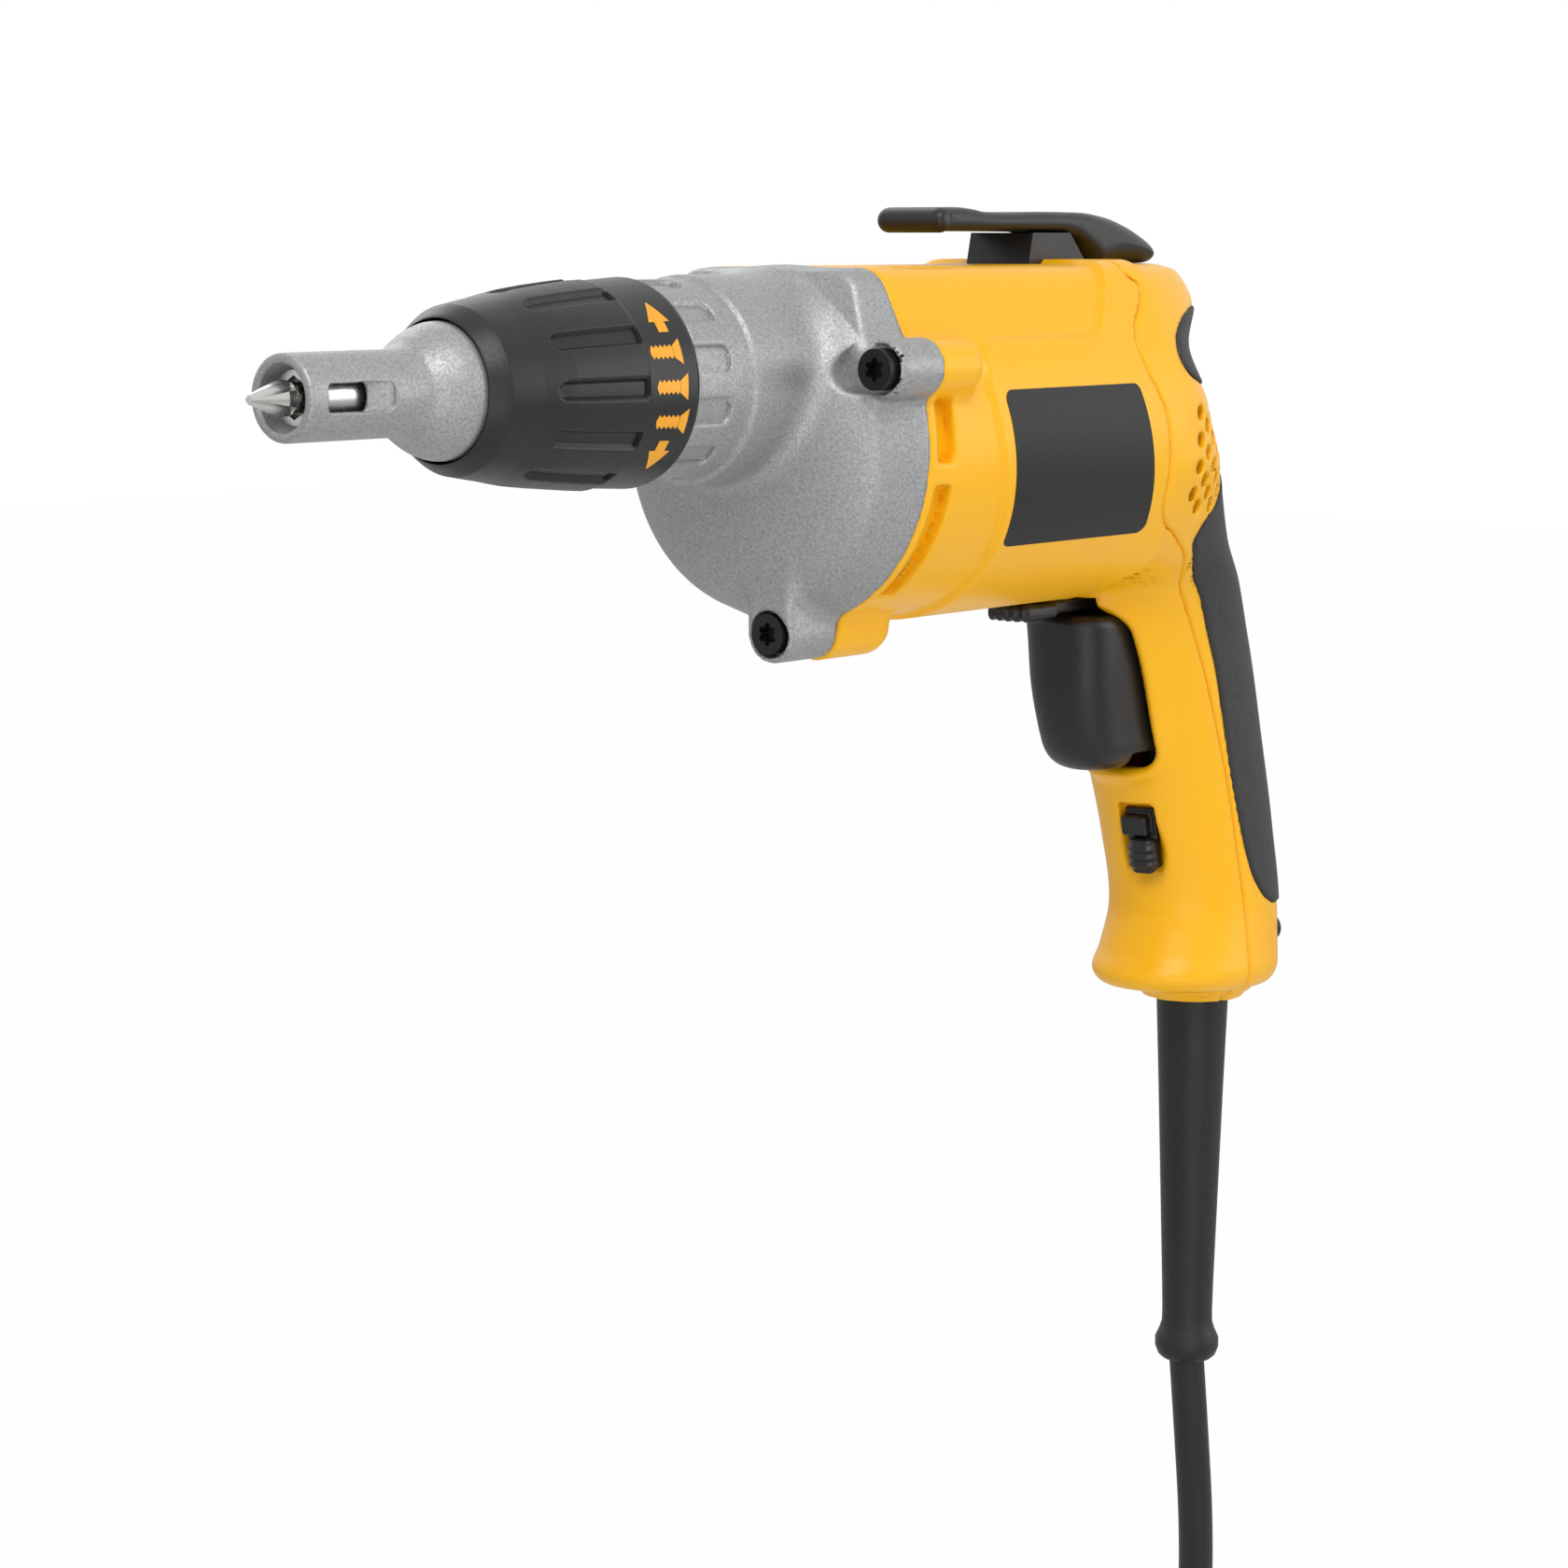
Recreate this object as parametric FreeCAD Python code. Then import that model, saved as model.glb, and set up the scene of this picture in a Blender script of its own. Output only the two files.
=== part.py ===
"""A corded drywall screwdriver, as the separate pieces that come apart on a bench.

Lengths are millimetres. While the pieces are made, x runs backwards from the nose face,
y to the tool's right and z up from the spindle axis. On export the origin moves to the
middle of the hand grip.
"""
import FreeCAD, Part
import math
import os
from functools import lru_cache
from FreeCAD import Vector

os.makedirs("parts", exist_ok=True)

# Middle of the hand grip, which becomes the origin
GRIP_X = 268.0
GRIP_Z = -95.0

# Fits and walls
RUNNING_FIT = 0.05
SEAT_GAP = 0.02
CLEARANCE = 0.3
CASE_WALL = 3.0
HOUSING_WALL = 2.8
SEAM_GAP = 0.12

# Nosepiece and screwdriver bit
NOSE_R = 7.3
NOSE_BORE_R = 5.1
NOSE_TUBE_LENGTH = 23.5
BELL_R = 12.3
BELL_END = 37.7
NOSE_TRAVEL = 3.0
WINDOW_START = 4.2
WINDOW_LENGTH = 10.1
WINDOW_HEIGHT = 4.9
WINDOW_RUNOUT = 4.8
WINDOW_RUNOUT_DEPTH = 1.0
SKIRT_R = 14.5
SKIRT_START = 44.0
SKIRT_END = 64.0
SKIRT_BORE_R = 11.75
HEX_ACROSS_FLATS = 6.35
HEX_FIT = 0.1
BIT_REACH = 7.1
BIT_LENGTH = 25.0
BIT_TIP_LENGTH = 6.5
BIT_NECK_R = 2.6
BIT_HEX_LENGTH = 11.5
BIT_FLUTES = 4

# Bit holder and output spindle
HOLDER_R = 4.7
HOLDER_START = 3.0
HOLDER_SLEEVE_LENGTH = 31.0
HOLDER_SHANK_LENGTH = 24.0
HOLDER_GROOVE_R = 2.6
MAGNET_R = 2.5
MAGNET_LENGTH = 3.0
BALL_R = 1.6
BALL_CLIP_THICKNESS = 0.8
BALL_CLIP_WIDTH = 2.4
SPINDLE_R = 6.0
SPINDLE_START = 42.0
SPINDLE_FLANGE_R = 11.0
SPINDLE_FLANGE_START = 90.0
SPINDLE_FLANGE_LENGTH = 7.0
PILOT_R = 2.5
PILOT_LENGTH = 18.0
DOG_COUNT = 3
DOG_ANGLE = 40.0
DOG_HEIGHT = 2.5
DOG_INNER_R = 6.5
DOG_OUTER_R = 9.7
DOG_GAP = 3.0
WASHER_THICKNESS = 1.4
SPRING_WIRE_R = 0.45
CLUTCH_SPRING_R = 4.4
CLUTCH_SPRING_TURNS = 3.5

# Depth collar
COLLAR_START = 36.6
COLLAR_SHOULDER = 47.5
COLLAR_BAND_START = 71.0
COLLAR_END = 84.1
BARREL_SEAT_R = 16.1
COLLAR_FRONT_R = BARREL_SEAT_R - 2.7
COLLAR_SHOULDER_R = BARREL_SEAT_R + 0.7
COLLAR_LAND_END_R = BARREL_SEAT_R + 3.1
COLLAR_BAND_R = BARREL_SEAT_R + 2.6
COLLAR_REAR_R = BARREL_SEAT_R + 3.3
GROOVE_COUNT = 12
GROOVE_START = 48.5
GROOVE_WIDTH = 4.0
GROOVE_DEPTH = 1.0
RETAINING_RING_X = 76.0
RETAINING_RING_WIDTH = 2.0
O_RING_X = 60.5
O_RING_WIRE_R = 0.9

# Gear case
BARREL_TUBE_R = 11.4
BARREL_TUBE_START = 58.0
BARREL_SEAT_START = 68.5
KEY_WIDTH = 4.0
KEY_R = 13.2
BAND_R = BARREL_SEAT_R + 2.8
BAND_END = 99.5
NECK_R = BARREL_SEAT_R + 3.6
NOTCH_WIDTH = 4.6
NOTCH_LENGTH = 9.5
NOTCH_DEPTH = 0.8
FLANGE_X = 131.5
DOME_R = 34.5
DOME_DEPTH = 25.0
DOME_BACKSET = 3.9
RIM_LENGTH = 5.5
RIM_TAPER = 4.0
SPINDLE_BUSH_R = 9.0
SPINDLE_BUSH_START = 60.0
SPINDLE_BUSH_LENGTH = 22.0
CASE_SCREW_HEAD_R = 3.9
CASE_SCREW_HEAD_HEIGHT = 4.0
CASE_SCREW_SHANK_R = 2.3
CASE_SCREW_LENGTH = 24.0
CASE_SCREW_SEAT = 121.3
CASE_BOSS_R = 5.2
CASE_BOSS_FRONT = 118.5
SIDE_SCREW_INSET = 2.3
SIDE_SCREW_Z = 2.3
LOWER_SCREW_Y = -7.0
LOWER_SCREW_DROP = 0.1

# Gear train and motor, on an axis below the spindle
MOTOR_DROP = 13.3
PINION_TEETH = 7
GEAR_TEETH = 33
PRESSURE_ANGLE = 25.0
TOOTH_ADDENDUM = 0.8
TOOTH_DEDENDUM = 1.1
PINION_SHIFT = 0.3
BACKLASH = 0.2
GEAR_WIDTH = 8.0
GEAR_JOURNAL_R = 4.0
GEAR_JOURNAL_LENGTH = 8.0
GEAR_BUSH_R = 6.0
GEAR_PLATE_R = 27.0
GEAR_PLATE_THICKNESS = 4.5
GEAR_PLATE_BOSS_R = 8.6
SHAFT_R = 4.0
FRONT_BEARING_BORE_R = 3.5
FRONT_BEARING_R = 9.5
FRONT_BEARING_WIDTH = 6.0
REAR_BEARING_BORE_R = 3.0
REAR_BEARING_R = 9.5
REAR_BEARING_WIDTH = 6.0
REAR_BEARING_X = 204.0
FAN_X = 133.5
FAN_TIP_SPACE = 5.8
FAN_WIDTH = 8.5
FAN_DISC = 1.6
FAN_HUB_R = 9.0
FAN_BLADES = 12
FAN_BLADE_THICKNESS = 1.6
BAFFLE_X = 143.4
BAFFLE_THICKNESS = 2.0
BAFFLE_BORE_R = 20.0
FIELD_X = 151.0
FIELD_LENGTH = 34.0
FIELD_SPACE = 6.0
FIELD_YOKE = 5.0
FIELD_POLE_ANGLE = 110.0
AIR_GAP = 0.6
ARMATURE_R = 17.5
ARMATURE_SLOTS = 12
ARMATURE_SLOT_WIDTH = 2.0
ARMATURE_SLOT_DEPTH = 6.0
WINDING_R = 15.5
WINDING_OVERHANG = 5.5
COMMUTATOR_X = 191.8
COMMUTATOR_R = 11.5
COMMUTATOR_LENGTH = 9.5
COMMUTATOR_BARS = 24
COMMUTATOR_SLIT = 0.5
BRUSH_WIDTH = 6.0
BRUSH_HEIGHT = 8.0
BRUSH_LENGTH = 10.0
BRUSH_HOLDER_WALL = 1.2
BRUSH_SPRING_TURNS = 4.5
BRUSH_SPRING_WIRE_R = 0.4

# Motor housing: a round barrel under a flat deck, then the handle
BARREL_R = 35.3
SLEEVE_STEP = 1.1
SLEEVE_X = 151.0
DECK_DROP = 1.1
DECK_HALF_SHARE = 0.64
DECK_EDGE_RADIUS = 4.0
BARREL_END = 216.0
BARREL_LAP = 0.25
VENT_START = 134.0
VENT_LENGTH = 5.3
UPPER_VENT_ANGLES = (-4.0, 16.0)
LOWER_VENT_ANGLES = (-55.0, -11.0)
DECK_SLOT_LENGTH = 17.0
DECK_SLOT_WIDTH = 1.6
DECK_SLOT_X = 141.0
DECK_SLOT_SPACING = 9.0
SIDE_BOSS_LENGTH = 15.2
FOOT_LENGTH = 18.2
FOOT_RADIUS = 6.2
FIELD_RIB_ANGLES = (0.0, 180.0, 235.0, 305.0)
AIR_HOLES = 6
AIR_HOLE_R = 6.0
AIR_HOLE_CIRCLE_R = 21.0
REAR_VENT_X = 225.0
REAR_VENT_R = 1.25
REAR_VENT_ANGLES = (40.0, 47.0, 54.0)
REAR_VENT_ROWS = 5
REAR_VENT_TOP = -8.0
REAR_VENT_PITCH = 5.6
SECTION_POWER = 2.15
SECTION_POINTS = 16

# Handle: heights, front and back edges and half widths of the sections that shape it
HEEL_Z = -140.2
HEEL_DROP = 2.8
HEEL_LENGTH = 48.0
HEEL_MIDDLE_X = 273.0
HEEL_EDGE_RADIUS = 3.5
GRIP_HALF_WIDTH = 16.9
GRIP_INLAY = 1.6
GRIP_PROUD = 0.5
COVER_SCREW_Y = 10.8
COVER_SCREW_Z = -129.8
COVER_SCREW_SEAT = 288.0
COVER_SCREW_LENGTH = 20.0
COVER_HEAD_R = 3.2
COVER_HEAD_HEIGHT = 2.4
COVER_SHANK_R = 1.7
COVER_POST_R = 3.4
COVER_POST_START = 240.0
COVER_POST_END = 280.0
COVER_POST_REACH = 28.0

# Trigger, reversing lever and lock slide
TRIGGER_TOP = -54.4
TRIGGER_BOTTOM = -88.0
TRIGGER_HALF_WIDTH = 10.2
TRIGGER_FRONT_TOP = 218.8
TRIGGER_FRONT_MID = 220.3
TRIGGER_FRONT_LOW = 225.8
TRIGGER_STEM_Z = -71.0
TRIGGER_POCKET = 6.0
TRIGGER_SPRING_R = 5.2
TRIGGER_SPRING_TURNS = 5.0
TRIGGER_BACK = 238.0
TRIGGER_TRAVEL = 7.0
TRIGGER_EDGE = 3.0
TRIGGER_NOSE_DEPTH = 9.0
TRIGGER_STEM = 6.0
TRIGGER_STEM_LENGTH = 8.0
SWITCH_LENGTH = 22.0
SWITCH_HALF_WIDTH = 8.0
SWITCH_TOP = -56.0
SWITCH_HEIGHT = 25.0
LEVER_PIVOT_X = 250.0
LEVER_DROP = 0.3
LEVER_THICKNESS = 2.7
LEVER_REACH = 49.0
LEVER_HALF_WIDTH = 8.0
LEVER_PIN_R = 2.0
LEVER_PIN_LENGTH = 5.5
LEVER_RIBS = 7
LEVER_ARM_HALF = 3.5
LEVER_SLOT_HALF = 7.6
LEVER_HEAD_LENGTH = 22.0
LOCK_X = 248.3
LOCK_Y = -6.0
LOCK_Z = -103.0
LOCK_LEAN = 16.5
LOCK_TURN = 25.0
LOCK_FLOOR = 3.2
LOCK_PAD = 7.0
LOCK_STEM = 6.0
LOCK_STEM_WIDTH = 3.0
LOCK_RIBS = 4
LOCK_SCOOP_DEPTH = 2.0
LOCK_LENGTH = 13.0
LOCK_WIDTH = 6.5
LOCK_HEIGHT = 4.5
LOCK_TRAVEL = 3.0
LOCK_SCOOP_R = 16.0

# Belt clip
CLIP_TIP_X = 167.5
CLIP_REAR_X = 248.0
CLIP_HALF_WIDTH = 8.5
CLIP_THICKNESS = 4.0
CLIP_RISE = 6.8
CLIP_BASE_X = 199.0
CLIP_BASE_LENGTH = 20.5
CLIP_SCREW_HEAD_R = 3.4
CLIP_SCREW_SHANK_R = 1.9
CLIP_SCREW_LENGTH = 10.0
CLIP_SCREW_HEAD_HEIGHT = 2.6
CLIP_TIP_R = 2.6
CLIP_LIP = 1.4
CLIP_RISER = 12.0
CLIP_EDGE = 1.2
CLIP_FOOT_X = 227.0
CLIP_SCREW_X = 236.0
CLIP_SEAT_RISE = 2.9
BASE_SCREW_X = 208.0
BASE_SEAT_RISE = 2.5

# Cord, its protector and plug
CORD_R = 4.05
CORD_X = 275.5
PROTECTOR_TOP = -146.0
PROTECTOR_END = -230.0
PROTECTOR_R = 8.1
PROTECTOR_WAIST_R = 5.1
PROTECTOR_BULGE_R = 7.6
PROTECTOR_BULGE_LENGTH = 9.0
PROTECTOR_COLLAR_R = 10.5
PROTECTOR_COLLAR_LENGTH = 2.5
PROTECTOR_COLLAR_Z = -137.2
CORD_BOSS_R = 11.0
CLAMP_X = 277.0
CLAMP_THICKNESS = 6.0
CLAMP_Z = -114.0
CLAMP_SCREW_Y = 7.6
CLAMP_POST_R = 3.0
CLAMP_SHANK_R = 1.5
CLAMP_HEAD_R = 2.8
CLAMP_HEAD_HEIGHT = 2.2
LEAD_SWITCH_X = 262.0
LEAD_BEND_Z = -98.0
CORD_ROUTE = (
    (CORD_X, 0.0, PROTECTOR_END),
    (CORD_X, 0.0, -243.0),
    (281.0, 0.0, -276.0),
    (286.0, 6.0, -303.0),
    (288.0, 23.0, -335.0),
    (288.0, 30.0, -360.0),
    (288.0, 30.0, -385.0),
)
HANK_LAYERS = 5
HANK_PITCH = 9.2
HANK_RUN = 140.0
HANK_RADIUS = 30.0
TIE_WIDTH = 8.0
TIE_THICKNESS = 1.2
PLUG_STEP = 17.0
PLUG_Z = -400.0
PLUG_LENGTH = 38.0
PLUG_HALF_WIDTH = 13.0
PLUG_HALF_HEIGHT = 9.0
BLADE_LENGTH = 17.5
BLADE_WIDTH = 6.35
BLADE_THICKNESS = 1.5
BLADE_SPACING = 12.7

# Values that follow from the driving dimensions
MOTOR_Z = -MOTOR_DROP
SLEEVE_R = BARREL_R + SLEEVE_STEP
DECK_Z = MOTOR_Z + BARREL_R - DECK_DROP
DECK_HALF_WIDTH = DECK_HALF_SHARE * BARREL_R
FAN_R = BARREL_R - FAN_TIP_SPACE
FIELD_R = BARREL_R - FIELD_SPACE
SIDE_SCREW_Y = BARREL_R - SIDE_SCREW_INSET
LOWER_SCREW_Z = MOTOR_Z - BARREL_R - LOWER_SCREW_DROP
LEVER_TOP = MOTOR_Z - SLEEVE_R - LEVER_DROP
CLIP_HEIGHT = DECK_Z + CLIP_RISE
CLIP_SCREW_SEAT = DECK_Z + CLIP_SEAT_RISE
BASE_SCREW_SEAT = DECK_Z + BASE_SEAT_RISE
MODULE = 2.0 * MOTOR_DROP / (PINION_TEETH + GEAR_TEETH)
BIT_END = BIT_LENGTH - BIT_REACH
SHANK_START = HOLDER_START + HOLDER_SLEEVE_LENGTH
SHANK_END = SHANK_START + HOLDER_SHANK_LENGTH
BALL_X = SHANK_START + 0.65 * HOLDER_SHANK_LENGTH
BALL_CENTRE_R = HOLDER_GROOVE_R + BALL_R + SEAT_GAP
BALL_CLIP_R = BALL_CENTRE_R + BALL_R + SEAT_GAP
SPINDLE_FLANGE_END = SPINDLE_FLANGE_START + SPINDLE_FLANGE_LENGTH
SPINDLE_DOG_END = SPINDLE_FLANGE_END + DOG_HEIGHT
GEAR_DOG_START = SPINDLE_DOG_END + DOG_GAP
GEAR_START = GEAR_DOG_START + DOG_HEIGHT
GEAR_END = GEAR_START + GEAR_WIDTH
GEAR_BUSH_START = GEAR_END + 1.0
GEAR_BUSH_END = GEAR_END + GEAR_JOURNAL_LENGTH
WASHER_END = SPINDLE_FLANGE_START - RUNNING_FIT
WASHER_START = WASHER_END - WASHER_THICKNESS
CHAMBER_START = WASHER_START - RUNNING_FIT
CHAMBER_R = GEAR_TEETH * MODULE / 2.0 + MODULE + CLEARANCE
FRONT_BEARING_X = FLANGE_X - CLEARANCE - FRONT_BEARING_WIDTH
PLATE_START = FLANGE_X - CLEARANCE - GEAR_PLATE_THICKNESS
DOME_CENTRE = FLANGE_X + DOME_BACKSET
CASE_SCREWS = (
    (-SIDE_SCREW_Y, SIDE_SCREW_Z),
    (SIDE_SCREW_Y, SIDE_SCREW_Z),
    (LOWER_SCREW_Y, LOWER_SCREW_Z),
)
FIELD_END = FIELD_X + FIELD_LENGTH
TRIGGER_FRONTS = (
    (TRIGGER_TOP, TRIGGER_FRONT_TOP),
    (0.5 * (TRIGGER_TOP + TRIGGER_BOTTOM), TRIGGER_FRONT_MID),
    (TRIGGER_BOTTOM, TRIGGER_FRONT_LOW),
)
SWITCH_X = TRIGGER_BACK + TRIGGER_TRAVEL + 1.5
BEARING_WALL_START = REAR_BEARING_X - 1.0
BEARING_WALL_END = REAR_BEARING_X + REAR_BEARING_WIDTH + 2.0


def cylinder(radius, start, end, y=0.0, z=0.0):
    """A round bar along x."""
    return Part.makeCylinder(radius, end - start, Vector(start, y, z), Vector(1, 0, 0))


def ring(outer, inner, start, end, y=0.0, z=0.0):
    """A round tube along x."""
    return cylinder(outer, start, end, y, z).cut(cylinder(inner, start - 1, end + 1, y, z))


def block(x0, x1, y0, y1, z0, z1):
    """A box between two corners."""
    return Part.makeBox(x1 - x0, y1 - y0, z1 - z0, Vector(x0, y0, z0))


def outline(start, *steps, lift=0.0):
    """A closed face in the x-z plane. A step is a corner, or an arc as (middle, end)."""
    def point(pair):
        return Vector(pair[0], 0, pair[1] + lift)

    edges = []
    here = start
    for step in steps:
        if isinstance(step[0], tuple):
            edges.append(Part.Arc(point(here), point(step[0]), point(step[1])).toShape())
            here = step[1]
        else:
            edges.append(Part.LineSegment(point(here), point(step)).toShape())
            here = step
    edges.append(Part.LineSegment(point(here), point(start)).toShape())
    return Part.Face(Part.Wire(edges))


def turned(face, axis_z=0.0):
    """A face revolved about an axis along x."""
    return face.revolve(Vector(0, 0, axis_z), Vector(1, 0, 0), 360)


def slab(face, half_width, y=0.0):
    """A face in the x-z plane, extruded both ways along y."""
    moved = face.translated(Vector(0, y - half_width, 0))
    return moved.extrude(Vector(0, 2 * half_width, 0))


def hexagon(across_flats, start, end):
    """A hexagonal bar along x, with flats at the left and right."""
    corner = across_flats / math.sqrt(3.0)
    angles = [math.radians(30 + 60 * i) for i in range(7)]
    points = [Vector(start, corner * math.cos(a), corner * math.sin(a)) for a in angles]
    return Part.Face(Part.makePolygon(points)).extrude(Vector(end - start, 0, 0))


def around(shape, count, axis_z=0.0, first=0.0):
    """Copies of a shape, evenly spaced about an axis along x."""
    copies = []
    for i in range(count):
        copy = shape.copy()
        copy.rotate(Vector(0, 0, axis_z), Vector(1, 0, 0), first + 360.0 * i / count)
        copies.append(copy)
    return copies


def sector(inner, outer, angle0, angle1, start, end, axis_z=0.0):
    """Part of a round tube along x, between two angles counted from +y towards +z."""
    def point(radius, angle):
        a = math.radians(angle)
        return Vector(start, radius * math.cos(a), axis_z + radius * math.sin(a))

    middle = (angle0 + angle1) / 2.0
    edges = [
        Part.Arc(point(outer, angle0), point(outer, middle), point(outer, angle1)).toShape(),
        Part.LineSegment(point(outer, angle1), point(inner, angle1)).toShape(),
        Part.Arc(point(inner, angle1), point(inner, middle), point(inner, angle0)).toShape(),
        Part.LineSegment(point(inner, angle0), point(outer, angle0)).toShape(),
    ]
    return Part.Face(Part.Wire(edges)).extrude(Vector(end - start, 0, 0))


def arc_middle(start, tangent, end):
    """The middle of the arc that leaves start along tangent and reaches end."""
    chord = end - start
    along = Vector(chord).normalize()
    side = tangent - along * tangent.dot(along)
    half_turn = math.acos(max(-1.0, min(1.0, tangent.dot(along))))
    rise = chord.Length / 2.0 * math.tan(half_turn / 2.0)
    return start + chord * 0.5 + side.normalize() * rise


def biarc(start, tangent0, end, tangent1):
    """Two tangent arcs between two points with given directions."""
    chord = end - start
    both = tangent0 + tangent1
    turn = 2.0 * (1.0 - tangent0.dot(tangent1))
    reach = chord.dot(both)
    if turn < 1e-9:
        size = chord.dot(chord) / (4.0 * chord.dot(tangent1))
    else:
        size = (-reach + math.sqrt(reach * reach + turn * chord.dot(chord))) / turn
    joint = (start + end + (tangent0 - tangent1) * size) * 0.5
    first = Part.Arc(start, arc_middle(start, tangent0, joint), joint)
    second = Part.Arc(joint, arc_middle(end, tangent1 * -1.0, joint), end)
    return [first.toShape(), second.toShape()]


def tube(edges, radius):
    """A round tube swept along edges."""
    path = Part.Wire(Part.sortEdges(edges)[0])
    first = path.OrderedEdges[0]
    at = first.valueAt(first.FirstParameter)
    towards = first.tangentAt(first.FirstParameter)
    if first.Orientation == "Reversed":
        at = first.valueAt(first.LastParameter)
        towards = first.tangentAt(first.LastParameter) * -1.0
    profile = Part.Wire(Part.makeCircle(radius, at, towards))
    return path.makePipeShell([profile], True, False)


def coil(radius, wire_r, turns, base, direction, reach):
    """A helical spring from its base along a direction, as quarter turns of two arcs each."""
    side = Vector(0, 0, 1)
    other = direction.cross(side)
    length = reach - 2.0 * wire_r
    quarters = int(round(turns * 4))
    climb = length / quarters

    def place(i):
        a = math.pi / 2.0 * i
        offset = side * (radius * math.cos(a)) + other * (radius * math.sin(a))
        return base + direction * (wire_r + climb * i) + offset

    def heading(i):
        a = math.pi / 2.0 * i
        way = side * (-radius * math.sin(a)) + other * (radius * math.cos(a))
        return (way + direction * (climb / (math.pi / 2.0))).normalize()

    edges = []
    for i in range(quarters):
        edges += biarc(place(i), heading(i), place(i + 1), heading(i + 1))
    return tube(edges, wire_r)


def star_screw(head_r, head_height, shank_r, length, lobes=6):
    """A screw along +x from the top of its head, with a six-lobed driving recess."""
    screw = cylinder(head_r, 0, head_height).fuse(cylinder(shank_r, head_height, head_height + length))
    recess = cylinder(0.42 * head_r, -1, 0.55 * head_height)
    lobe = cylinder(0.16 * head_r, -1, 0.55 * head_height, 0, 0.42 * head_r)
    return screw.cut(recess.multiFuse(around(lobe, lobes))).removeSplitter()


def gear_blank(teeth, shift, start, width, axis_z, first_angle):
    """A spur gear along x with involute flanks; the first tooth points at first_angle."""
    pitch_r = MODULE * teeth / 2.0
    angle = math.radians(PRESSURE_ANGLE)
    base_r = pitch_r * math.cos(angle)
    tip_r = pitch_r + MODULE * (TOOTH_ADDENDUM + shift)
    root_r = pitch_r - MODULE * (TOOTH_DEDENDUM - shift)
    thickness = MODULE * (math.pi / 2.0 + 2.0 * shift * math.tan(angle)) - BACKLASH / 2.0

    def involute(a):
        return math.tan(a) - a

    def half_angle(radius):
        at = math.acos(min(1.0, base_r / max(radius, base_r)))
        return thickness / (2.0 * pitch_r) + involute(angle) - involute(at)

    steps = 4
    low = max(root_r, base_r)
    radii = [root_r] + [low + (tip_r - low) * i / steps for i in range(steps + 1)]
    if low - root_r < 1e-6:
        radii = radii[1:]
    points = []
    for tooth in range(teeth):
        centre = math.radians(first_angle + 360.0 * tooth / teeth)
        flank = [(r, centre - half_angle(r)) for r in radii]
        flank += [(r, centre + half_angle(r)) for r in reversed(radii)]
        for radius, a in flank:
            points.append(Vector(start, radius * math.cos(a), axis_z + radius * math.sin(a)))
    face = Part.Face(Part.makePolygon(points + points[:1]))
    return face.extrude(Vector(width, 0, 0))


# Nose, bit and spindle

def nosepiece():
    """The cast locator: a nose tube, a bell and a keyed skirt inside the collar."""
    chamfer = 0.4
    neck_x = BELL_END - 7.4
    neck_r = 0.68 * NOSE_R + 0.48 * BELL_R - 0.15
    land = 1.5
    skirt_wall = SKIRT_START + land
    inner_r = SPINDLE_R + BALL_CLIP_THICKNESS + 2.0
    body = turned(outline(
        (0.0, NOSE_BORE_R),
        (0.0, NOSE_R - chamfer),
        (chamfer, NOSE_R),
        (NOSE_TUBE_LENGTH, NOSE_R),
        ((0.42 * NOSE_TUBE_LENGTH + 0.58 * neck_x, 0.74 * NOSE_R + 0.26 * neck_r), (neck_x, neck_r)),
        ((0.55 * neck_x + 0.45 * BELL_END, 0.28 * neck_r + 0.72 * BELL_R), (BELL_END - land, BELL_R)),
        (BELL_END, BELL_R),
        (BELL_END, BELL_R - CLEARANCE),
        (SKIRT_START, BELL_R - CLEARANCE),
        (SKIRT_START, SKIRT_R),
        (SKIRT_END, SKIRT_R),
        (SKIRT_END, SKIRT_BORE_R),
        (skirt_wall, SKIRT_BORE_R),
        (skirt_wall, inner_r),
        (BELL_END - 3.0, inner_r - 0.4),
        (NOSE_TUBE_LENGTH + 0.5, NOSE_BORE_R),
    ))
    half = WINDOW_HEIGHT / 2.0
    window_end = WINDOW_START + WINDOW_LENGTH
    reach = NOSE_R + 1.0
    cuts = [block(WINDOW_START, window_end, -reach, reach, -half, half)]
    floor = NOSE_R - WINDOW_RUNOUT_DEPTH
    runout_end = window_end + WINDOW_RUNOUT
    for low, high in ((-reach, -floor), (floor, reach)):
        cuts.append(block(window_end - 0.5, runout_end, low, high, -half, half))
    key_half = KEY_WIDTH / 2.0 + CLEARANCE
    key_top = KEY_R + CLEARANCE
    cuts.append(block(skirt_wall, SKIRT_END + 1, -key_half, key_half, -key_top, key_top))
    return body.cut(cuts)


def screwdriver_bit():
    """A cross-point insert bit with a hexagonal shank."""
    tip_r = HEX_ACROSS_FLATS / 2.0 - 0.1
    hex_start = BIT_END - BIT_HEX_LENGTH
    shoulder = BIT_TIP_LENGTH - BIT_REACH
    body = turned(outline(
        (-BIT_REACH, 0.0),
        (-BIT_REACH, 0.8),
        (shoulder, tip_r),
        (shoulder + 1.6, tip_r),
        (shoulder + 2.6, BIT_NECK_R),
        (hex_start + 0.5, BIT_NECK_R),
        (hex_start + 0.5, 0.0),
    ))
    body = body.fuse(hexagon(HEX_ACROSS_FLATS, hex_start, BIT_END))
    flute_r = 1.25
    start = Vector(-BIT_REACH - 1.0, 0, 1.65)
    run = Vector(BIT_TIP_LENGTH + 2.5, 0, 2.1)
    flute = Part.makeCylinder(flute_r, run.Length, start, run)
    flutes = around(flute, BIT_FLUTES, first=45.0)
    return body.cut(flutes)


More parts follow.
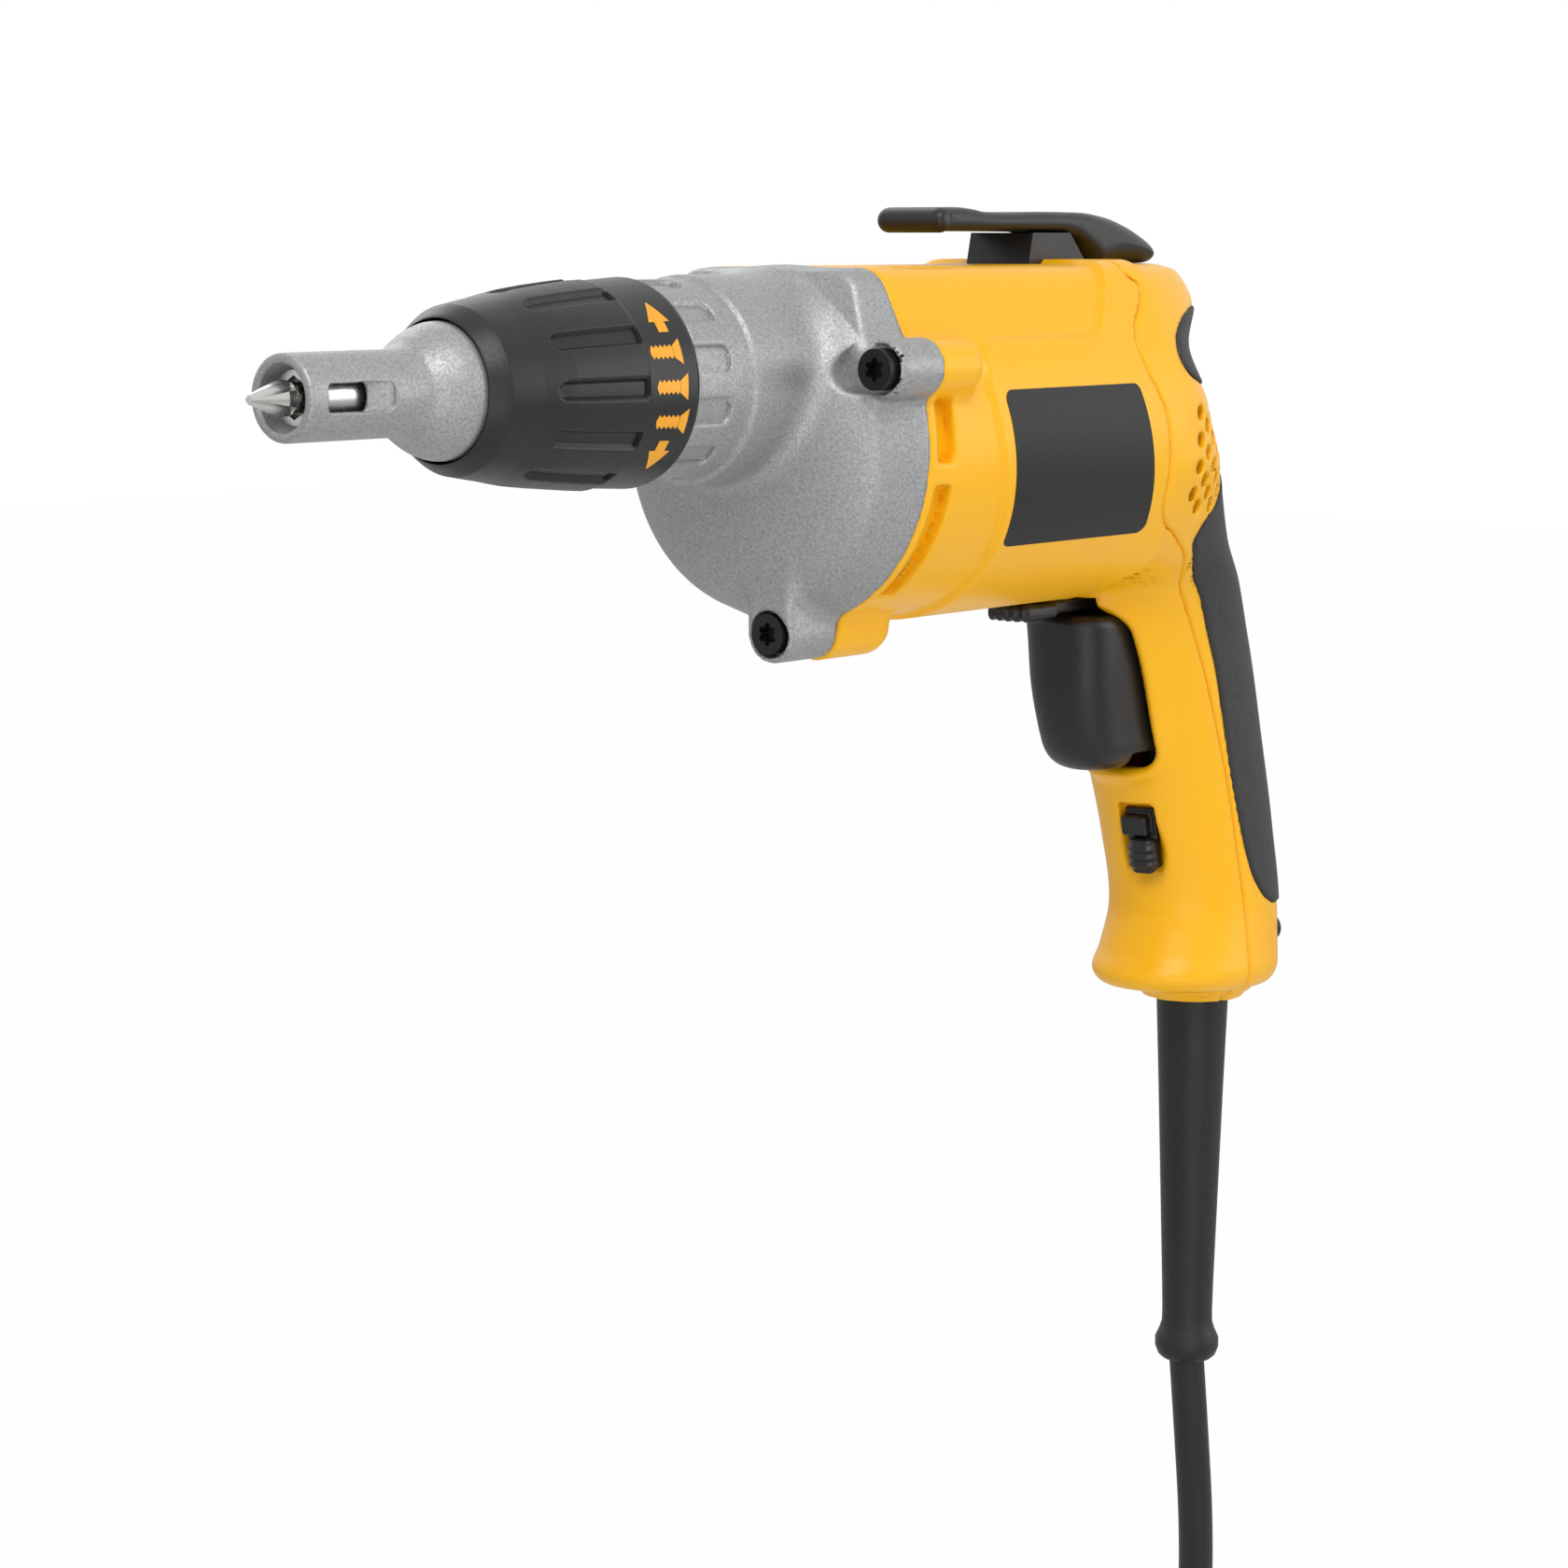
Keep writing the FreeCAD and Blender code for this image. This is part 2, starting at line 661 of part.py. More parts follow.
def bit_holder():
    """The magnetic holder: a sleeve with a hexagonal socket and shank."""
    socket_end = BIT_END + HEX_FIT
    body = cylinder(HOLDER_R, HOLDER_START, SHANK_START)
    body = body.fuse(hexagon(HEX_ACROSS_FLATS, SHANK_START - 0.5, SHANK_END))
    groove_half = BALL_R
    cuts = [
        hexagon(HEX_ACROSS_FLATS + 2 * HEX_FIT, HOLDER_START - 1, socket_end),
        cylinder(MAGNET_R + SEAT_GAP, socket_end - 0.1, socket_end + MAGNET_LENGTH + HEX_FIT),
        ring(HOLDER_R, HOLDER_GROOVE_R, BALL_X - groove_half, BALL_X + groove_half),
    ]
    return body.cut(cuts)


def holder_magnet():
    start = BIT_END + HEX_FIT
    return cylinder(MAGNET_R, start + SEAT_GAP, start + MAGNET_LENGTH)


def clutch_dogs(start, end, first):
    """The driving or driven dogs, as sectors about the spindle."""
    half = DOG_ANGLE / 2.0
    dog = sector(DOG_INNER_R, DOG_OUTER_R, -half, half, start, end)
    return around(dog, DOG_COUNT, first=first)


def output_spindle():
    """The spindle: a socketed nose, the driven clutch flange with its dogs, and a pilot."""
    body = cylinder(SPINDLE_R, SPINDLE_START, SPINDLE_FLANGE_END)
    pilot = cylinder(PILOT_R, SPINDLE_FLANGE_END - 1, SPINDLE_FLANGE_END + PILOT_LENGTH)
    flange = cylinder(SPINDLE_FLANGE_R, SPINDLE_FLANGE_START, SPINDLE_FLANGE_END)
    dogs = clutch_dogs(SPINDLE_FLANGE_END - 0.5, SPINDLE_DOG_END, 60.0)
    body = body.multiFuse([pilot, flange] + dogs)
    half = BALL_CLIP_WIDTH / 2.0 + SEAT_GAP
    cuts = [
        hexagon(HEX_ACROSS_FLATS + 2 * HEX_FIT, SPINDLE_START - 1, SHANK_END + HEX_FIT),
        Part.makeCylinder(BALL_R + SEAT_GAP, SPINDLE_R, Vector(BALL_X, 0, HOLDER_GROOVE_R)),
        ring(SPINDLE_R + 1, BALL_CLIP_R, BALL_X - half, BALL_X + half),
    ]
    return body.cut(cuts)


def holder_ball():
    return Part.makeSphere(BALL_R, Vector(BALL_X, 0, BALL_CENTRE_R))


def ball_clip():
    """The split spring ring that presses the ball into the holder's groove."""
    inner = BALL_CLIP_R + SEAT_GAP
    half = BALL_CLIP_WIDTH / 2.0
    return sector(inner, inner + BALL_CLIP_THICKNESS, -65, 245, BALL_X - half, BALL_X + half)


def spindle_bush():
    end = SPINDLE_BUSH_START + SPINDLE_BUSH_LENGTH
    return ring(SPINDLE_BUSH_R - SEAT_GAP, SPINDLE_R + RUNNING_FIT, SPINDLE_BUSH_START, end)


def thrust_washer():
    return ring(SPINDLE_FLANGE_R, SPINDLE_R + RUNNING_FIT, WASHER_START, WASHER_END)


def clutch_spring():
    """The spring that holds the clutch apart until the bit is pushed in."""
    start = SPINDLE_FLANGE_END + SEAT_GAP
    reach = GEAR_START - SEAT_GAP - start
    return coil(
        CLUTCH_SPRING_R, SPRING_WIRE_R, CLUTCH_SPRING_TURNS, Vector(start, 0, 0), Vector(1, 0, 0), reach)


def drive_gear():
    """The gear with driving dogs on its face, a bore for the pilot and a rear journal."""
    body = gear_blank(GEAR_TEETH, -PINION_SHIFT, GEAR_START, GEAR_WIDTH, 0.0, -90.0)
    journal = cylinder(GEAR_JOURNAL_R, GEAR_END - 1, GEAR_BUSH_END)
    body = body.multiFuse([journal] + clutch_dogs(GEAR_DOG_START, GEAR_START + 0.5, 0.0))
    return body.cut(cylinder(PILOT_R + RUNNING_FIT, GEAR_START - 1, GEAR_BUSH_END + 1))


def gear_bush():
    return ring(GEAR_BUSH_R - SEAT_GAP, GEAR_JOURNAL_R + RUNNING_FIT, GEAR_BUSH_START, GEAR_BUSH_END)


def gear_plate():
    """The plate behind the gears: it carries the gear bush and the armature's front bearing."""
    body = cylinder(GEAR_PLATE_R - SEAT_GAP, PLATE_START, FLANGE_X - CLEARANCE, 0, MOTOR_Z)
    bush_boss = cylinder(GEAR_PLATE_BOSS_R, GEAR_BUSH_START, PLATE_START + 1)
    bearing_boss = cylinder(FRONT_BEARING_R + 2.5, FRONT_BEARING_X - 2, PLATE_START + 1, 0, MOTOR_Z)
    body = body.multiFuse([bush_boss, bearing_boss])
    cuts = [
        cylinder(GEAR_BUSH_R, GEAR_BUSH_START - 1, GEAR_BUSH_END),
        cylinder(FRONT_BEARING_R + SEAT_GAP, FRONT_BEARING_X, FLANGE_X, 0, MOTOR_Z),
        cylinder(SHAFT_R + CLEARANCE, GEAR_BUSH_START - 1, FRONT_BEARING_X + 1, 0, MOTOR_Z),
    ]
    return body.cut(cuts)


def adjusting_collar():
    """The depth collar: a ribbed sleeve that turns on the gear case and drives the nosepiece."""
    lip = 3.4
    front_bore = BELL_R + CLEARANCE + 0.15
    thread_bore = SKIRT_R + CLEARANCE
    seat_bore = BARREL_SEAT_R + RUNNING_FIT
    body = turned(outline(
        (COLLAR_START, front_bore),
        (COLLAR_START, COLLAR_FRONT_R),
        ((0.5 * (COLLAR_START + COLLAR_SHOULDER), 0.48 * COLLAR_FRONT_R + 0.52 * COLLAR_SHOULDER_R),
         (COLLAR_SHOULDER, COLLAR_SHOULDER_R)),
        ((0.5 * (COLLAR_SHOULDER + COLLAR_BAND_START),
          0.5 * (COLLAR_SHOULDER_R + COLLAR_LAND_END_R) + 0.35),
         (COLLAR_BAND_START, COLLAR_LAND_END_R)),
        (COLLAR_BAND_START + 0.3, COLLAR_BAND_R),
        (COLLAR_END, COLLAR_REAR_R),
        (COLLAR_END, seat_bore),
        (BARREL_SEAT_START - NOSE_TRAVEL / 2, seat_bore),
        (BARREL_SEAT_START - NOSE_TRAVEL / 2, thread_bore),
        (COLLAR_START + lip, thread_bore),
        (COLLAR_START + lip, front_bore),
    ))
    slope = math.degrees(math.atan2(
        COLLAR_LAND_END_R - COLLAR_SHOULDER_R, COLLAR_BAND_START - COLLAR_SHOULDER))
    groove = block(
        GROOVE_START, COLLAR_BAND_START + 0.4, -GROOVE_WIDTH / 2, GROOVE_WIDTH / 2,
        COLLAR_SHOULDER_R - GROOVE_DEPTH + 0.4, COLLAR_SHOULDER_R + 4)
    groove.rotate(Vector(COLLAR_SHOULDER, 0, COLLAR_SHOULDER_R), Vector(0, 1, 0), -slope)
    grooves = around(groove, GROOVE_COUNT)
    ring_half = RETAINING_RING_WIDTH / 2.0 + CLEARANCE
    ring_r = BARREL_SEAT_R + 1.0
    relief = ring(ring_r, BARREL_SEAT_R - 1, RETAINING_RING_X - ring_half, RETAINING_RING_X + ring_half)
    return body.cut(grooves[0].multiFuse(grooves[1:] + [relief]))


def retaining_ring():
    """The split ring in the case's groove that keeps the collar on."""
    half = RETAINING_RING_WIDTH / 2.0
    inner = BARREL_SEAT_R - 1.2
    outer = BARREL_SEAT_R + 1.0 - CLEARANCE
    return sector(inner + SEAT_GAP, outer, -80, 260, RETAINING_RING_X - half, RETAINING_RING_X + half)


def nose_o_ring():
    """The rubber ring that steadies the nosepiece on the case."""
    centre_r = SKIRT_BORE_R - RUNNING_FIT - O_RING_WIRE_R
    return Part.makeTorus(centre_r, O_RING_WIRE_R, Vector(O_RING_X, 0, 0), Vector(1, 0, 0))


# Gear case

def barrel_section(x, radius, inset=0.0):
    """The housing's outline across x: a round barrel whose sides run up to a flat deck."""
    r = radius - inset
    top = DECK_Z - inset
    half = DECK_HALF_WIDTH - 0.6 * inset
    rise = top - MOTOR_Z
    reach = math.hypot(half, rise)
    angle = math.atan2(rise, half) - math.acos(r / reach)

    def on_round(a):
        return Vector(x, r * math.cos(a), MOTOR_Z + r * math.sin(a))

    left = Vector(x, -half, top)
    right = Vector(x, half, top)
    edges = [
        Part.LineSegment(left, right).toShape(),
        Part.LineSegment(right, on_round(angle)).toShape(),
        Part.Arc(on_round(angle), on_round(-math.pi / 2), on_round(math.pi - angle)).toShape(),
        Part.LineSegment(on_round(math.pi - angle), left).toShape(),
    ]
    return Part.Wire(edges)


def deck_edges(shape):
    """The edges along x at the sides of the deck."""
    found = []
    for edge in shape.Edges:
        box = edge.BoundBox
        if box.XLength > 1.0 and box.ZMin > DECK_Z - 3.0 and box.YLength < 1.5 and abs(box.YMin) > 15.0:
            found.append(edge)
    return found


def barrel(start, end, radius, inset=0.0):
    """A length of the barrel, with its deck edges rounded."""
    body = Part.Face(barrel_section(start, radius, inset)).extrude(Vector(end - start, 0, 0))
    return body.makeFillet(DECK_EDGE_RADIUS, deck_edges(body))


def dome(radius, depth):
    """The front of the gear case: half an ellipsoid about the motor axis, cut off at the flange."""
    centre = Vector(DOME_CENTRE, 0, MOTOR_Z)
    top = Vector(DOME_CENTRE, 0, MOTOR_Z + radius)
    front = Vector(DOME_CENTRE - depth, 0, MOTOR_Z)
    edges = [
        Part.ArcOfEllipse(Part.Ellipse(top, front, centre), 0, math.pi / 2).toShape(),
        Part.LineSegment(front, centre).toShape(),
        Part.LineSegment(centre, top).toShape(),
    ]
    whole = turned(Part.Face(Part.Wire(Part.sortEdges(edges)[0])), MOTOR_Z)
    reach = 2.0 * radius
    behind = block(FLANGE_X, DOME_CENTRE + 1, -reach, reach, MOTOR_Z - reach, MOTOR_Z + reach)
    return whole.cut(behind)


def gear_case():
    """The casting: a barrel for the collar, a notched band, a neck and a dome with screw bosses."""
    rim_start = FLANGE_X - RIM_LENGTH
    rim = Part.makeLoft([
        barrel_section(rim_start, BARREL_R, RIM_TAPER),
        barrel_section(FLANGE_X - 1.5, BARREL_R),
        barrel_section(FLANGE_X, BARREL_R),
    ], True, True)
    stem = turned(outline(
        (BARREL_TUBE_START, 0.0),
        (BARREL_TUBE_START, BARREL_TUBE_R),
        (BARREL_SEAT_START, BARREL_TUBE_R),
        (BARREL_SEAT_START, BARREL_SEAT_R),
        (COLLAR_END + CLEARANCE, BARREL_SEAT_R),
        (COLLAR_END + CLEARANCE, BAND_R),
        (BAND_END, BAND_R),
        (BAND_END + 0.8, NECK_R),
        (FLANGE_X, NECK_R),
        (FLANGE_X, 0.0),
    ))
    shape = stem.multiFuse([dome(DOME_R, DOME_DEPTH), rim])
    bosses = []
    for y, z in CASE_SCREWS:
        bosses.append(cylinder(CASE_BOSS_R, CASE_BOSS_FRONT, FLANGE_X, y, z))
    foot_y, foot_z = CASE_SCREWS[-1]
    bosses.append(block(
        CASE_BOSS_FRONT, FLANGE_X, foot_y - CASE_BOSS_R, foot_y + CASE_BOSS_R, foot_z, foot_z + 12.0))
    keys = []
    for side in (-1, 1):
        low, high = sorted((side * (BARREL_TUBE_R - 1.0), side * KEY_R))
        keys.append(block(
            BARREL_TUBE_START, BARREL_SEAT_START + 1, -KEY_WIDTH / 2, KEY_WIDTH / 2, low, high))
    shape = shape.multiFuse(bosses + keys)
    notch = block(
        COLLAR_END, COLLAR_END + CLEARANCE + NOTCH_LENGTH, -NOTCH_WIDTH / 2, NOTCH_WIDTH / 2,
        BAND_R - NOTCH_DEPTH, BAND_R + 2)
    cuts = around(notch, GROOVE_COUNT, first=180.0 / GROOVE_COUNT)
    for y, z in CASE_SCREWS:
        cuts.append(cylinder(CASE_SCREW_HEAD_R + 0.6, GEAR_START, CASE_SCREW_SEAT, y, z))
        cuts.append(cylinder(CASE_SCREW_SHANK_R + CLEARANCE, CASE_SCREW_SEAT - 1, FLANGE_X + 1, y, z))
    bush_end = SPINDLE_BUSH_START + SPINDLE_BUSH_LENGTH
    ring_half = RETAINING_RING_WIDTH / 2.0 + SEAT_GAP
    ring_floor = BARREL_SEAT_R - 1.2
    o_ring_floor = SKIRT_BORE_R - RUNNING_FIT - 2 * O_RING_WIRE_R - SEAT_GAP
    o_ring_half = O_RING_WIRE_R + SEAT_GAP
    cavity_wall = CASE_WALL + 1.5
    cuts += [
        cylinder(SPINDLE_BUSH_R, BARREL_TUBE_START - 1, bush_end + SEAT_GAP),
        cylinder(SPINDLE_R + CLEARANCE, bush_end, CHAMBER_START + 1),
        cylinder(CHAMBER_R, CHAMBER_START, FLANGE_X + 1),
        cylinder(GEAR_TEETH * MODULE / 4.0, GEAR_START - 1.5, FLANGE_X + 1, 0, MOTOR_Z),
        dome(DOME_R - cavity_wall, DOME_DEPTH - cavity_wall),
        cylinder(GEAR_PLATE_R, PLATE_START, FLANGE_X + 1, 0, MOTOR_Z),
        ring(BARREL_SEAT_R + 1, ring_floor, RETAINING_RING_X - ring_half, RETAINING_RING_X + ring_half),
        ring(KEY_R + 1, o_ring_floor, O_RING_X - o_ring_half, O_RING_X + o_ring_half),
    ]
    return shape.cut(cuts)


def gear_case_screws():
    """The three black screws that hold the case to the housing."""
    screws = []
    for y, z in CASE_SCREWS:
        screw = star_screw(CASE_SCREW_HEAD_R, CASE_SCREW_HEAD_HEIGHT, CASE_SCREW_SHANK_R, CASE_SCREW_LENGTH)
        screws.append(screw.translated(Vector(CASE_SCREW_SEAT - CASE_SCREW_HEAD_HEIGHT - SEAT_GAP, y, z)))
    return Part.makeCompound(screws)


# Motor

def armature_shaft():
    """The shaft with the pinion cut on its front end."""
    pinion_end = GEAR_END + 1.0
    pinion = gear_blank(
        PINION_TEETH, PINION_SHIFT, GEAR_START, pinion_end - GEAR_START, MOTOR_Z, 90.0 + 180.0 / PINION_TEETH)
    front_r = FRONT_BEARING_BORE_R - RUNNING_FIT
    rear_r = REAR_BEARING_BORE_R - RUNNING_FIT
    front_end = FLANGE_X
    rear_start = REAR_BEARING_X - 0.5
    shaft = turned(outline(
        (pinion_end, 0.0),
        (pinion_end, front_r),
        (front_end, front_r),
        (front_end, SHAFT_R),
        (rear_start, SHAFT_R),
        (rear_start, rear_r),
        (REAR_BEARING_X + REAR_BEARING_WIDTH + 0.5, rear_r),
        (REAR_BEARING_X + REAR_BEARING_WIDTH + 0.5, 0.0),
        lift=MOTOR_Z,
    ), MOTOR_Z)
    return shaft.fuse(pinion)


def ball_bearing(outer_r, bore_r, start, width):
    """A bearing with the gap between its rings showing on both faces."""
    body = ring(outer_r, bore_r, start, start + width, 0, MOTOR_Z)
    race = (outer_r - bore_r) / 3.0
    depth = 0.6
    cuts = []
    for x in (start - 1, start + width - depth):
        cuts.append(ring(outer_r - race, bore_r + race, x, x + 1 + depth, 0, MOTOR_Z))
    return body.cut(cuts[0].fuse(cuts[1]))


def front_bearing():
    start = FRONT_BEARING_X + SEAT_GAP
    return ball_bearing(FRONT_BEARING_R, FRONT_BEARING_BORE_R, start, FRONT_BEARING_WIDTH - SEAT_GAP)


def rear_bearing():
    return ball_bearing(REAR_BEARING_R, REAR_BEARING_BORE_R, REAR_BEARING_X, REAR_BEARING_WIDTH)


def fan():
    """The cooling fan: a hub, a disc and straight blades."""
    end = FAN_X + FAN_WIDTH
    body = cylinder(FAN_HUB_R, FAN_X, end, 0, MOTOR_Z)
    disc = cylinder(FAN_R, FAN_X, FAN_X + FAN_DISC, 0, MOTOR_Z)
    half = FAN_BLADE_THICKNESS / 2.0
    blade = block(FAN_X + 0.5, end, -half, half, MOTOR_Z + FAN_HUB_R + 3.0, MOTOR_Z + FAN_R - 0.3)
    body = body.multiFuse([disc] + around(blade, FAN_BLADES, MOTOR_Z))
    return body.cut(cylinder(SHAFT_R + SEAT_GAP, FAN_X - 1, end + 1, 0, MOTOR_Z))


def fan_baffle():
    """The ring that turns the air into the fan."""
    seat = HOUSING_WALL + SEAT_GAP
    end = BAFFLE_X + BAFFLE_THICKNESS
    body = barrel(BAFFLE_X, end, BARREL_R, seat)
    return body.cut(cylinder(BAFFLE_BORE_R, BAFFLE_X - 1, end + 1, 0, MOTOR_Z))


def field_core():
    """The field laminations, with a pole above and below the armature."""
    bore = ARMATURE_R + AIR_GAP
    body = ring(FIELD_R, bore, FIELD_X, FIELD_END, 0, MOTOR_Z)
    half = (180.0 - FIELD_POLE_ANGLE) / 2.0
    slot = sector(bore - 1, FIELD_R - FIELD_YOKE, -half, half, FIELD_X - 1, FIELD_END + 1, MOTOR_Z)
    slots = around(slot, 2, MOTOR_Z)
    return body.cut(slots[0].fuse(slots[1]))


def field_coils():
    """Two coils, each wound round a pole: bars in the slots and turns across the ends."""
    half = (180.0 - FIELD_POLE_ANGLE) / 2.0
    inner = ARMATURE_R + AIR_GAP + 0.6
    outer = FIELD_R - FIELD_YOKE - CLEARANCE
    overhang = 5.0
    start = FIELD_X - overhang
    end = FIELD_END + overhang
    gap = 2.0
    coil_parts = []
    for low, high in ((gap, half - gap), (180.0 - half + gap, 180.0 - gap)):
        coil_parts.append(sector(inner, outer, low, high, start, end, MOTOR_Z))
    for x0, x1 in ((start, FIELD_X - CLEARANCE), (FIELD_END + CLEARANCE, end)):
        coil_parts.append(sector(inner, outer, gap, 180.0 - gap, x0, x1, MOTOR_Z))
    upper = coil_parts[0].multiFuse(coil_parts[1:])
    return Part.makeCompound(around(upper, 2, MOTOR_Z))


def armature_slots(width, depth, start, end):
    """The slots of the armature core, or the wires that fill them."""
    bar = block(start, end, -width / 2, width / 2, MOTOR_Z + ARMATURE_R - depth, MOTOR_Z + ARMATURE_R + 1)
    return around(bar, ARMATURE_SLOTS, MOTOR_Z)


def armature_core():
    """The slotted armature laminations."""
    slots = armature_slots(ARMATURE_SLOT_WIDTH, ARMATURE_SLOT_DEPTH, FIELD_X - 1, FIELD_END + 1)
    body = ring(ARMATURE_R, SHAFT_R + SEAT_GAP, FIELD_X, FIELD_END, 0, MOTOR_Z)
    return body.cut(slots)


def armature_windings():
    """The armature's copper: wires in the slots and a bulging head at each end."""
    gap = 0.15
    start = FIELD_X - WINDING_OVERHANG
    end = FIELD_END + WINDING_OVERHANG
    inner = SHAFT_R + 1.0
    heads = []
    for near, far in ((FIELD_X - gap, start), (FIELD_END + gap, end)):
        side = 1.5 if far > near else -1.5
        heads.append(turned(outline(
            (near, inner), (near, WINDING_R), (far - side, WINDING_R), (far, WINDING_R - 2.0), (far, inner),
            lift=MOTOR_Z), MOTOR_Z))
    bars = armature_slots(
        ARMATURE_SLOT_WIDTH - 2 * gap, ARMATURE_SLOT_DEPTH - gap, FIELD_X - 1, FIELD_END + 1)
    wires = heads[0].multiFuse([heads[1]] + bars)
    return wires.common(cylinder(ARMATURE_R - 0.5, start - 1, end + 1, 0, MOTOR_Z))


def commutator():
    """The commutator with its bars parted by narrow slits."""
    end = COMMUTATOR_X + COMMUTATOR_LENGTH
    body = ring(COMMUTATOR_R, SHAFT_R + SEAT_GAP, COMMUTATOR_X, end, 0, MOTOR_Z)
    slit = block(
        COMMUTATOR_X - 1, end + 1, -COMMUTATOR_SLIT / 2, COMMUTATOR_SLIT / 2,
        MOTOR_Z + COMMUTATOR_R - 1.0, MOTOR_Z + COMMUTATOR_R + 1.0)
    slits = around(slit, COMMUTATOR_BARS, MOTOR_Z)
    return body.cut(slits)


BRUSH_X = COMMUTATOR_X + COMMUTATOR_LENGTH / 2.0
BRUSH_INNER_Y = COMMUTATOR_R + RUNNING_FIT
HOLDER_INNER_Y = COMMUTATOR_R + 2.0
BRUSH_SLIDE = 0.1
HOLDER_HALF_HEIGHT = BRUSH_HEIGHT / 2 + BRUSH_SLIDE + BRUSH_HOLDER_WALL
HOLDER_OUTER_Y = math.sqrt((BARREL_R - HOUSING_WALL) ** 2 - HOLDER_HALF_HEIGHT ** 2) - CLEARANCE


def mirrored(shape):
    """A piece of the left side and its twin on the right, as one group."""
    return Part.makeCompound([shape, shape.mirror(Vector(0, 0, 0), Vector(0, 1, 0))])


def brushes():
    brush = block(
        BRUSH_X - BRUSH_WIDTH / 2, BRUSH_X + BRUSH_WIDTH / 2, BRUSH_INNER_Y, BRUSH_INNER_Y + BRUSH_LENGTH,
        MOTOR_Z - BRUSH_HEIGHT / 2, MOTOR_Z + BRUSH_HEIGHT / 2)
    return mirrored(brush)


def brush_holders():
    """The square tubes that guide the brushes, closed at their outer ends."""
    half_x = BRUSH_WIDTH / 2 + BRUSH_SLIDE
    half_z = BRUSH_HEIGHT / 2 + BRUSH_SLIDE
    wall = BRUSH_HOLDER_WALL
    shell = block(
        BRUSH_X - half_x - wall, BRUSH_X + half_x + wall, HOLDER_INNER_Y, HOLDER_OUTER_Y,
        MOTOR_Z - half_z - wall, MOTOR_Z + half_z + wall)
    bore = block(
        BRUSH_X - half_x, BRUSH_X + half_x, HOLDER_INNER_Y - 1, HOLDER_OUTER_Y - wall,
        MOTOR_Z - half_z, MOTOR_Z + half_z)
    return mirrored(shell.cut(bore))


def brush_springs():
    """The springs that press the brushes on the commutator."""
    start = BRUSH_INNER_Y + BRUSH_LENGTH + SEAT_GAP
    end = HOLDER_OUTER_Y - BRUSH_HOLDER_WALL - SEAT_GAP
    spring = coil(
        BRUSH_WIDTH / 2 - 0.7, BRUSH_SPRING_WIRE_R, BRUSH_SPRING_TURNS, Vector(BRUSH_X, start, MOTOR_Z),
        Vector(0, 1, 0), end - start)
    return mirrored(spring)


# Housing and handle

def barrel_half_width(z):
    """Half the housing's width at a height, along the sleeve."""
    rise = DECK_Z - MOTOR_Z
    angle = math.atan2(rise, DECK_HALF_WIDTH) - math.acos(SLEEVE_R / math.hypot(DECK_HALF_WIDTH, rise))
    tangent_y = SLEEVE_R * math.cos(angle)
    tangent_z = MOTOR_Z + SLEEVE_R * math.sin(angle)
    if z > tangent_z:
        share = (DECK_Z - z) / (DECK_Z - tangent_z)
        return DECK_HALF_WIDTH + share * (tangent_y - DECK_HALF_WIDTH)
    return math.sqrt(SLEEVE_R ** 2 - (z - MOTOR_Z) ** 2)


def upper_station(z, rear, narrowing=0.0):
    """A section behind the barrel: it takes the barrel in where it leaves it."""
    return z, 2.0 * BARREL_END - rear, rear, barrel_half_width(z) + BARREL_LAP - narrowing


BODY_STATIONS = (
    upper_station(DECK_Z, 247.0, 4.0),
    upper_station(DECK_Z - 1.5, 250.5, 1.6),
    upper_station(DECK_Z - 6.5, 252.5),
    upper_station(3.0, 241.5),
    upper_station(-8.0, 244.0),
    upper_station(-18.0, 249.0),
    upper_station(-28.0, 256.5),
    (-38.0, 190.0, 265.0, 27.5),
    (-48.0, 223.0, 274.5, 20.3),
    (-62.0, 232.2, 282.4, 17.6),
    (-88.0, 242.6, 289.6, GRIP_HALF_WIDTH),
    (-106.0, 248.0, 293.6, GRIP_HALF_WIDTH),
    (-122.0, 251.0, 296.3, GRIP_HALF_WIDTH + 0.3),
    (HEEL_Z + 4.0, 248.2, 297.2, GRIP_HALF_WIDTH + 1.6),
    (HEEL_Z - 12.0, 248.2, 297.2, GRIP_HALF_WIDTH + 1.6),
)
PARTING_POINTS = (
    (215.5, 40.0), (215.5, 12.0), (214.5, 4.0), (219.0, -12.0), (224.0, -26.0), (228.0, -35.0),
    (240.0, -42.5), (249.5, -52.0), (257.0, -68.0), (264.0, -88.0), (270.0, -106.0), (274.0, -125.0),
    (274.8, -160.0),
)
BACK_GRIP_EDGE = ((310.0, -22.0), (268.0, -27.0), (253.0, -34.0), (249.0, -44.0), (260.0, -66.0),
                  (274.0, -105.0), (281.0, -119.0), (310.0, -123.0))
THUMB_PAD_EDGE = ((270.0, 10.5), (240.0, 9.0), (232.0, 3.2), (240.0, -2.6), (270.0, -4.0))


def plan_section(z, front, rear, half_width):
    """A level section of the handle: a rounded, slightly squared oval."""
    middle = (front + rear) / 2.0
    depth = (rear - front) / 2.0
    power = 2.0 / SECTION_POWER
    points = []
    for i in range(SECTION_POINTS):
        a = 2.0 * math.pi * i / SECTION_POINTS
        c = math.cos(a)
        s = math.sin(a)
        x = middle + depth * math.copysign(abs(c) ** power, c)
        y = half_width * math.copysign(abs(s) ** power, s)
        points.append(Vector(x, y, z))
    curve = Part.BSplineCurve()
    curve.interpolate(points, PeriodicFlag=True)
    return Part.Wire(curve.toShape())


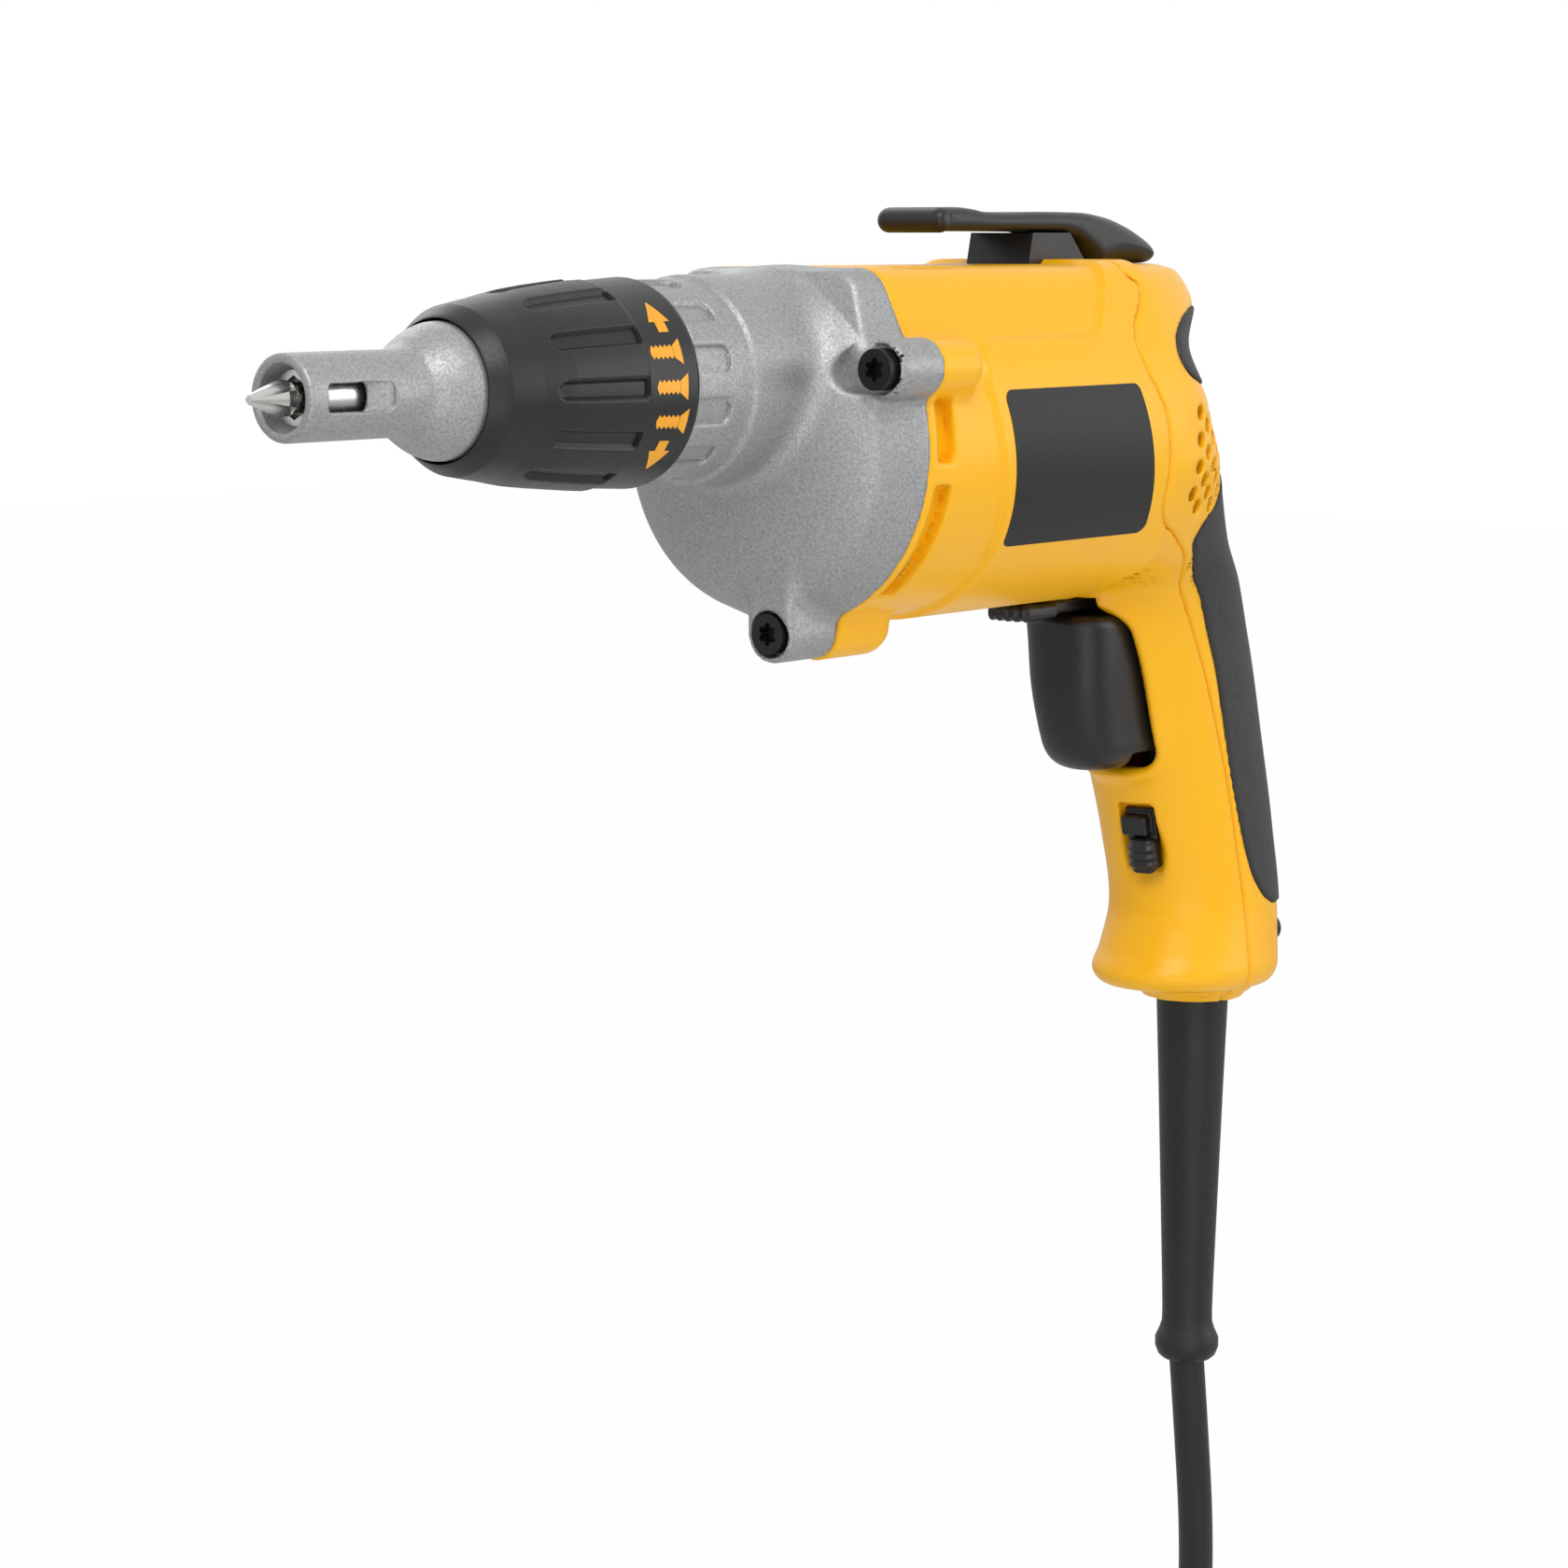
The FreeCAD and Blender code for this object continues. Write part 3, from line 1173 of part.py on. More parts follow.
@lru_cache(maxsize=None)
def column(inset):
    """The back of the barrel and the whole handle, drawn in by an inset."""
    wires = []
    for z, front, rear, half_width in BODY_STATIONS:
        wires.append(plan_section(z, front + inset, rear - inset, half_width - inset))
    body = Part.makeLoft(wires, True)
    if inset > 0:
        body = body.cut(block(BARREL_END - 60, BARREL_END + 60, -60, 60, DECK_Z - inset, DECK_Z + 1))
    return body


def heel_cut(inset):
    """Everything below the sloping underside of the handle."""
    reach = 120.0
    slope = HEEL_DROP / HEEL_LENGTH
    middle_z = HEEL_Z - HEEL_DROP / 2.0 + inset
    return slab(outline(
        (HEEL_MIDDLE_X - reach, middle_z + slope * reach),
        (HEEL_MIDDLE_X + reach, middle_z - slope * reach),
        (HEEL_MIDDLE_X + reach, middle_z - reach),
        (HEEL_MIDDLE_X - reach, middle_z - reach),
    ), 60.0)


def heeled(body):
    """A handle cut off along its underside, with the edge rounded."""
    body = body.cut(heel_cut(0.0))
    rim = [edge for edge in body.Edges if edge.BoundBox.ZMax < HEEL_Z + HEEL_DROP]
    return body.makeFillet(HEEL_EDGE_RADIUS, rim)


def spline_prism(points, corners, half_width=70.0):
    """A prism along y whose x-z outline is a spline closed by straight lines round corners."""
    curve = Part.BSplineCurve()
    curve.interpolate([Vector(x, 0, z) for x, z in points])
    ends = [points[-1]] + list(corners) + [points[0]]
    edges = [curve.toShape()]
    for a, b in zip(ends, ends[1:]):
        edges.append(Part.LineSegment(Vector(a[0], 0, a[1]), Vector(b[0], 0, b[1])).toShape())
    return slab(Part.Face(Part.Wire(edges)), half_width)


@lru_cache(maxsize=None)
def housing_shell():
    """Both halves of the yellow housing in one, hollow, before they are parted."""
    shape = barrel(FLANGE_X, SLEEVE_X + 1, BARREL_R)
    handle = heeled(column(0.0))
    extras = [barrel(SLEEVE_X, BARREL_END, SLEEVE_R), handle]
    side_end = FLANGE_X + SIDE_BOSS_LENGTH
    for y, z in CASE_SCREWS[:2]:
        extras.append(cylinder(CASE_BOSS_R, FLANGE_X, side_end, y, z))
        extras.append(Part.makeSphere(CASE_BOSS_R, Vector(side_end, y, z)))
    foot_y, foot_z = CASE_SCREWS[2]
    foot_end = FLANGE_X + FOOT_LENGTH
    extras.append(cylinder(FOOT_RADIUS, FLANGE_X, foot_end, foot_y, foot_z))
    extras.append(block(
        FLANGE_X, foot_end, foot_y - FOOT_RADIUS, foot_y + FOOT_RADIUS, foot_z, foot_z + FOOT_RADIUS))
    shape = shape.multiFuse(extras)
    bore = barrel(FLANGE_X - 1, BEARING_WALL_START, BARREL_R, HOUSING_WALL)
    hollow = column(HOUSING_WALL).cut(heel_cut(HOUSING_WALL))
    hollow = hollow.cut(block(FLANGE_X, BEARING_WALL_END, -60, 60, -60, 60))
    boss_height = PROTECTOR_COLLAR_Z - SEAT_GAP - PROTECTOR_TOP
    cord_boss = Part.makeCylinder(CORD_BOSS_R, boss_height, Vector(CORD_X, 0, PROTECTOR_TOP))
    protector_hole = Part.makeCylinder(
        PROTECTOR_R + SEAT_GAP, boss_height + 2, Vector(CORD_X, 0, PROTECTOR_TOP - 1))
    return shape.cut([bore, hollow]).fuse(cord_boss).cut(protector_hole)


def parting(shift):
    """The space behind the line where the housing and its rear cover meet."""
    points = [(x + shift, z) for x, z in PARTING_POINTS]
    return spline_prism(points, ((400.0, PARTING_POINTS[-1][1]), (400.0, PARTING_POINTS[0][1])))


def side_vents():
    """The windows beside the flange, on both sides."""
    cuts = []
    for low, high in (UPPER_VENT_ANGLES, LOWER_VENT_ANGLES):
        for a0, a1 in ((low, high), (180.0 - high, 180.0 - low)):
            cuts.append(sector(
                BARREL_R - 2 * HOUSING_WALL, BARREL_R + 2, a0, a1,
                VENT_START, VENT_START + VENT_LENGTH, MOTOR_Z))
    return cuts


def deck_slots():
    """Narrow slots in the deck, in pairs to the left and right."""
    cuts = []
    half = DECK_SLOT_WIDTH / 2.0
    for i in (-2, -1, 1, 2):
        y = DECK_SLOT_SPACING * i
        cuts.append(block(
            DECK_SLOT_X, DECK_SLOT_X + DECK_SLOT_LENGTH, y - half, y + half,
            DECK_Z - 2 * HOUSING_WALL, DECK_Z + 1))
    return cuts


def clip_screw_hole(x):
    """The hole in the deck for one of the clip's screws."""
    bottom = Vector(x, 0, DECK_Z - CLIP_SCREW_LENGTH)
    return Part.makeCylinder(CLIP_SCREW_SHANK_R + SEAT_GAP, CLIP_SCREW_LENGTH + 3, bottom)


def lock_place(shape):
    """Puts a shape drawn with z along the slide's travel and -x outwards on the handle's front."""
    shape = shape.copy()
    shape.rotate(Vector(0, 0, 0), Vector(0, 1, 0), -LOCK_LEAN)
    shape.rotate(Vector(0, 0, 0), Vector(0, 0, 1), LOCK_TURN)
    return shape.translated(Vector(LOCK_X, LOCK_Y, LOCK_Z))


def lock_block(start, end, width, low, high):
    """A block at the lock slide: depth from the handle's face, full width, and reach along the travel."""
    return lock_place(block(start, end, -width / 2, width / 2, low, high))


def motor_housing():
    """The front half: motor barrel, bearing wall, trigger pocket and the front of the handle."""
    shape = housing_shell().cut(parting(0.0))
    adds = []
    for angle in FIELD_RIB_ANGLES:
        adds.append(sector(
            FIELD_R + SEAT_GAP, BARREL_R - 1, angle - 4, angle + 4, FIELD_X, FIELD_END, MOTOR_Z))
    posts = [
        cylinder(COVER_POST_R, COVER_POST_START, COVER_POST_END, side * COVER_SCREW_Y, COVER_SCREW_Z)
        for side in (-1, 1)
    ]
    posts += [
        cylinder(CLAMP_POST_R, COVER_POST_START, CLAMP_X, side * CLAMP_SCREW_Y, CLAMP_Z)
        for side in (-1, 1)
    ]
    rib_x = SWITCH_X + 1.0
    for side in (-1, 1):
        low, high = sorted((side * (SWITCH_HALF_WIDTH + SEAT_GAP), side * (GRIP_HALF_WIDTH - 1.0)))
        posts.append(block(rib_x, rib_x + 2.5, low, high, SWITCH_TOP - SWITCH_HEIGHT, SWITCH_TOP))
    posts.append(lock_block(-0.5, LOCK_PAD, LOCK_WIDTH + 6, -LOCK_LENGTH, LOCK_LENGTH))
    inside = column(HOUSING_WALL / 2.0)
    adds += [post.common(inside) for post in posts]
    shape = shape.multiFuse(adds)
    cuts = side_vents() + deck_slots()
    pocket_end = REAR_BEARING_X + REAR_BEARING_WIDTH + SEAT_GAP
    cuts.append(cylinder(REAR_BEARING_R + 3 * SEAT_GAP, BEARING_WALL_START - 1, pocket_end, 0, MOTOR_Z))
    cuts.append(cylinder(REAR_BEARING_BORE_R + 1, BEARING_WALL_START - 1, BEARING_WALL_END + 1, 0, MOTOR_Z))
    air_hole = cylinder(
        AIR_HOLE_R, BEARING_WALL_START - 1, BEARING_WALL_END + 1, 0, MOTOR_Z + AIR_HOLE_CIRCLE_R)
    cuts += around(air_hole, AIR_HOLES, MOTOR_Z, 180.0 / AIR_HOLES)
    for y, z in CASE_SCREWS:
        hole_end = CASE_SCREW_SEAT + CASE_SCREW_LENGTH + 1
        cuts.append(cylinder(CASE_SCREW_SHANK_R + SEAT_GAP, FLANGE_X - 1, hole_end, y, z))
    pocket_half = TRIGGER_HALF_WIDTH + CLEARANCE + 0.1
    cuts.append(block(
        TRIGGER_FRONT_TOP - 5, SWITCH_X + 0.5, -pocket_half, pocket_half,
        TRIGGER_BOTTOM - 2 * CLEARANCE, TRIGGER_TOP + CLEARANCE))
    cuts.append(block(
        LEVER_PIVOT_X - LEVER_REACH - 4, LEVER_PIVOT_X + LEVER_ARM_HALF + 1,
        -LEVER_SLOT_HALF, LEVER_SLOT_HALF,
        LEVER_TOP - LEVER_THICKNESS - CLEARANCE, LEVER_TOP + CLEARANCE))
    for side in (-1, 1):
        cuts.append(cylinder(
            COVER_SHANK_R + SEAT_GAP, COVER_POST_END - 13, COVER_POST_END + 1,
            side * COVER_SCREW_Y, COVER_SCREW_Z))
        cuts.append(cylinder(
            CLAMP_SHANK_R + SEAT_GAP, CLAMP_X - 11, CLAMP_X + 1, side * CLAMP_SCREW_Y, CLAMP_Z))
    cuts.append(clip_screw_hole(BASE_SCREW_X))
    scoop = Part.makeSphere(LOCK_SCOOP_R, Vector(LOCK_SCOOP_DEPTH - LOCK_SCOOP_R, 0, LOCK_TRAVEL / 2))
    cuts.append(lock_place(scoop))
    half = LOCK_LENGTH / 2 + CLEARANCE
    cuts.append(lock_block(-9, LOCK_FLOOR, LOCK_WIDTH + 2 * CLEARANCE, -half, half + LOCK_TRAVEL))
    stem_half = LOCK_STEM / 2 + CLEARANCE
    cuts.append(lock_block(
        LOCK_FLOOR - 1, LOCK_PAD + 2, LOCK_STEM_WIDTH + 2 * CLEARANCE, -stem_half, stem_half + LOCK_TRAVEL))
    return shape.cut(cuts)


def inlay(zone):
    """A soft layer let into the surface of the handle and standing a little proud of it."""
    layer = column(-GRIP_PROUD).cut(column(GRIP_INLAY))
    return layer.common(zone)


@lru_cache(maxsize=None)
def back_grip():
    """The soft black back of the handle."""
    return inlay(spline_prism(BACK_GRIP_EDGE, ()))


@lru_cache(maxsize=None)
def thumb_pad():
    """The soft band across the back of the barrel, above the web of the hand."""
    return inlay(spline_prism(THUMB_PAD_EDGE, ()))


def rear_vents():
    """Staggered rows of small round holes on both sides of the back."""
    cuts = []
    for column_number, angle in enumerate(REAR_VENT_ANGLES):
        for row in range(REAR_VENT_ROWS):
            z = REAR_VENT_TOP - REAR_VENT_PITCH * (row + 0.5 * (column_number % 2))
            for side in (-1, 1):
                a = math.radians(side * angle)
                way = Vector(math.cos(a), math.sin(a), 0)
                at = Vector(REAR_VENT_X, 0, z) + way * 12.0
                cuts.append(Part.makeCylinder(REAR_VENT_R, 30.0, at, way))
    return cuts


def rear_cover():
    """The back half, from the deck to the cord, with pockets for the soft pieces."""
    shape = housing_shell().common(parting(SEAM_GAP))
    posts = []
    for side in (-1, 1):
        posts.append(cylinder(
            COVER_POST_R + 1.0, COVER_POST_END + SEAT_GAP, COVER_POST_END + COVER_POST_REACH,
            side * COVER_SCREW_Y, COVER_SCREW_Z))
    switch_end = SWITCH_X + SWITCH_LENGTH + SEAT_GAP
    middle = SWITCH_TOP - SWITCH_HEIGHT / 2.0
    posts.append(block(switch_end, switch_end + 25, -6, 6, middle - 1.5, middle + 1.5))
    posts.append(Part.makeCylinder(
        CLIP_SCREW_SHANK_R + 2.5, CLIP_SCREW_LENGTH, Vector(CLIP_SCREW_X, 0, DECK_Z - CLIP_SCREW_LENGTH - 1)))
    inside = column(HOUSING_WALL - 0.4)
    shape = shape.multiFuse([post.common(inside) for post in posts])
    cuts = rear_vents() + [back_grip(), thumb_pad()]
    for side in (-1, 1):
        y = side * COVER_SCREW_Y
        cuts.append(cylinder(
            COVER_SHANK_R + CLEARANCE, COVER_POST_END - 1, COVER_SCREW_SEAT + 1, y, COVER_SCREW_Z))
        cuts.append(cylinder(
            COVER_HEAD_R + CLEARANCE, COVER_SCREW_SEAT, COVER_POST_END + COVER_POST_REACH, y, COVER_SCREW_Z))
    cuts.append(clip_screw_hole(CLIP_SCREW_X))
    return shape.cut(cuts)


def cover_screws():
    """The two screws that hold the rear cover, driven from behind."""
    screw = star_screw(COVER_HEAD_R, COVER_HEAD_HEIGHT, COVER_SHANK_R, COVER_SCREW_LENGTH)
    screw.rotate(Vector(0, 0, 0), Vector(0, 0, 1), 180)
    head = COVER_SCREW_SEAT + SEAT_GAP + COVER_HEAD_HEIGHT
    return mirrored(screw.translated(Vector(head, COVER_SCREW_Y, COVER_SCREW_Z)))


# Trigger, switch, reversing lever and lock slide

def trigger_section(z, front):
    """A level section of the trigger: flat behind, half an oval in front."""
    w = TRIGGER_HALF_WIDTH
    shoulder = front + TRIGGER_NOSE_DEPTH
    oval = Part.Ellipse(Vector(shoulder, w, z), Vector(front, 0, z), Vector(shoulder, 0, z))
    nose = Part.Arc(oval, 0, math.pi).toShape()
    left = nose.Vertexes[0].Point
    right = nose.Vertexes[-1].Point
    back_left = Vector(TRIGGER_BACK, left.y, z)
    back_right = Vector(TRIGGER_BACK, right.y, z)
    return Part.Wire(Part.sortEdges([
        nose,
        Part.LineSegment(right, back_right).toShape(),
        Part.LineSegment(back_right, back_left).toShape(),
        Part.LineSegment(back_left, left).toShape(),
    ])[0])


def trigger():
    """The trigger, with rounded ends, a spring pocket behind and a stem into the switch."""
    body = Part.makeLoft([trigger_section(z, front) for z, front in TRIGGER_FRONTS], True)
    rims = []
    for edge in body.Edges:
        box = edge.BoundBox
        if box.ZLength < 0.01 and box.XMin < TRIGGER_BACK - 1:
            rims.append(edge)
    body = body.makeFillet(TRIGGER_EDGE, rims)
    pocket = ring(
        TRIGGER_SPRING_R + 2 * SPRING_WIRE_R, 0.75 * TRIGGER_STEM,
        TRIGGER_BACK - TRIGGER_POCKET, TRIGGER_BACK + 1, 0, TRIGGER_STEM_Z)
    half = TRIGGER_STEM / 2.0
    stem = block(
        TRIGGER_BACK - TRIGGER_POCKET - 1, SWITCH_X + TRIGGER_STEM_LENGTH, -half, half,
        TRIGGER_STEM_Z - half, TRIGGER_STEM_Z + half)
    return body.cut(pocket).fuse(stem)


def trigger_spring():
    start = TRIGGER_BACK - TRIGGER_POCKET + SEAT_GAP
    return coil(
        TRIGGER_SPRING_R, SPRING_WIRE_R, TRIGGER_SPRING_TURNS, Vector(start, 0, TRIGGER_STEM_Z),
        Vector(1, 0, 0), SWITCH_X - SEAT_GAP - start)


def switch_body():
    """The switch block, with holes for the trigger's stem, the lever's pin and the lead."""
    low = SWITCH_TOP - SWITCH_HEIGHT
    body = block(SWITCH_X, SWITCH_X + SWITCH_LENGTH, -SWITCH_HALF_WIDTH, SWITCH_HALF_WIDTH, low, SWITCH_TOP)
    half = TRIGGER_STEM / 2.0 + CLEARANCE
    stem_hole = block(
        SWITCH_X - 1, SWITCH_X + TRIGGER_STEM_LENGTH + TRIGGER_TRAVEL + 1, -half, half,
        TRIGGER_STEM_Z - half, TRIGGER_STEM_Z + half)
    pin_depth = LEVER_PIN_LENGTH + 0.5
    pin_bottom = Vector(LEVER_PIVOT_X, 0, LEVER_TOP - LEVER_THICKNESS - pin_depth)
    pin_hole = Part.makeCylinder(LEVER_PIN_R + RUNNING_FIT, pin_depth, pin_bottom)
    return body.cut(stem_hole.fuse(pin_hole))


def reversing_lever():
    """The forward and reverse lever: a pin, an arm and a ribbed finger piece under the barrel."""
    low = LEVER_TOP - LEVER_THICKNESS
    front = LEVER_PIVOT_X - LEVER_REACH
    head_end = front + LEVER_HEAD_LENGTH
    arm = block(head_end - 4, LEVER_PIVOT_X, -LEVER_ARM_HALF, LEVER_ARM_HALF, low, LEVER_TOP)
    hub = Part.makeCylinder(LEVER_ARM_HALF, LEVER_THICKNESS, Vector(LEVER_PIVOT_X, 0, low))
    pin_bottom = Vector(LEVER_PIVOT_X, 0, low - LEVER_PIN_LENGTH)
    pin = Part.makeCylinder(LEVER_PIN_R, LEVER_PIN_LENGTH + 1, pin_bottom)
    head = block(front, head_end, -LEVER_HALF_WIDTH, LEVER_HALF_WIDTH, low, LEVER_TOP)
    corners = [edge for edge in head.Edges if edge.BoundBox.ZLength > LEVER_THICKNESS / 2]
    head = head.makeFillet(2.5, corners)
    shape = head.multiFuse([arm, hub, pin])
    pitch = 2.0 * LEVER_HALF_WIDTH / LEVER_RIBS
    cuts = []
    for i in range(LEVER_RIBS - 1):
        y = -LEVER_HALF_WIDTH + pitch * (i + 1)
        cuts.append(block(front - 1, front + 0.8, y - 0.3 * pitch, y + 0.3 * pitch, low - 1, LEVER_TOP + 1))
    return shape.cut(cuts)


def lock_slide():
    """The ribbed slide that keeps the trigger on."""
    half = LOCK_LENGTH / 2.0
    top = LOCK_FLOOR - LOCK_HEIGHT
    plate = block(top, LOCK_FLOOR, -LOCK_WIDTH / 2, LOCK_WIDTH / 2, -half, half)
    edges = [edge for edge in plate.Edges if edge.BoundBox.XLength > LOCK_HEIGHT / 2]
    plate = plate.makeFillet(1.5, edges)
    stem = block(
        LOCK_FLOOR - 1, LOCK_PAD + 1, -LOCK_STEM_WIDTH / 2, LOCK_STEM_WIDTH / 2,
        -LOCK_STEM / 2, LOCK_STEM / 2)
    shape = plate.fuse(stem)
    pitch = LOCK_LENGTH / (LOCK_RIBS + 1)
    cuts = []
    for i in range(LOCK_RIBS):
        z = -half + pitch * (i + 1)
        cuts.append(block(top - 1, top + 0.7, -LOCK_WIDTH, LOCK_WIDTH, z - 0.25 * pitch, z + 0.25 * pitch))
    return lock_place(shape.cut(cuts))


# Belt clip

def belt_clip():
    """The clip on the deck: a screwed foot, a riser and a long arm with a rolled tip."""
    tip_x = CLIP_TIP_X + CLIP_TIP_R
    foot = DECK_Z + SEAT_GAP
    top = CLIP_HEIGHT + CLIP_THICKNESS
    low = [
        Vector(CLIP_REAR_X, 0, foot + CLIP_LIP),
        Vector(CLIP_REAR_X, 0, foot),
        Vector(CLIP_FOOT_X, 0, foot),
        Vector(CLIP_FOOT_X - CLIP_RISER, 0, CLIP_HEIGHT),
        Vector(tip_x, 0, CLIP_HEIGHT),
    ]
    tip_top = Vector(tip_x, 0, CLIP_HEIGHT + 2 * CLIP_TIP_R)
    tip_front = Vector(CLIP_TIP_X, 0, CLIP_HEIGHT + CLIP_TIP_R)
    crown = [
        tip_top,
        Vector(tip_x + 15.0, 0, top - 0.2),
        Vector(CLIP_FOOT_X - 22.0, 0, top),
        Vector(CLIP_FOOT_X, 0, top - 0.9),
        Vector(CLIP_REAR_X - 7.0, 0, 0.5 * (top + foot)),
        low[0],
    ]
    upper = Part.BSplineCurve()
    upper.interpolate(crown, InitialTangent=Vector(1, 0, 0), FinalTangent=Vector(1, 0, -0.6))
    edges = [Part.LineSegment(a, b).toShape() for a, b in zip(low, low[1:])]
    edges.append(Part.Arc(low[-1], tip_front, tip_top).toShape())
    edges.append(upper.toShape())
    body = slab(Part.Face(Part.Wire(edges)), CLIP_HALF_WIDTH)
    long_edges = []
    for edge in body.Edges:
        box = edge.BoundBox
        if box.YLength < 0.01 and box.ZMax > CLIP_HEIGHT + 1.0:
            long_edges.append(edge)
    body = body.makeFillet(CLIP_EDGE, long_edges)
    head = Part.makeCylinder(CLIP_SCREW_HEAD_R + CLEARANCE, 20.0, Vector(CLIP_SCREW_X, 0, CLIP_SCREW_SEAT))
    shank = Part.makeCylinder(CLIP_SCREW_SHANK_R + CLEARANCE, 20.0, Vector(CLIP_SCREW_X, 0, foot - 1))
    return body.cut(head.fuse(shank))


def clip_base():
    """The block under the clip's arm, screwed to the deck."""
    wall = 2.0
    low = DECK_Z + SEAT_GAP
    top = CLIP_HEIGHT - CLEARANCE
    end = CLIP_BASE_X + CLIP_BASE_LENGTH
    half = CLIP_HALF_WIDTH - 0.5
    body = slab(outline(
        (CLIP_BASE_X, low), (end, low), (end - 6.0, top), (CLIP_BASE_X + 1.5, top)), half)
    head = Part.makeCylinder(CLIP_SCREW_HEAD_R + CLEARANCE, 20.0, Vector(BASE_SCREW_X, 0, BASE_SCREW_SEAT))
    shank = Part.makeCylinder(CLIP_SCREW_SHANK_R + CLEARANCE, 20.0, Vector(BASE_SCREW_X, 0, low - 1))
    slot_end = BASE_SCREW_X - CLIP_SCREW_HEAD_R - wall
    slot = block(CLIP_BASE_X + wall, slot_end, -half + wall, half - wall, low - 1, top - wall)
    return body.cut(head.multiFuse([shank, slot]))


def clip_screws():
    """One screw through the clip's foot and one in its base."""
    screws = []
    for x, seat in ((CLIP_SCREW_X, CLIP_SCREW_SEAT), (BASE_SCREW_X, BASE_SCREW_SEAT)):
        screw = star_screw(CLIP_SCREW_HEAD_R, CLIP_SCREW_HEAD_HEIGHT, CLIP_SCREW_SHANK_R, CLIP_SCREW_LENGTH)
        screw.rotate(Vector(0, 0, 0), Vector(0, 1, 0), 90)
        screws.append(screw.translated(Vector(x, 0, seat + SEAT_GAP + CLIP_SCREW_HEAD_HEIGHT)))
    return Part.makeCompound(screws)


# Cord, protector, clamp and plug

def cord_protector():
    """The moulded sleeve that keeps the cord from kinking, held by a collar inside the handle."""
    bulge_start = PROTECTOR_END + PROTECTOR_BULGE_LENGTH
    collar_top = PROTECTOR_COLLAR_Z + PROTECTOR_COLLAR_LENGTH
    face = outline(
        (CORD_R + SEAT_GAP, PROTECTOR_END),
        (PROTECTOR_BULGE_R - 1.6, PROTECTOR_END),
        ((PROTECTOR_BULGE_R, 0.6 * PROTECTOR_END + 0.4 * bulge_start), (PROTECTOR_WAIST_R, bulge_start)),
        (PROTECTOR_R, PROTECTOR_TOP),
        (PROTECTOR_R, PROTECTOR_COLLAR_Z),
        (PROTECTOR_COLLAR_R, PROTECTOR_COLLAR_Z),
        (PROTECTOR_COLLAR_R, collar_top),
        (CORD_R + SEAT_GAP, collar_top),
    )
    return face.revolve(Vector(0, 0, 0), Vector(0, 0, 1), 360).translated(Vector(CORD_X, 0, 0))


def cord_clamp():
    """The bar that grips the lead inside the handle."""
    half = CLAMP_SCREW_Y + 3.0
    body = block(CLAMP_X, CLAMP_X + CLAMP_THICKNESS, -half, half, CLAMP_Z - 3.5, CLAMP_Z + 3.5)
    cuts = [Part.makeCylinder(CORD_R + SEAT_GAP, 20.0, Vector(CORD_X, 0, CLAMP_Z - 10))]
    for side in (-1, 1):
        cuts.append(cylinder(
            CLAMP_SHANK_R + CLEARANCE, CLAMP_X - 1, CLAMP_X + CLAMP_THICKNESS + 1,
            side * CLAMP_SCREW_Y, CLAMP_Z))
    return body.cut(cuts)


def clamp_screws():
    screw = star_screw(CLAMP_HEAD_R, CLAMP_HEAD_HEIGHT, CLAMP_SHANK_R, 12.0)
    screw.rotate(Vector(0, 0, 0), Vector(0, 0, 1), 180)
    head = CLAMP_X + CLAMP_THICKNESS + SEAT_GAP + CLAMP_HEAD_HEIGHT
    return mirrored(screw.translated(Vector(head, CLAMP_SCREW_Y, CLAMP_Z)))


def rounded_route(points, name):
    """Straight runs between points, joined by arcs as large as the runs allow."""
    corners = [Vector(*point) for point in points]
    edges = []
    radii = []
    here = corners[0]
    for before, corner, after in zip(corners, corners[1:], corners[2:]):
        into = (corner - before).normalize()
        out = (after - corner).normalize()
        turn = into.getAngle(out)
        reach = 0.45 * min((corner - before).Length, (after - corner).Length)
        radius = reach / math.tan(turn / 2.0)
        radii.append(radius)
        start = corner - into * reach
        end = corner + out * reach
        edges.append(Part.LineSegment(here, start).toShape())
        edges.append(Part.Arc(start, arc_middle(start, into, end), end).toShape())
        here = end
    edges.append(Part.LineSegment(here, corners[-1]).toShape())
    print(name, "bend radii, mm:", " ".join("%.0f" % radius for radius in radii))
    return edges


def checked_tube(edges, radius, name):
    """A tube along edges, with its volume printed beside section times length."""
    shape = tube(edges, radius)
    length = sum(edge.Length for edge in edges)
    expected = math.pi * radius ** 2 * length
    share = shape.Volume / expected
    print(name, "length, mm: %.0f  volume over section times length: %.5f" % (length, share))
    return shape


def inner_lead():
    """The cord's first stretch, through its protector and the clamp to the switch."""
    points = (
        (CORD_X, 0, PROTECTOR_END),
        (CORD_X, 0, CLAMP_Z),
        (LEAD_SWITCH_X, 0, LEAD_BEND_Z),
        (LEAD_SWITCH_X, 0, SWITCH_TOP - SWITCH_HEIGHT),
    )
    return checked_tube(rounded_route(points, "inner lead"), CORD_R, "inner lead")


def cord():
    return checked_tube(rounded_route(CORD_ROUTE, "cord"), CORD_R, "cord")


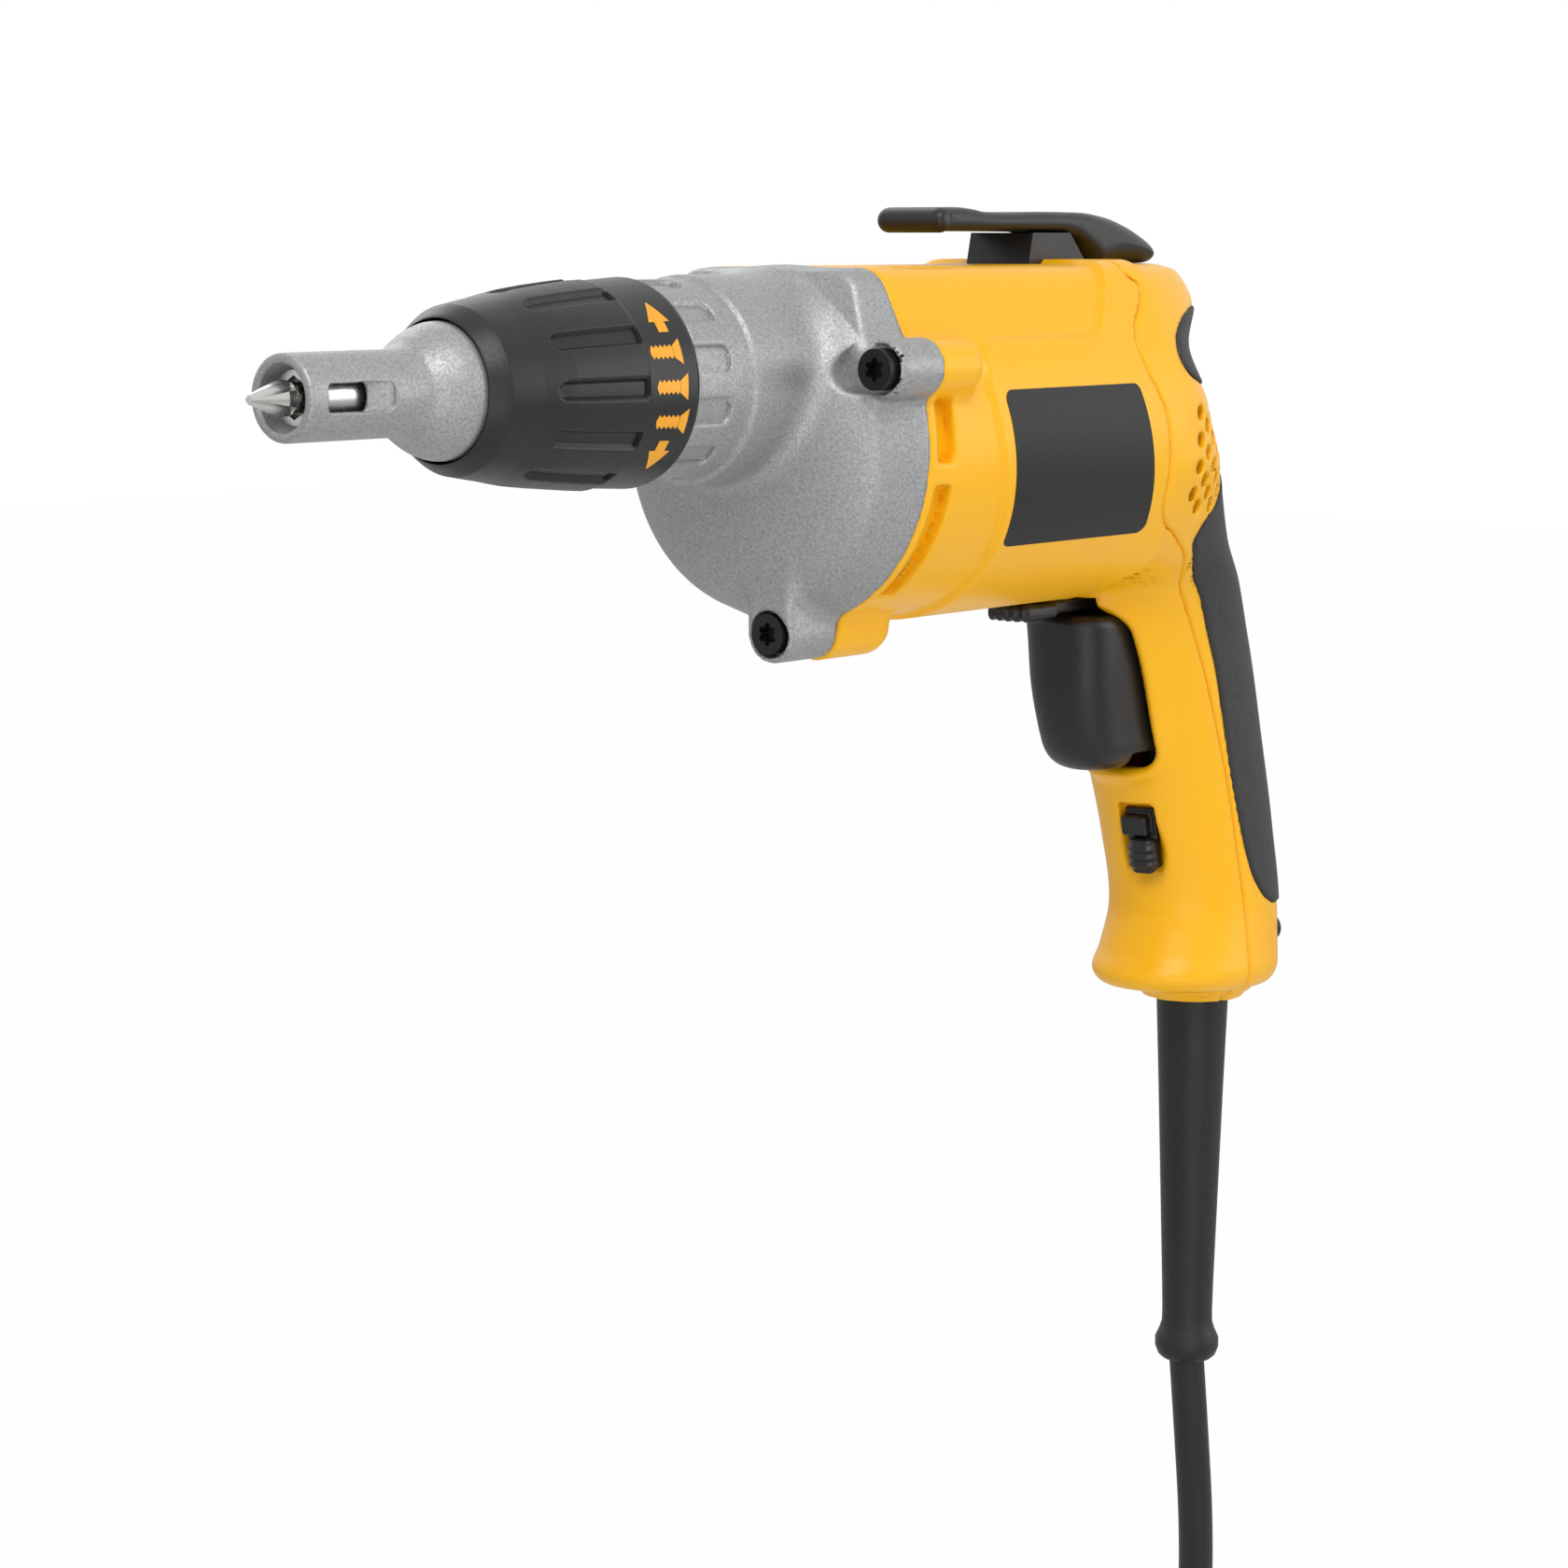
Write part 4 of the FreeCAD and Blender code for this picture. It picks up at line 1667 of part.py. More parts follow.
def hank_edges():
    """The put-away cord: oblong loops side by side, each stepping over on its way up."""
    x, y, top = CORD_ROUTE[-1]
    bottom = top - HANK_RUN
    down = Vector(0, 0, -1)
    up = Vector(0, 0, 1)
    edges = []
    for layer in range(HANK_LAYERS):
        edges.append(Part.LineSegment(Vector(x, y, top), Vector(x, y, bottom)).toShape())
        edges.append(Part.Arc(
            Vector(x, y, bottom), Vector(x, y - HANK_RADIUS, bottom - HANK_RADIUS),
            Vector(x, y - 2 * HANK_RADIUS, bottom)).toShape())
        last = layer == HANK_LAYERS - 1
        next_x = x - (PLUG_STEP if last else HANK_PITCH)
        rise_end = PLUG_Z - 2 * CORD_R if last else top
        edges += biarc(
            Vector(x, y - 2 * HANK_RADIUS, bottom), up, Vector(next_x, y - 2 * HANK_RADIUS, rise_end), up)
        x = next_x
        if last:
            edges.append(Part.LineSegment(
                Vector(x, y - 2 * HANK_RADIUS, rise_end), Vector(x, y - 2 * HANK_RADIUS, PLUG_Z)).toShape())
        else:
            edges.append(Part.Arc(
                Vector(x, y - 2 * HANK_RADIUS, top), Vector(x, y - HANK_RADIUS, top + HANK_RADIUS),
                Vector(x, y, top)).toShape())
    return edges


def least_gap(edges, radius):
    """The smallest gap between two stretches of a tube, measured on points along it."""
    step = radius / 2.0
    points = []
    for edge in edges:
        points += edge.discretize(max(3, int(edge.Length / step)))[:-1]
    apart = int(6 * radius / step)
    least = 1e9
    for i, a in enumerate(points):
        for b in points[i + apart:]:
            least = min(least, a.distanceToPoint(b))
    return least - 2.0 * radius


def cord_hank():
    edges = hank_edges()
    print("cord hank least gap, mm: %.2f" % least_gap(edges, CORD_R))
    return checked_tube(edges, CORD_R, "cord hank")


def cord_tie():
    """The strap round one side of the hank."""
    x, y, top = CORD_ROUTE[-1]
    z = top - HANK_RUN / 2.0
    far_x = x - HANK_PITCH * (HANK_LAYERS - 1)

    def loop(radius):
        shape = block(far_x, x, y - radius, y + radius, z - TIE_WIDTH / 2, z + TIE_WIDTH / 2)
        for end in (far_x, x):
            shape = shape.fuse(Part.makeCylinder(radius, TIE_WIDTH, Vector(end, y, z - TIE_WIDTH / 2)))
        return shape

    inner = CORD_R + CLEARANCE
    return loop(inner + TIE_THICKNESS).cut(loop(inner)).removeSplitter()


PLUG_X = CORD_ROUTE[-1][0] - HANK_PITCH * (HANK_LAYERS - 1) - PLUG_STEP
PLUG_Y = CORD_ROUTE[-1][1] - 2 * HANK_RADIUS


def plug_body():
    """The moulded plug, from a round neck to a rounded block."""
    sections = (
        (0.0, 1.6 * CORD_R, 1.6 * CORD_R),
        (0.25, 1.6 * CORD_R, 1.7 * CORD_R),
        (0.45, PLUG_HALF_HEIGHT - 1.2, PLUG_HALF_WIDTH - 2.5),
        (0.75, PLUG_HALF_HEIGHT, PLUG_HALF_WIDTH),
        (1.0, PLUG_HALF_HEIGHT, PLUG_HALF_WIDTH),
    )
    wires = []
    for share, half_height, half_width in sections:
        wires.append(plan_section(
            PLUG_Z + share * PLUG_LENGTH, PLUG_X - half_height, PLUG_X + half_height, half_width))
    return Part.makeLoft(wires, True).translated(Vector(0, PLUG_Y, 0))


def plug_blades():
    """The two flat blades, with a hole near the end of each."""
    blades = []
    base = PLUG_Z + PLUG_LENGTH
    for side in (-1, 1):
        y = PLUG_Y + side * BLADE_SPACING / 2
        half = BLADE_THICKNESS / 2
        blade = block(
            PLUG_X - BLADE_WIDTH / 2, PLUG_X + BLADE_WIDTH / 2, y - half, y + half, base, base + BLADE_LENGTH)
        hole_start = Vector(PLUG_X, y - 3 * half, base + 0.75 * BLADE_LENGTH)
        hole = Part.makeCylinder(BLADE_WIDTH / 4, 6 * half, hole_start, Vector(0, 1, 0))
        blades.append(blade.cut(hole))
    return Part.makeCompound(blades)


PIECES = (
    nosepiece, screwdriver_bit, bit_holder, holder_magnet, output_spindle, holder_ball, ball_clip,
    spindle_bush, thrust_washer, clutch_spring, drive_gear, gear_bush, gear_plate, adjusting_collar,
    retaining_ring, nose_o_ring, gear_case, gear_case_screws, armature_shaft, front_bearing,
    rear_bearing, fan, fan_baffle, field_core, field_coils, armature_core, armature_windings,
    commutator, brushes, brush_holders, brush_springs, motor_housing, rear_cover, back_grip,
    thumb_pad, cover_screws, trigger, trigger_spring, switch_body, reversing_lever, lock_slide,
    belt_clip, clip_base, clip_screws, cord_protector, cord_clamp, clamp_screws, inner_lead, cord,
    cord_hank, cord_tie, plug_body, plug_blades,
)

for make in PIECES:
    solids = make().translated(Vector(-GRIP_X, 0, -GRIP_Z)).Solids
    finished = solids[0] if len(solids) == 1 else Part.makeCompound(solids)
    finished.exportStep("parts/%s.step" % make.__name__)
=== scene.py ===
# %% [markdown]
# # A corded drywall screwdriver
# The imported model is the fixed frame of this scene. Its nodes sit where the construction puts them, in metres,
# with the origin in the middle of the hand grip. The lesson dresses it: every node gets a finish, and the
# pieces that the eye meets first are made again with soft edges and moulded detail.

# %% Load the frame
import bpy
import numpy as np
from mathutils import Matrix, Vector


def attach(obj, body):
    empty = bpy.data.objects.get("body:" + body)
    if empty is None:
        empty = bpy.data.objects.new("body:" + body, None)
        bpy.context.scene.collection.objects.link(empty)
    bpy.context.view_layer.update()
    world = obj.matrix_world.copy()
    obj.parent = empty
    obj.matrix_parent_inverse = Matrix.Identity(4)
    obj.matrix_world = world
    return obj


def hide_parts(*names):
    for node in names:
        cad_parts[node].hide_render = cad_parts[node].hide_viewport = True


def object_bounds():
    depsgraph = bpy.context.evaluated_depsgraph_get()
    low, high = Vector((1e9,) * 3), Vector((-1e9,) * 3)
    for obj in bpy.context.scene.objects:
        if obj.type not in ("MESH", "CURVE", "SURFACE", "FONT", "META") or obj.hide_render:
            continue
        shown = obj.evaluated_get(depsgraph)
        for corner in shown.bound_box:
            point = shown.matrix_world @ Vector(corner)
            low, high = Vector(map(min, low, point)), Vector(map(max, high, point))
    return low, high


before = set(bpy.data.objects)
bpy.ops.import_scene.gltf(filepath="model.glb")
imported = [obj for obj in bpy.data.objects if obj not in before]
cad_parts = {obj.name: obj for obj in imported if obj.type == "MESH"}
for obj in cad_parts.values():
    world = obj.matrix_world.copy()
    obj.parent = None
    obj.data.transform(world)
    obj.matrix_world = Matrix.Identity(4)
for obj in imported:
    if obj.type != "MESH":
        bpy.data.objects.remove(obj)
cad_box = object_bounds()

# %% [markdown]
# ## Working units
# The tool was measured in millimetres, backwards from the nose face along x, to the tool's right along y and
# up from the spindle axis along z. All shapes below are written in those numbers. One function carries them
# to the frame's metres, so no piece is ever fitted by hand.

# %% From workshop millimetres to the frame
GRIP_MIDDLE = np.array([268.0, 0.0, -95.0])
MM = 0.001


def placed(points):
    """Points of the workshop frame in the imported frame: minus the grip's middle, times a thousandth."""
    return (np.asarray(points, dtype=float) - GRIP_MIDDLE) * MM


print("nose face at", placed((0.0, 0.0, 0.0)))

# %% [markdown]
# ## Camera
# The photograph looks from the front left, a little from above, with a long lens. The place and direction come
# from matching the nose, the flange, the handle and the cord, so the picture's frame is the same.

# %% Camera at the photograph's viewing angle
CAMERA_PLACE = (-0.69293, -0.46726, 0.12219)
CAMERA_FORWARD = Vector((0.7571, 0.6368, -0.1458))
LENS = 85.714

lens = bpy.data.cameras.new("photo_camera")
lens.lens = LENS
lens.sensor_width = 36.0
camera = bpy.data.objects.new("photo_camera", lens)
camera.location = CAMERA_PLACE
camera.rotation_euler = CAMERA_FORWARD.to_track_quat("-Z", "Y").to_euler()
bpy.context.scene.collection.objects.link(camera)
bpy.context.scene.camera = camera
print("camera looks along", tuple(round(v, 3) for v in CAMERA_FORWARD))

# %% [markdown]
# ## Colours and nodes
# Colours are picked from the photograph as sRGB hex values, and shaders work in linear light, so one function
# turns one into the other. A second one adds any shader node with its settings and its inputs.

# %% Two small helpers for materials
def linear(hex_colour):
    """Linear red, green, blue and alpha of an sRGB hex colour: the sRGB curve undone for each channel."""
    channels = np.array([int(hex_colour[i:i + 2], 16) for i in (1, 3, 5)]) / 255.0
    undone = np.where(channels <= 0.04045, channels / 12.92, ((channels + 0.055) / 1.055) ** 2.4)
    return (*undone, 1.0)


def add(tree, kind, inputs, **settings):
    """A shader node: settings are its properties, inputs its sockets, each a value or another socket."""
    made = tree.nodes.new("ShaderNode" + kind)
    for name, value in settings.items():
        setattr(made, name, value)
    for name, value in inputs.items():
        if isinstance(value, bpy.types.NodeSocket):
            tree.links.new(value, made.inputs[name])
        else:
            made.inputs[name].default_value = value
    return made


print("yellow in linear light:", np.round(linear("#FCBA0C"), 3))

# %% [markdown]
# ## Floor and light
# Product pictures stand on white. The floor is pale and keeps a soft shadow, and where the camera or a glossy
# ray looks past it the world is white at strength 1. The tool is lit by a large soft box above left, a
# weaker one on the right, one behind and one low in front, so colours come out about as they are written.

# %% Floor, world and lamps
FLOOR_GAP = 0.0005
FLOOR_HALF = 6.0
AMBIENT = 0.46
WHITE_SHARE = 0.985

floor_z = cad_box[0][2] - FLOOR_GAP
floor_mesh = bpy.data.meshes.new("floor")
floor_mesh.from_pydata([
    (-FLOOR_HALF, -FLOOR_HALF, floor_z), (FLOOR_HALF, -FLOOR_HALF, floor_z),
    (FLOOR_HALF, FLOOR_HALF, floor_z), (-FLOOR_HALF, FLOOR_HALF, floor_z)], [], [(0, 1, 2, 3)])
floor = bpy.data.objects.new("floor", floor_mesh)
bpy.context.scene.collection.objects.link(floor)

paper = bpy.data.materials.new("white_paper_sweep")
paper.use_nodes = True
tree = paper.node_tree
tree.nodes.clear()
path = add(tree, "LightPath", {})
seen = add(tree, "Math", {0: path.outputs["Is Camera Ray"], 1: WHITE_SHARE}, operation="MULTIPLY")
sheet = add(tree, "BsdfDiffuse", {"Color": linear("#F4F4F4")})
glow = add(tree, "Emission", {"Color": linear("#FFFFFF"), "Strength": 1.0})
both = add(tree, "MixShader", {0: seen.outputs[0], 1: sheet.outputs[0], 2: glow.outputs[0]})
add(tree, "OutputMaterial", {"Surface": both.outputs[0]})
floor_mesh.materials.append(paper)

world = bpy.data.worlds.new("studio")
world.use_nodes = True
bpy.context.scene.world = world
tree = world.node_tree
tree.nodes.clear()
path = add(tree, "LightPath", {})
looked = path.outputs["Is Camera Ray"]
for kind in ("Is Glossy Ray", "Is Transmission Ray"):
    looked = add(tree, "Math", {0: looked, 1: path.outputs[kind]}, operation="MAXIMUM").outputs[0]
lighting = add(tree, "Background", {"Color": linear("#FFFFFF"), "Strength": AMBIENT})
backdrop = add(tree, "Background", {"Color": linear("#FFFFFF"), "Strength": 1.0})
both = add(tree, "MixShader", {0: looked, 1: lighting.outputs[0], 2: backdrop.outputs[0]})
add(tree, "OutputWorld", {"Surface": both.outputs[0]})

bpy.context.scene.view_settings.view_transform = "Standard"


def soft_box(name, place, aim, size, power):
    """A square area lamp at a place, turned towards an aim."""
    lamp = bpy.data.lights.new(name, "AREA")
    lamp.size = size
    lamp.energy = power
    holder = bpy.data.objects.new(name, lamp)
    holder.location = place
    holder.rotation_euler = (Vector(aim) - Vector(place)).to_track_quat("-Z", "Y").to_euler()
    bpy.context.scene.collection.objects.link(holder)


TOOL_MIDDLE = (-0.09, 0.0, 0.06)
soft_box("key_box", (-0.75, -0.75, 1.15), TOOL_MIDDLE, 0.9, 11.0)
soft_box("side_box", (0.75, -1.0, 0.25), TOOL_MIDDLE, 0.8, 3.2)
soft_box("back_box", (0.3, 1.1, 0.9), TOOL_MIDDLE, 0.9, 4.0)
soft_box("low_box", (-0.8, -0.9, -0.3), TOOL_MIDDLE, 0.9, 3.6)
print("floor at", round(floor_z, 4), "lamps: 4")

# %% [markdown]
# ## Cord
# The rubber lead leaves its protector straight down and bends away under its own weight. Below the picture the
# rest is put away as a hank of five oblong loops with its plug beside it. A NURBS curve led by given
# points is smooth by itself, so no corner has to be rounded. Three points make each bend and three each run.

# %% Cord, one smooth curve from the protector to the plug
CORD_DIAMETER = 8.1
CORD_EXIT = (275.5, 0.0, -230.0)
CORD_ROUTE = [
    CORD_EXIT, (277.3, 0.0, -243.0), (281.3, 0.0, -276.0), (284.6, 3.0, -303.0), (287.5, 22.0, -335.0),
    (288.0, 30.0, -360.0), (288.0, 30.0, -385.0)]
HANK_TURNS = 5
HANK_STEP = 9.2
HANK_TOP = -385.0
HANK_BOTTOM = -525.0
HANK_MIDDLE = 0.5 * (HANK_TOP + HANK_BOTTOM)
HANK_HALF = 30.0
HANK_SWELL = 0.6
SWELL_TURN = 2.4
BEND = 29.7
CORNER = 0.577 * BEND
PLUG_END = (234.2, -30.0, -400.0)

hank_points = []
for turn in range(HANK_TURNS):
    x = CORD_ROUTE[-1][0] - HANK_STEP * turn
    swell = HANK_SWELL * np.sin(SWELL_TURN * turn)
    hank_points += [
        (x, HANK_HALF, HANK_TOP - CORNER), (x, HANK_HALF + swell, HANK_MIDDLE),
        (x, HANK_HALF, HANK_BOTTOM + CORNER), (x, BEND, HANK_BOTTOM - CORNER),
        (x, 0.0, HANK_BOTTOM - 2.0 * CORNER - swell), (x, -BEND, HANK_BOTTOM - CORNER),
        (x, -HANK_HALF, HANK_BOTTOM + CORNER)]
    if turn < HANK_TURNS - 1:
        onward = x - HANK_STEP
        hank_points += [
            (0.5 * (x + onward), -HANK_HALF - swell, HANK_MIDDLE), (onward, -HANK_HALF, HANK_TOP - CORNER),
            (onward, -BEND, HANK_TOP + CORNER), (onward, 0.0, HANK_TOP + 2.0 * CORNER),
            (onward, BEND, HANK_TOP + CORNER)]
hank_points += [(x - 3.0, -30.0, -480.0), (x - 14.0, -30.0, -445.0), (PLUG_END[0], -30.0, -420.0), PLUG_END]

curve = bpy.data.curves.new("rubber_cord", "CURVE")
curve.dimensions = "3D"
curve.bevel_depth = 1.0
curve.bevel_resolution = 6
curve.use_fill_caps = True
spline = curve.splines.new("NURBS")
route = placed(CORD_ROUTE + hank_points)
spline.points.add(len(route) - 1)
spline.points.foreach_set("co", np.c_[route, np.ones(len(route))].ravel())
# The thickness is in the points, because a curve's box reaches out by its points' radius
spline.points.foreach_set("radius", np.full(len(route), 0.5 * CORD_DIAMETER * MM))
spline.order_u = 3
spline.use_endpoint_u = True
spline.resolution_u = 10
cord = bpy.data.objects.new("rubber_cord", curve)
bpy.context.scene.collection.objects.link(cord)
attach(cord, "frame")
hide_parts("cord", "cord_hank")
print("control points:", len(route))

# %% [markdown]
# ## Finishes
# Each finish starts from what the real surface is and how it was made. Moulded plastic copies the spark-eroded
# grain of its mould, the casting is blasted, the steel parts are ground or blackened. The grain is a noise on
# Object coordinates with a size in millimetres. It drives a little of the colour, the roughness and the bump.

# %% Finishes made by one recipe
GRAIN_DETAIL = 3.0
GRAIN_ROUGHNESS = 0.6
TINT_LOW, TINT_HIGH = 0.3, 0.7
DULL_LOW, DULL_HIGH = 0.25, 0.75


def finish(name, colour, roughness, grain_mm, bump_mm, mottle, metallic=0.0, ior=1.5, *, second, spread=0.08):
    """A surface with one grain: the same noise tints the colour towards a second one, varies the
    roughness by a spread and lifts the surface by a bump height."""
    material = bpy.data.materials.new(name)
    material.use_nodes = True
    tree = material.node_tree
    tree.nodes.clear()
    where = add(tree, "TexCoord", {})
    noise = add(tree, "TexNoise", {
        "Vector": where.outputs["Object"], "Scale": 1.0 / (grain_mm * MM), "Detail": GRAIN_DETAIL,
        "Roughness": GRAIN_ROUGHNESS})
    tint = add(tree, "MapRange", {0: noise.outputs["Fac"], 1: TINT_LOW, 2: TINT_HIGH, 3: 0.0, 4: mottle})
    mixed = add(tree, "Mix", {0: tint.outputs[0], 6: linear(colour), 7: linear(second)}, data_type="RGBA")
    dull = add(tree, "MapRange", {
        0: noise.outputs["Fac"], 1: DULL_LOW, 2: DULL_HIGH, 3: roughness - spread, 4: roughness + spread})
    lift = add(tree, "Bump", {"Height": noise.outputs["Fac"], "Distance": bump_mm * MM, "Strength": 1.0})
    shader = add(tree, "BsdfPrincipled", {
        "Base Color": mixed.outputs[2], "Roughness": dull.outputs[0], "Metallic": metallic, "IOR": ior,
        "Normal": lift.outputs[0]})
    add(tree, "OutputMaterial", {"Surface": shader.outputs[0]})
    return material


# Glass-filled nylon, moulded with a fine spark grain: warm yellow with broad soft highlights
YELLOW_NYLON = finish("yellow_nylon_moulded", "#FCBA0C", 0.36, 0.5, 0.006, 0.05, ior=1.42, second="#DA9204")
# The same nylon in black: collar, trigger and clip look dark grey where light rakes the grain
BLACK_NYLON = finish("black_nylon_moulded", "#171718", 0.38, 0.55, 0.01, 0.2, ior=1.45, second="#0E0E0F")
# Elastomer moulded over the handle, with a coarser leather-like grain that takes the shine off
BLACK_ELASTOMER = finish("black_elastomer_grained", "#2D2D2E", 0.66, 0.9, 0.05, 0.35, ior=1.5, second="#1C1C1D")
# Die-cast aluminium, shot blasted: a pale grey sparkle of tiny dents
CAST_ALUMINIUM = finish("aluminium_cast_blasted", "#AEAFB0", 0.48, 0.5, 0.036, 0.6, 0.55, second="#6C6D6E")
# Rubber jacket of the lead, extruded smooth, slightly greenish dark grey
RUBBER_JACKET = finish("rubber_jacket_extruded", "#171918", 0.45, 1.4, 0.01, 0.2, ior=1.42, second="#101211")
# Alloy steel, ground and polished by use
BRIGHT_STEEL = finish("steel_ground", "#C9C9C6", 0.26, 0.3, 0.002, 0.12, 1.0, second="#8F8F8C", spread=0.06)
# Steel with a black oxide finish, as on the case screws
BLACK_STEEL = finish("steel_black_oxide", "#2B2B2C", 0.38, 0.4, 0.006, 0.2, 0.7, second="#17171A")
# Enamelled copper wire, wound in layers
COPPER_WIRE = finish("copper_enamelled_wound", "#B4683A", 0.32, 0.6, 0.05, 0.3, 1.0, second="#6E3514")
# Oil-soaked sintered bronze
SINTERED_BRONZE = finish("bronze_sintered", "#A97F4B", 0.48, 0.25, 0.01, 0.35, 1.0, second="#6F4F28")
# Pressed carbon for the brushes
PRESSED_CARBON = finish("carbon_pressed", "#242425", 0.6, 0.3, 0.01, 0.3, second="#3A3A3C")
# Silicon steel sheets, stacked and varnished
LAMINATIONS = finish("silicon_steel_varnished", "#6A6662", 0.42, 0.5, 0.02, 0.3, 0.9, second="#43403D")
# Nickel-plated brass of the plug's blades
NICKEL_BRASS = finish("brass_nickel_plated", "#CFC9B8", 0.22, 0.5, 0.002, 0.1, 1.0, second="#A89F88", spread=0.05)
# Woven tie strap, nearly black
STRAP_WEAVE = finish("polyester_strap_woven", "#2C2D2E", 0.75, 0.5, 0.06, 0.4, second="#454648")
# Ink of the printed signs, a warm orange with a slight gloss
SCREEN_INK = finish("ink_screen_printed", "#F5A91F", 0.42, 0.4, 0.004, 0.1, second="#C87F10")
# Film of the bare plate: dark grey, smooth and nearly matt
PLATE_FILM = finish("film_plate_dark", "#161617", 0.5, 0.8, 0.003, 0.15, ior=1.4, second="#202021", spread=0.05)
print("finishes:", len(bpy.data.materials))

# %% [markdown]
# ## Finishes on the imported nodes
# Most inner pieces keep the shape that the construction gave them. They get the finish of their real material,
# so a view through a vent shows a fan and steel and copper behind it.

# %% Give every node its finish
NODE_FINISHES = {
    CAST_ALUMINIUM: ("nosepiece", "gear_case", "gear_plate"),
    YELLOW_NYLON: ("motor_housing", "rear_cover"),
    BLACK_NYLON: (
        "adjusting_collar", "trigger", "reversing_lever", "lock_slide", "clip_base", "belt_clip", "fan",
        "fan_baffle", "switch_body", "cord_clamp", "brush_holders"),
    BLACK_ELASTOMER: ("back_grip", "thumb_pad", "nose_o_ring"),
    RUBBER_JACKET: ("cord_protector", "inner_lead", "plug_body", "cord", "cord_hank"),
    BRIGHT_STEEL: (
        "screwdriver_bit", "bit_holder", "holder_magnet", "output_spindle", "holder_ball", "ball_clip",
        "thrust_washer", "clutch_spring", "drive_gear", "retaining_ring", "armature_shaft", "front_bearing",
        "rear_bearing", "trigger_spring", "brush_springs"),
    BLACK_STEEL: ("gear_case_screws", "cover_screws", "clip_screws", "clamp_screws"),
    COPPER_WIRE: ("field_coils", "armature_windings", "commutator"),
    SINTERED_BRONZE: ("spindle_bush", "gear_bush"),
    PRESSED_CARBON: ("brushes",),
    LAMINATIONS: ("field_core", "armature_core"),
    NICKEL_BRASS: ("plug_blades",),
    STRAP_WEAVE: ("cord_tie",),
}
left_over = set(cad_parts)
for material, names in NODE_FINISHES.items():
    for name in names:
        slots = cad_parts[name].material_slots
        for place in range(len(slots)):
            slots[place].material = material
        left_over.discard(name)
curve.materials.append(RUBBER_JACKET)
print("nodes without a finish:", sorted(left_over))

# %% [markdown]
# ## Moulded bodies from gaps
# The housing, the casting and the trigger have no two parameters that run over them: barrel, handle, bosses and
# windows flow into each other. They could be carved with booleans, but those leave sharp edges. Here each body
# is a gap: a function that says how far a point lies outside it. Two gaps are joined by a soft minimum, which
# leaves a fillet, and cut by a soft maximum, which rounds the edge, as a moulder would.

# %% Gaps that melt into each other
def soft_min(a, b, radius):
    """The smaller of two gaps with a fillet: a share from 0 to 1 mixes both where they differ by less than
    the radius, and the radius times the share times its rest is taken off."""
    share = np.clip(0.5 + 0.5 * (b - a) / radius, 0.0, 1.0)
    return b + (a - b) * share - radius * share * (1.0 - share)


def soft_max(a, b, radius):
    """The larger of two gaps with a rounded edge: the soft minimum of both turned inside out."""
    return -soft_min(-a, -b, radius)


def eased(share):
    """A step from 0 to 1 with level ends: three shares squared less two shares cubed."""
    held = np.clip(share, 0.0, 1.0)
    return held * held * (3.0 - 2.0 * held)


def box_gap(offsets, halves, radius):
    """A box with rounded edges: each offset passes its half size, less the radius, by some length. Outside it
    is the length of those parts together, inside the largest of them, less the radius in both cases."""
    past = [np.abs(offset) - (half - radius) for offset, half in zip(offsets, halves)]
    outside = np.sqrt(sum(np.maximum(part, 0.0) ** 2 for part in past))
    deepest = past[0]
    for part in past[1:]:
        deepest = np.maximum(deepest, part)
    return outside + np.minimum(deepest, 0.0) - radius


def through(places, values, at):
    """A smooth line through stations, read anywhere: on each span a cubic. The slope at a station is the
    harmonic mean of the slopes beside it, or level where they change sign, so the line never swings past it."""
    places = np.asarray(places, dtype=float)
    values = np.asarray(values, dtype=float)
    rises = np.diff(values) / np.diff(places)
    product, total = rises[:-1] * rises[1:], rises[:-1] + rises[1:]
    level = product <= 0.0
    between = np.where(level, 0.0, 2.0 * product / np.where(level, 1.0, total))
    slopes = np.concatenate([rises[:1], between, rises[-1:]])
    held = np.clip(at, places[0], places[-1])
    span = np.clip(np.searchsorted(places, held, side="right") - 1, 0, len(places) - 2)
    width = places[span + 1] - places[span]
    t = (held - places[span]) / width
    rest = 1.0 - t
    ends = (1.0 + 2.0 * t) * rest * rest * values[span] + t * t * (3.0 - 2.0 * t) * values[span + 1]
    return ends + width * t * rest * (rest * slopes[span] - t * slopes[span + 1])


print("two crossing faces, joined:", round(float(soft_min(0.0, 0.0, 4.0)), 2), "mm")

# %% [markdown]
# ## From a gap to a mesh
# A body is read on a grid of cells. Every grid edge with one end inside crosses the surface once, and the
# tangent plane there is known. Each crossed cell gets one vertex where its planes meet best, and each crossed
# edge a face of its four cells. This is dual contouring: flat walls stay flat and small rims stay crisp, which
# marching cubes would shave off.

# %% Dual contouring with whole arrays
PLANE_SLACK = 0.06
REFINEMENTS = 3


def outward(gap, points, reach=0.04):
    """Unit directions away from a body: differences of its gap a little ahead and behind on each axis."""
    parts = []
    for axis in range(3):
        shift = reach * np.eye(3)[axis]
        parts.append(gap(*(points + shift).T) - gap(*(points - shift).T))
    slope = np.stack(parts, axis=1)
    return slope / np.maximum(np.linalg.norm(slope, axis=1, keepdims=True), 1e-9)


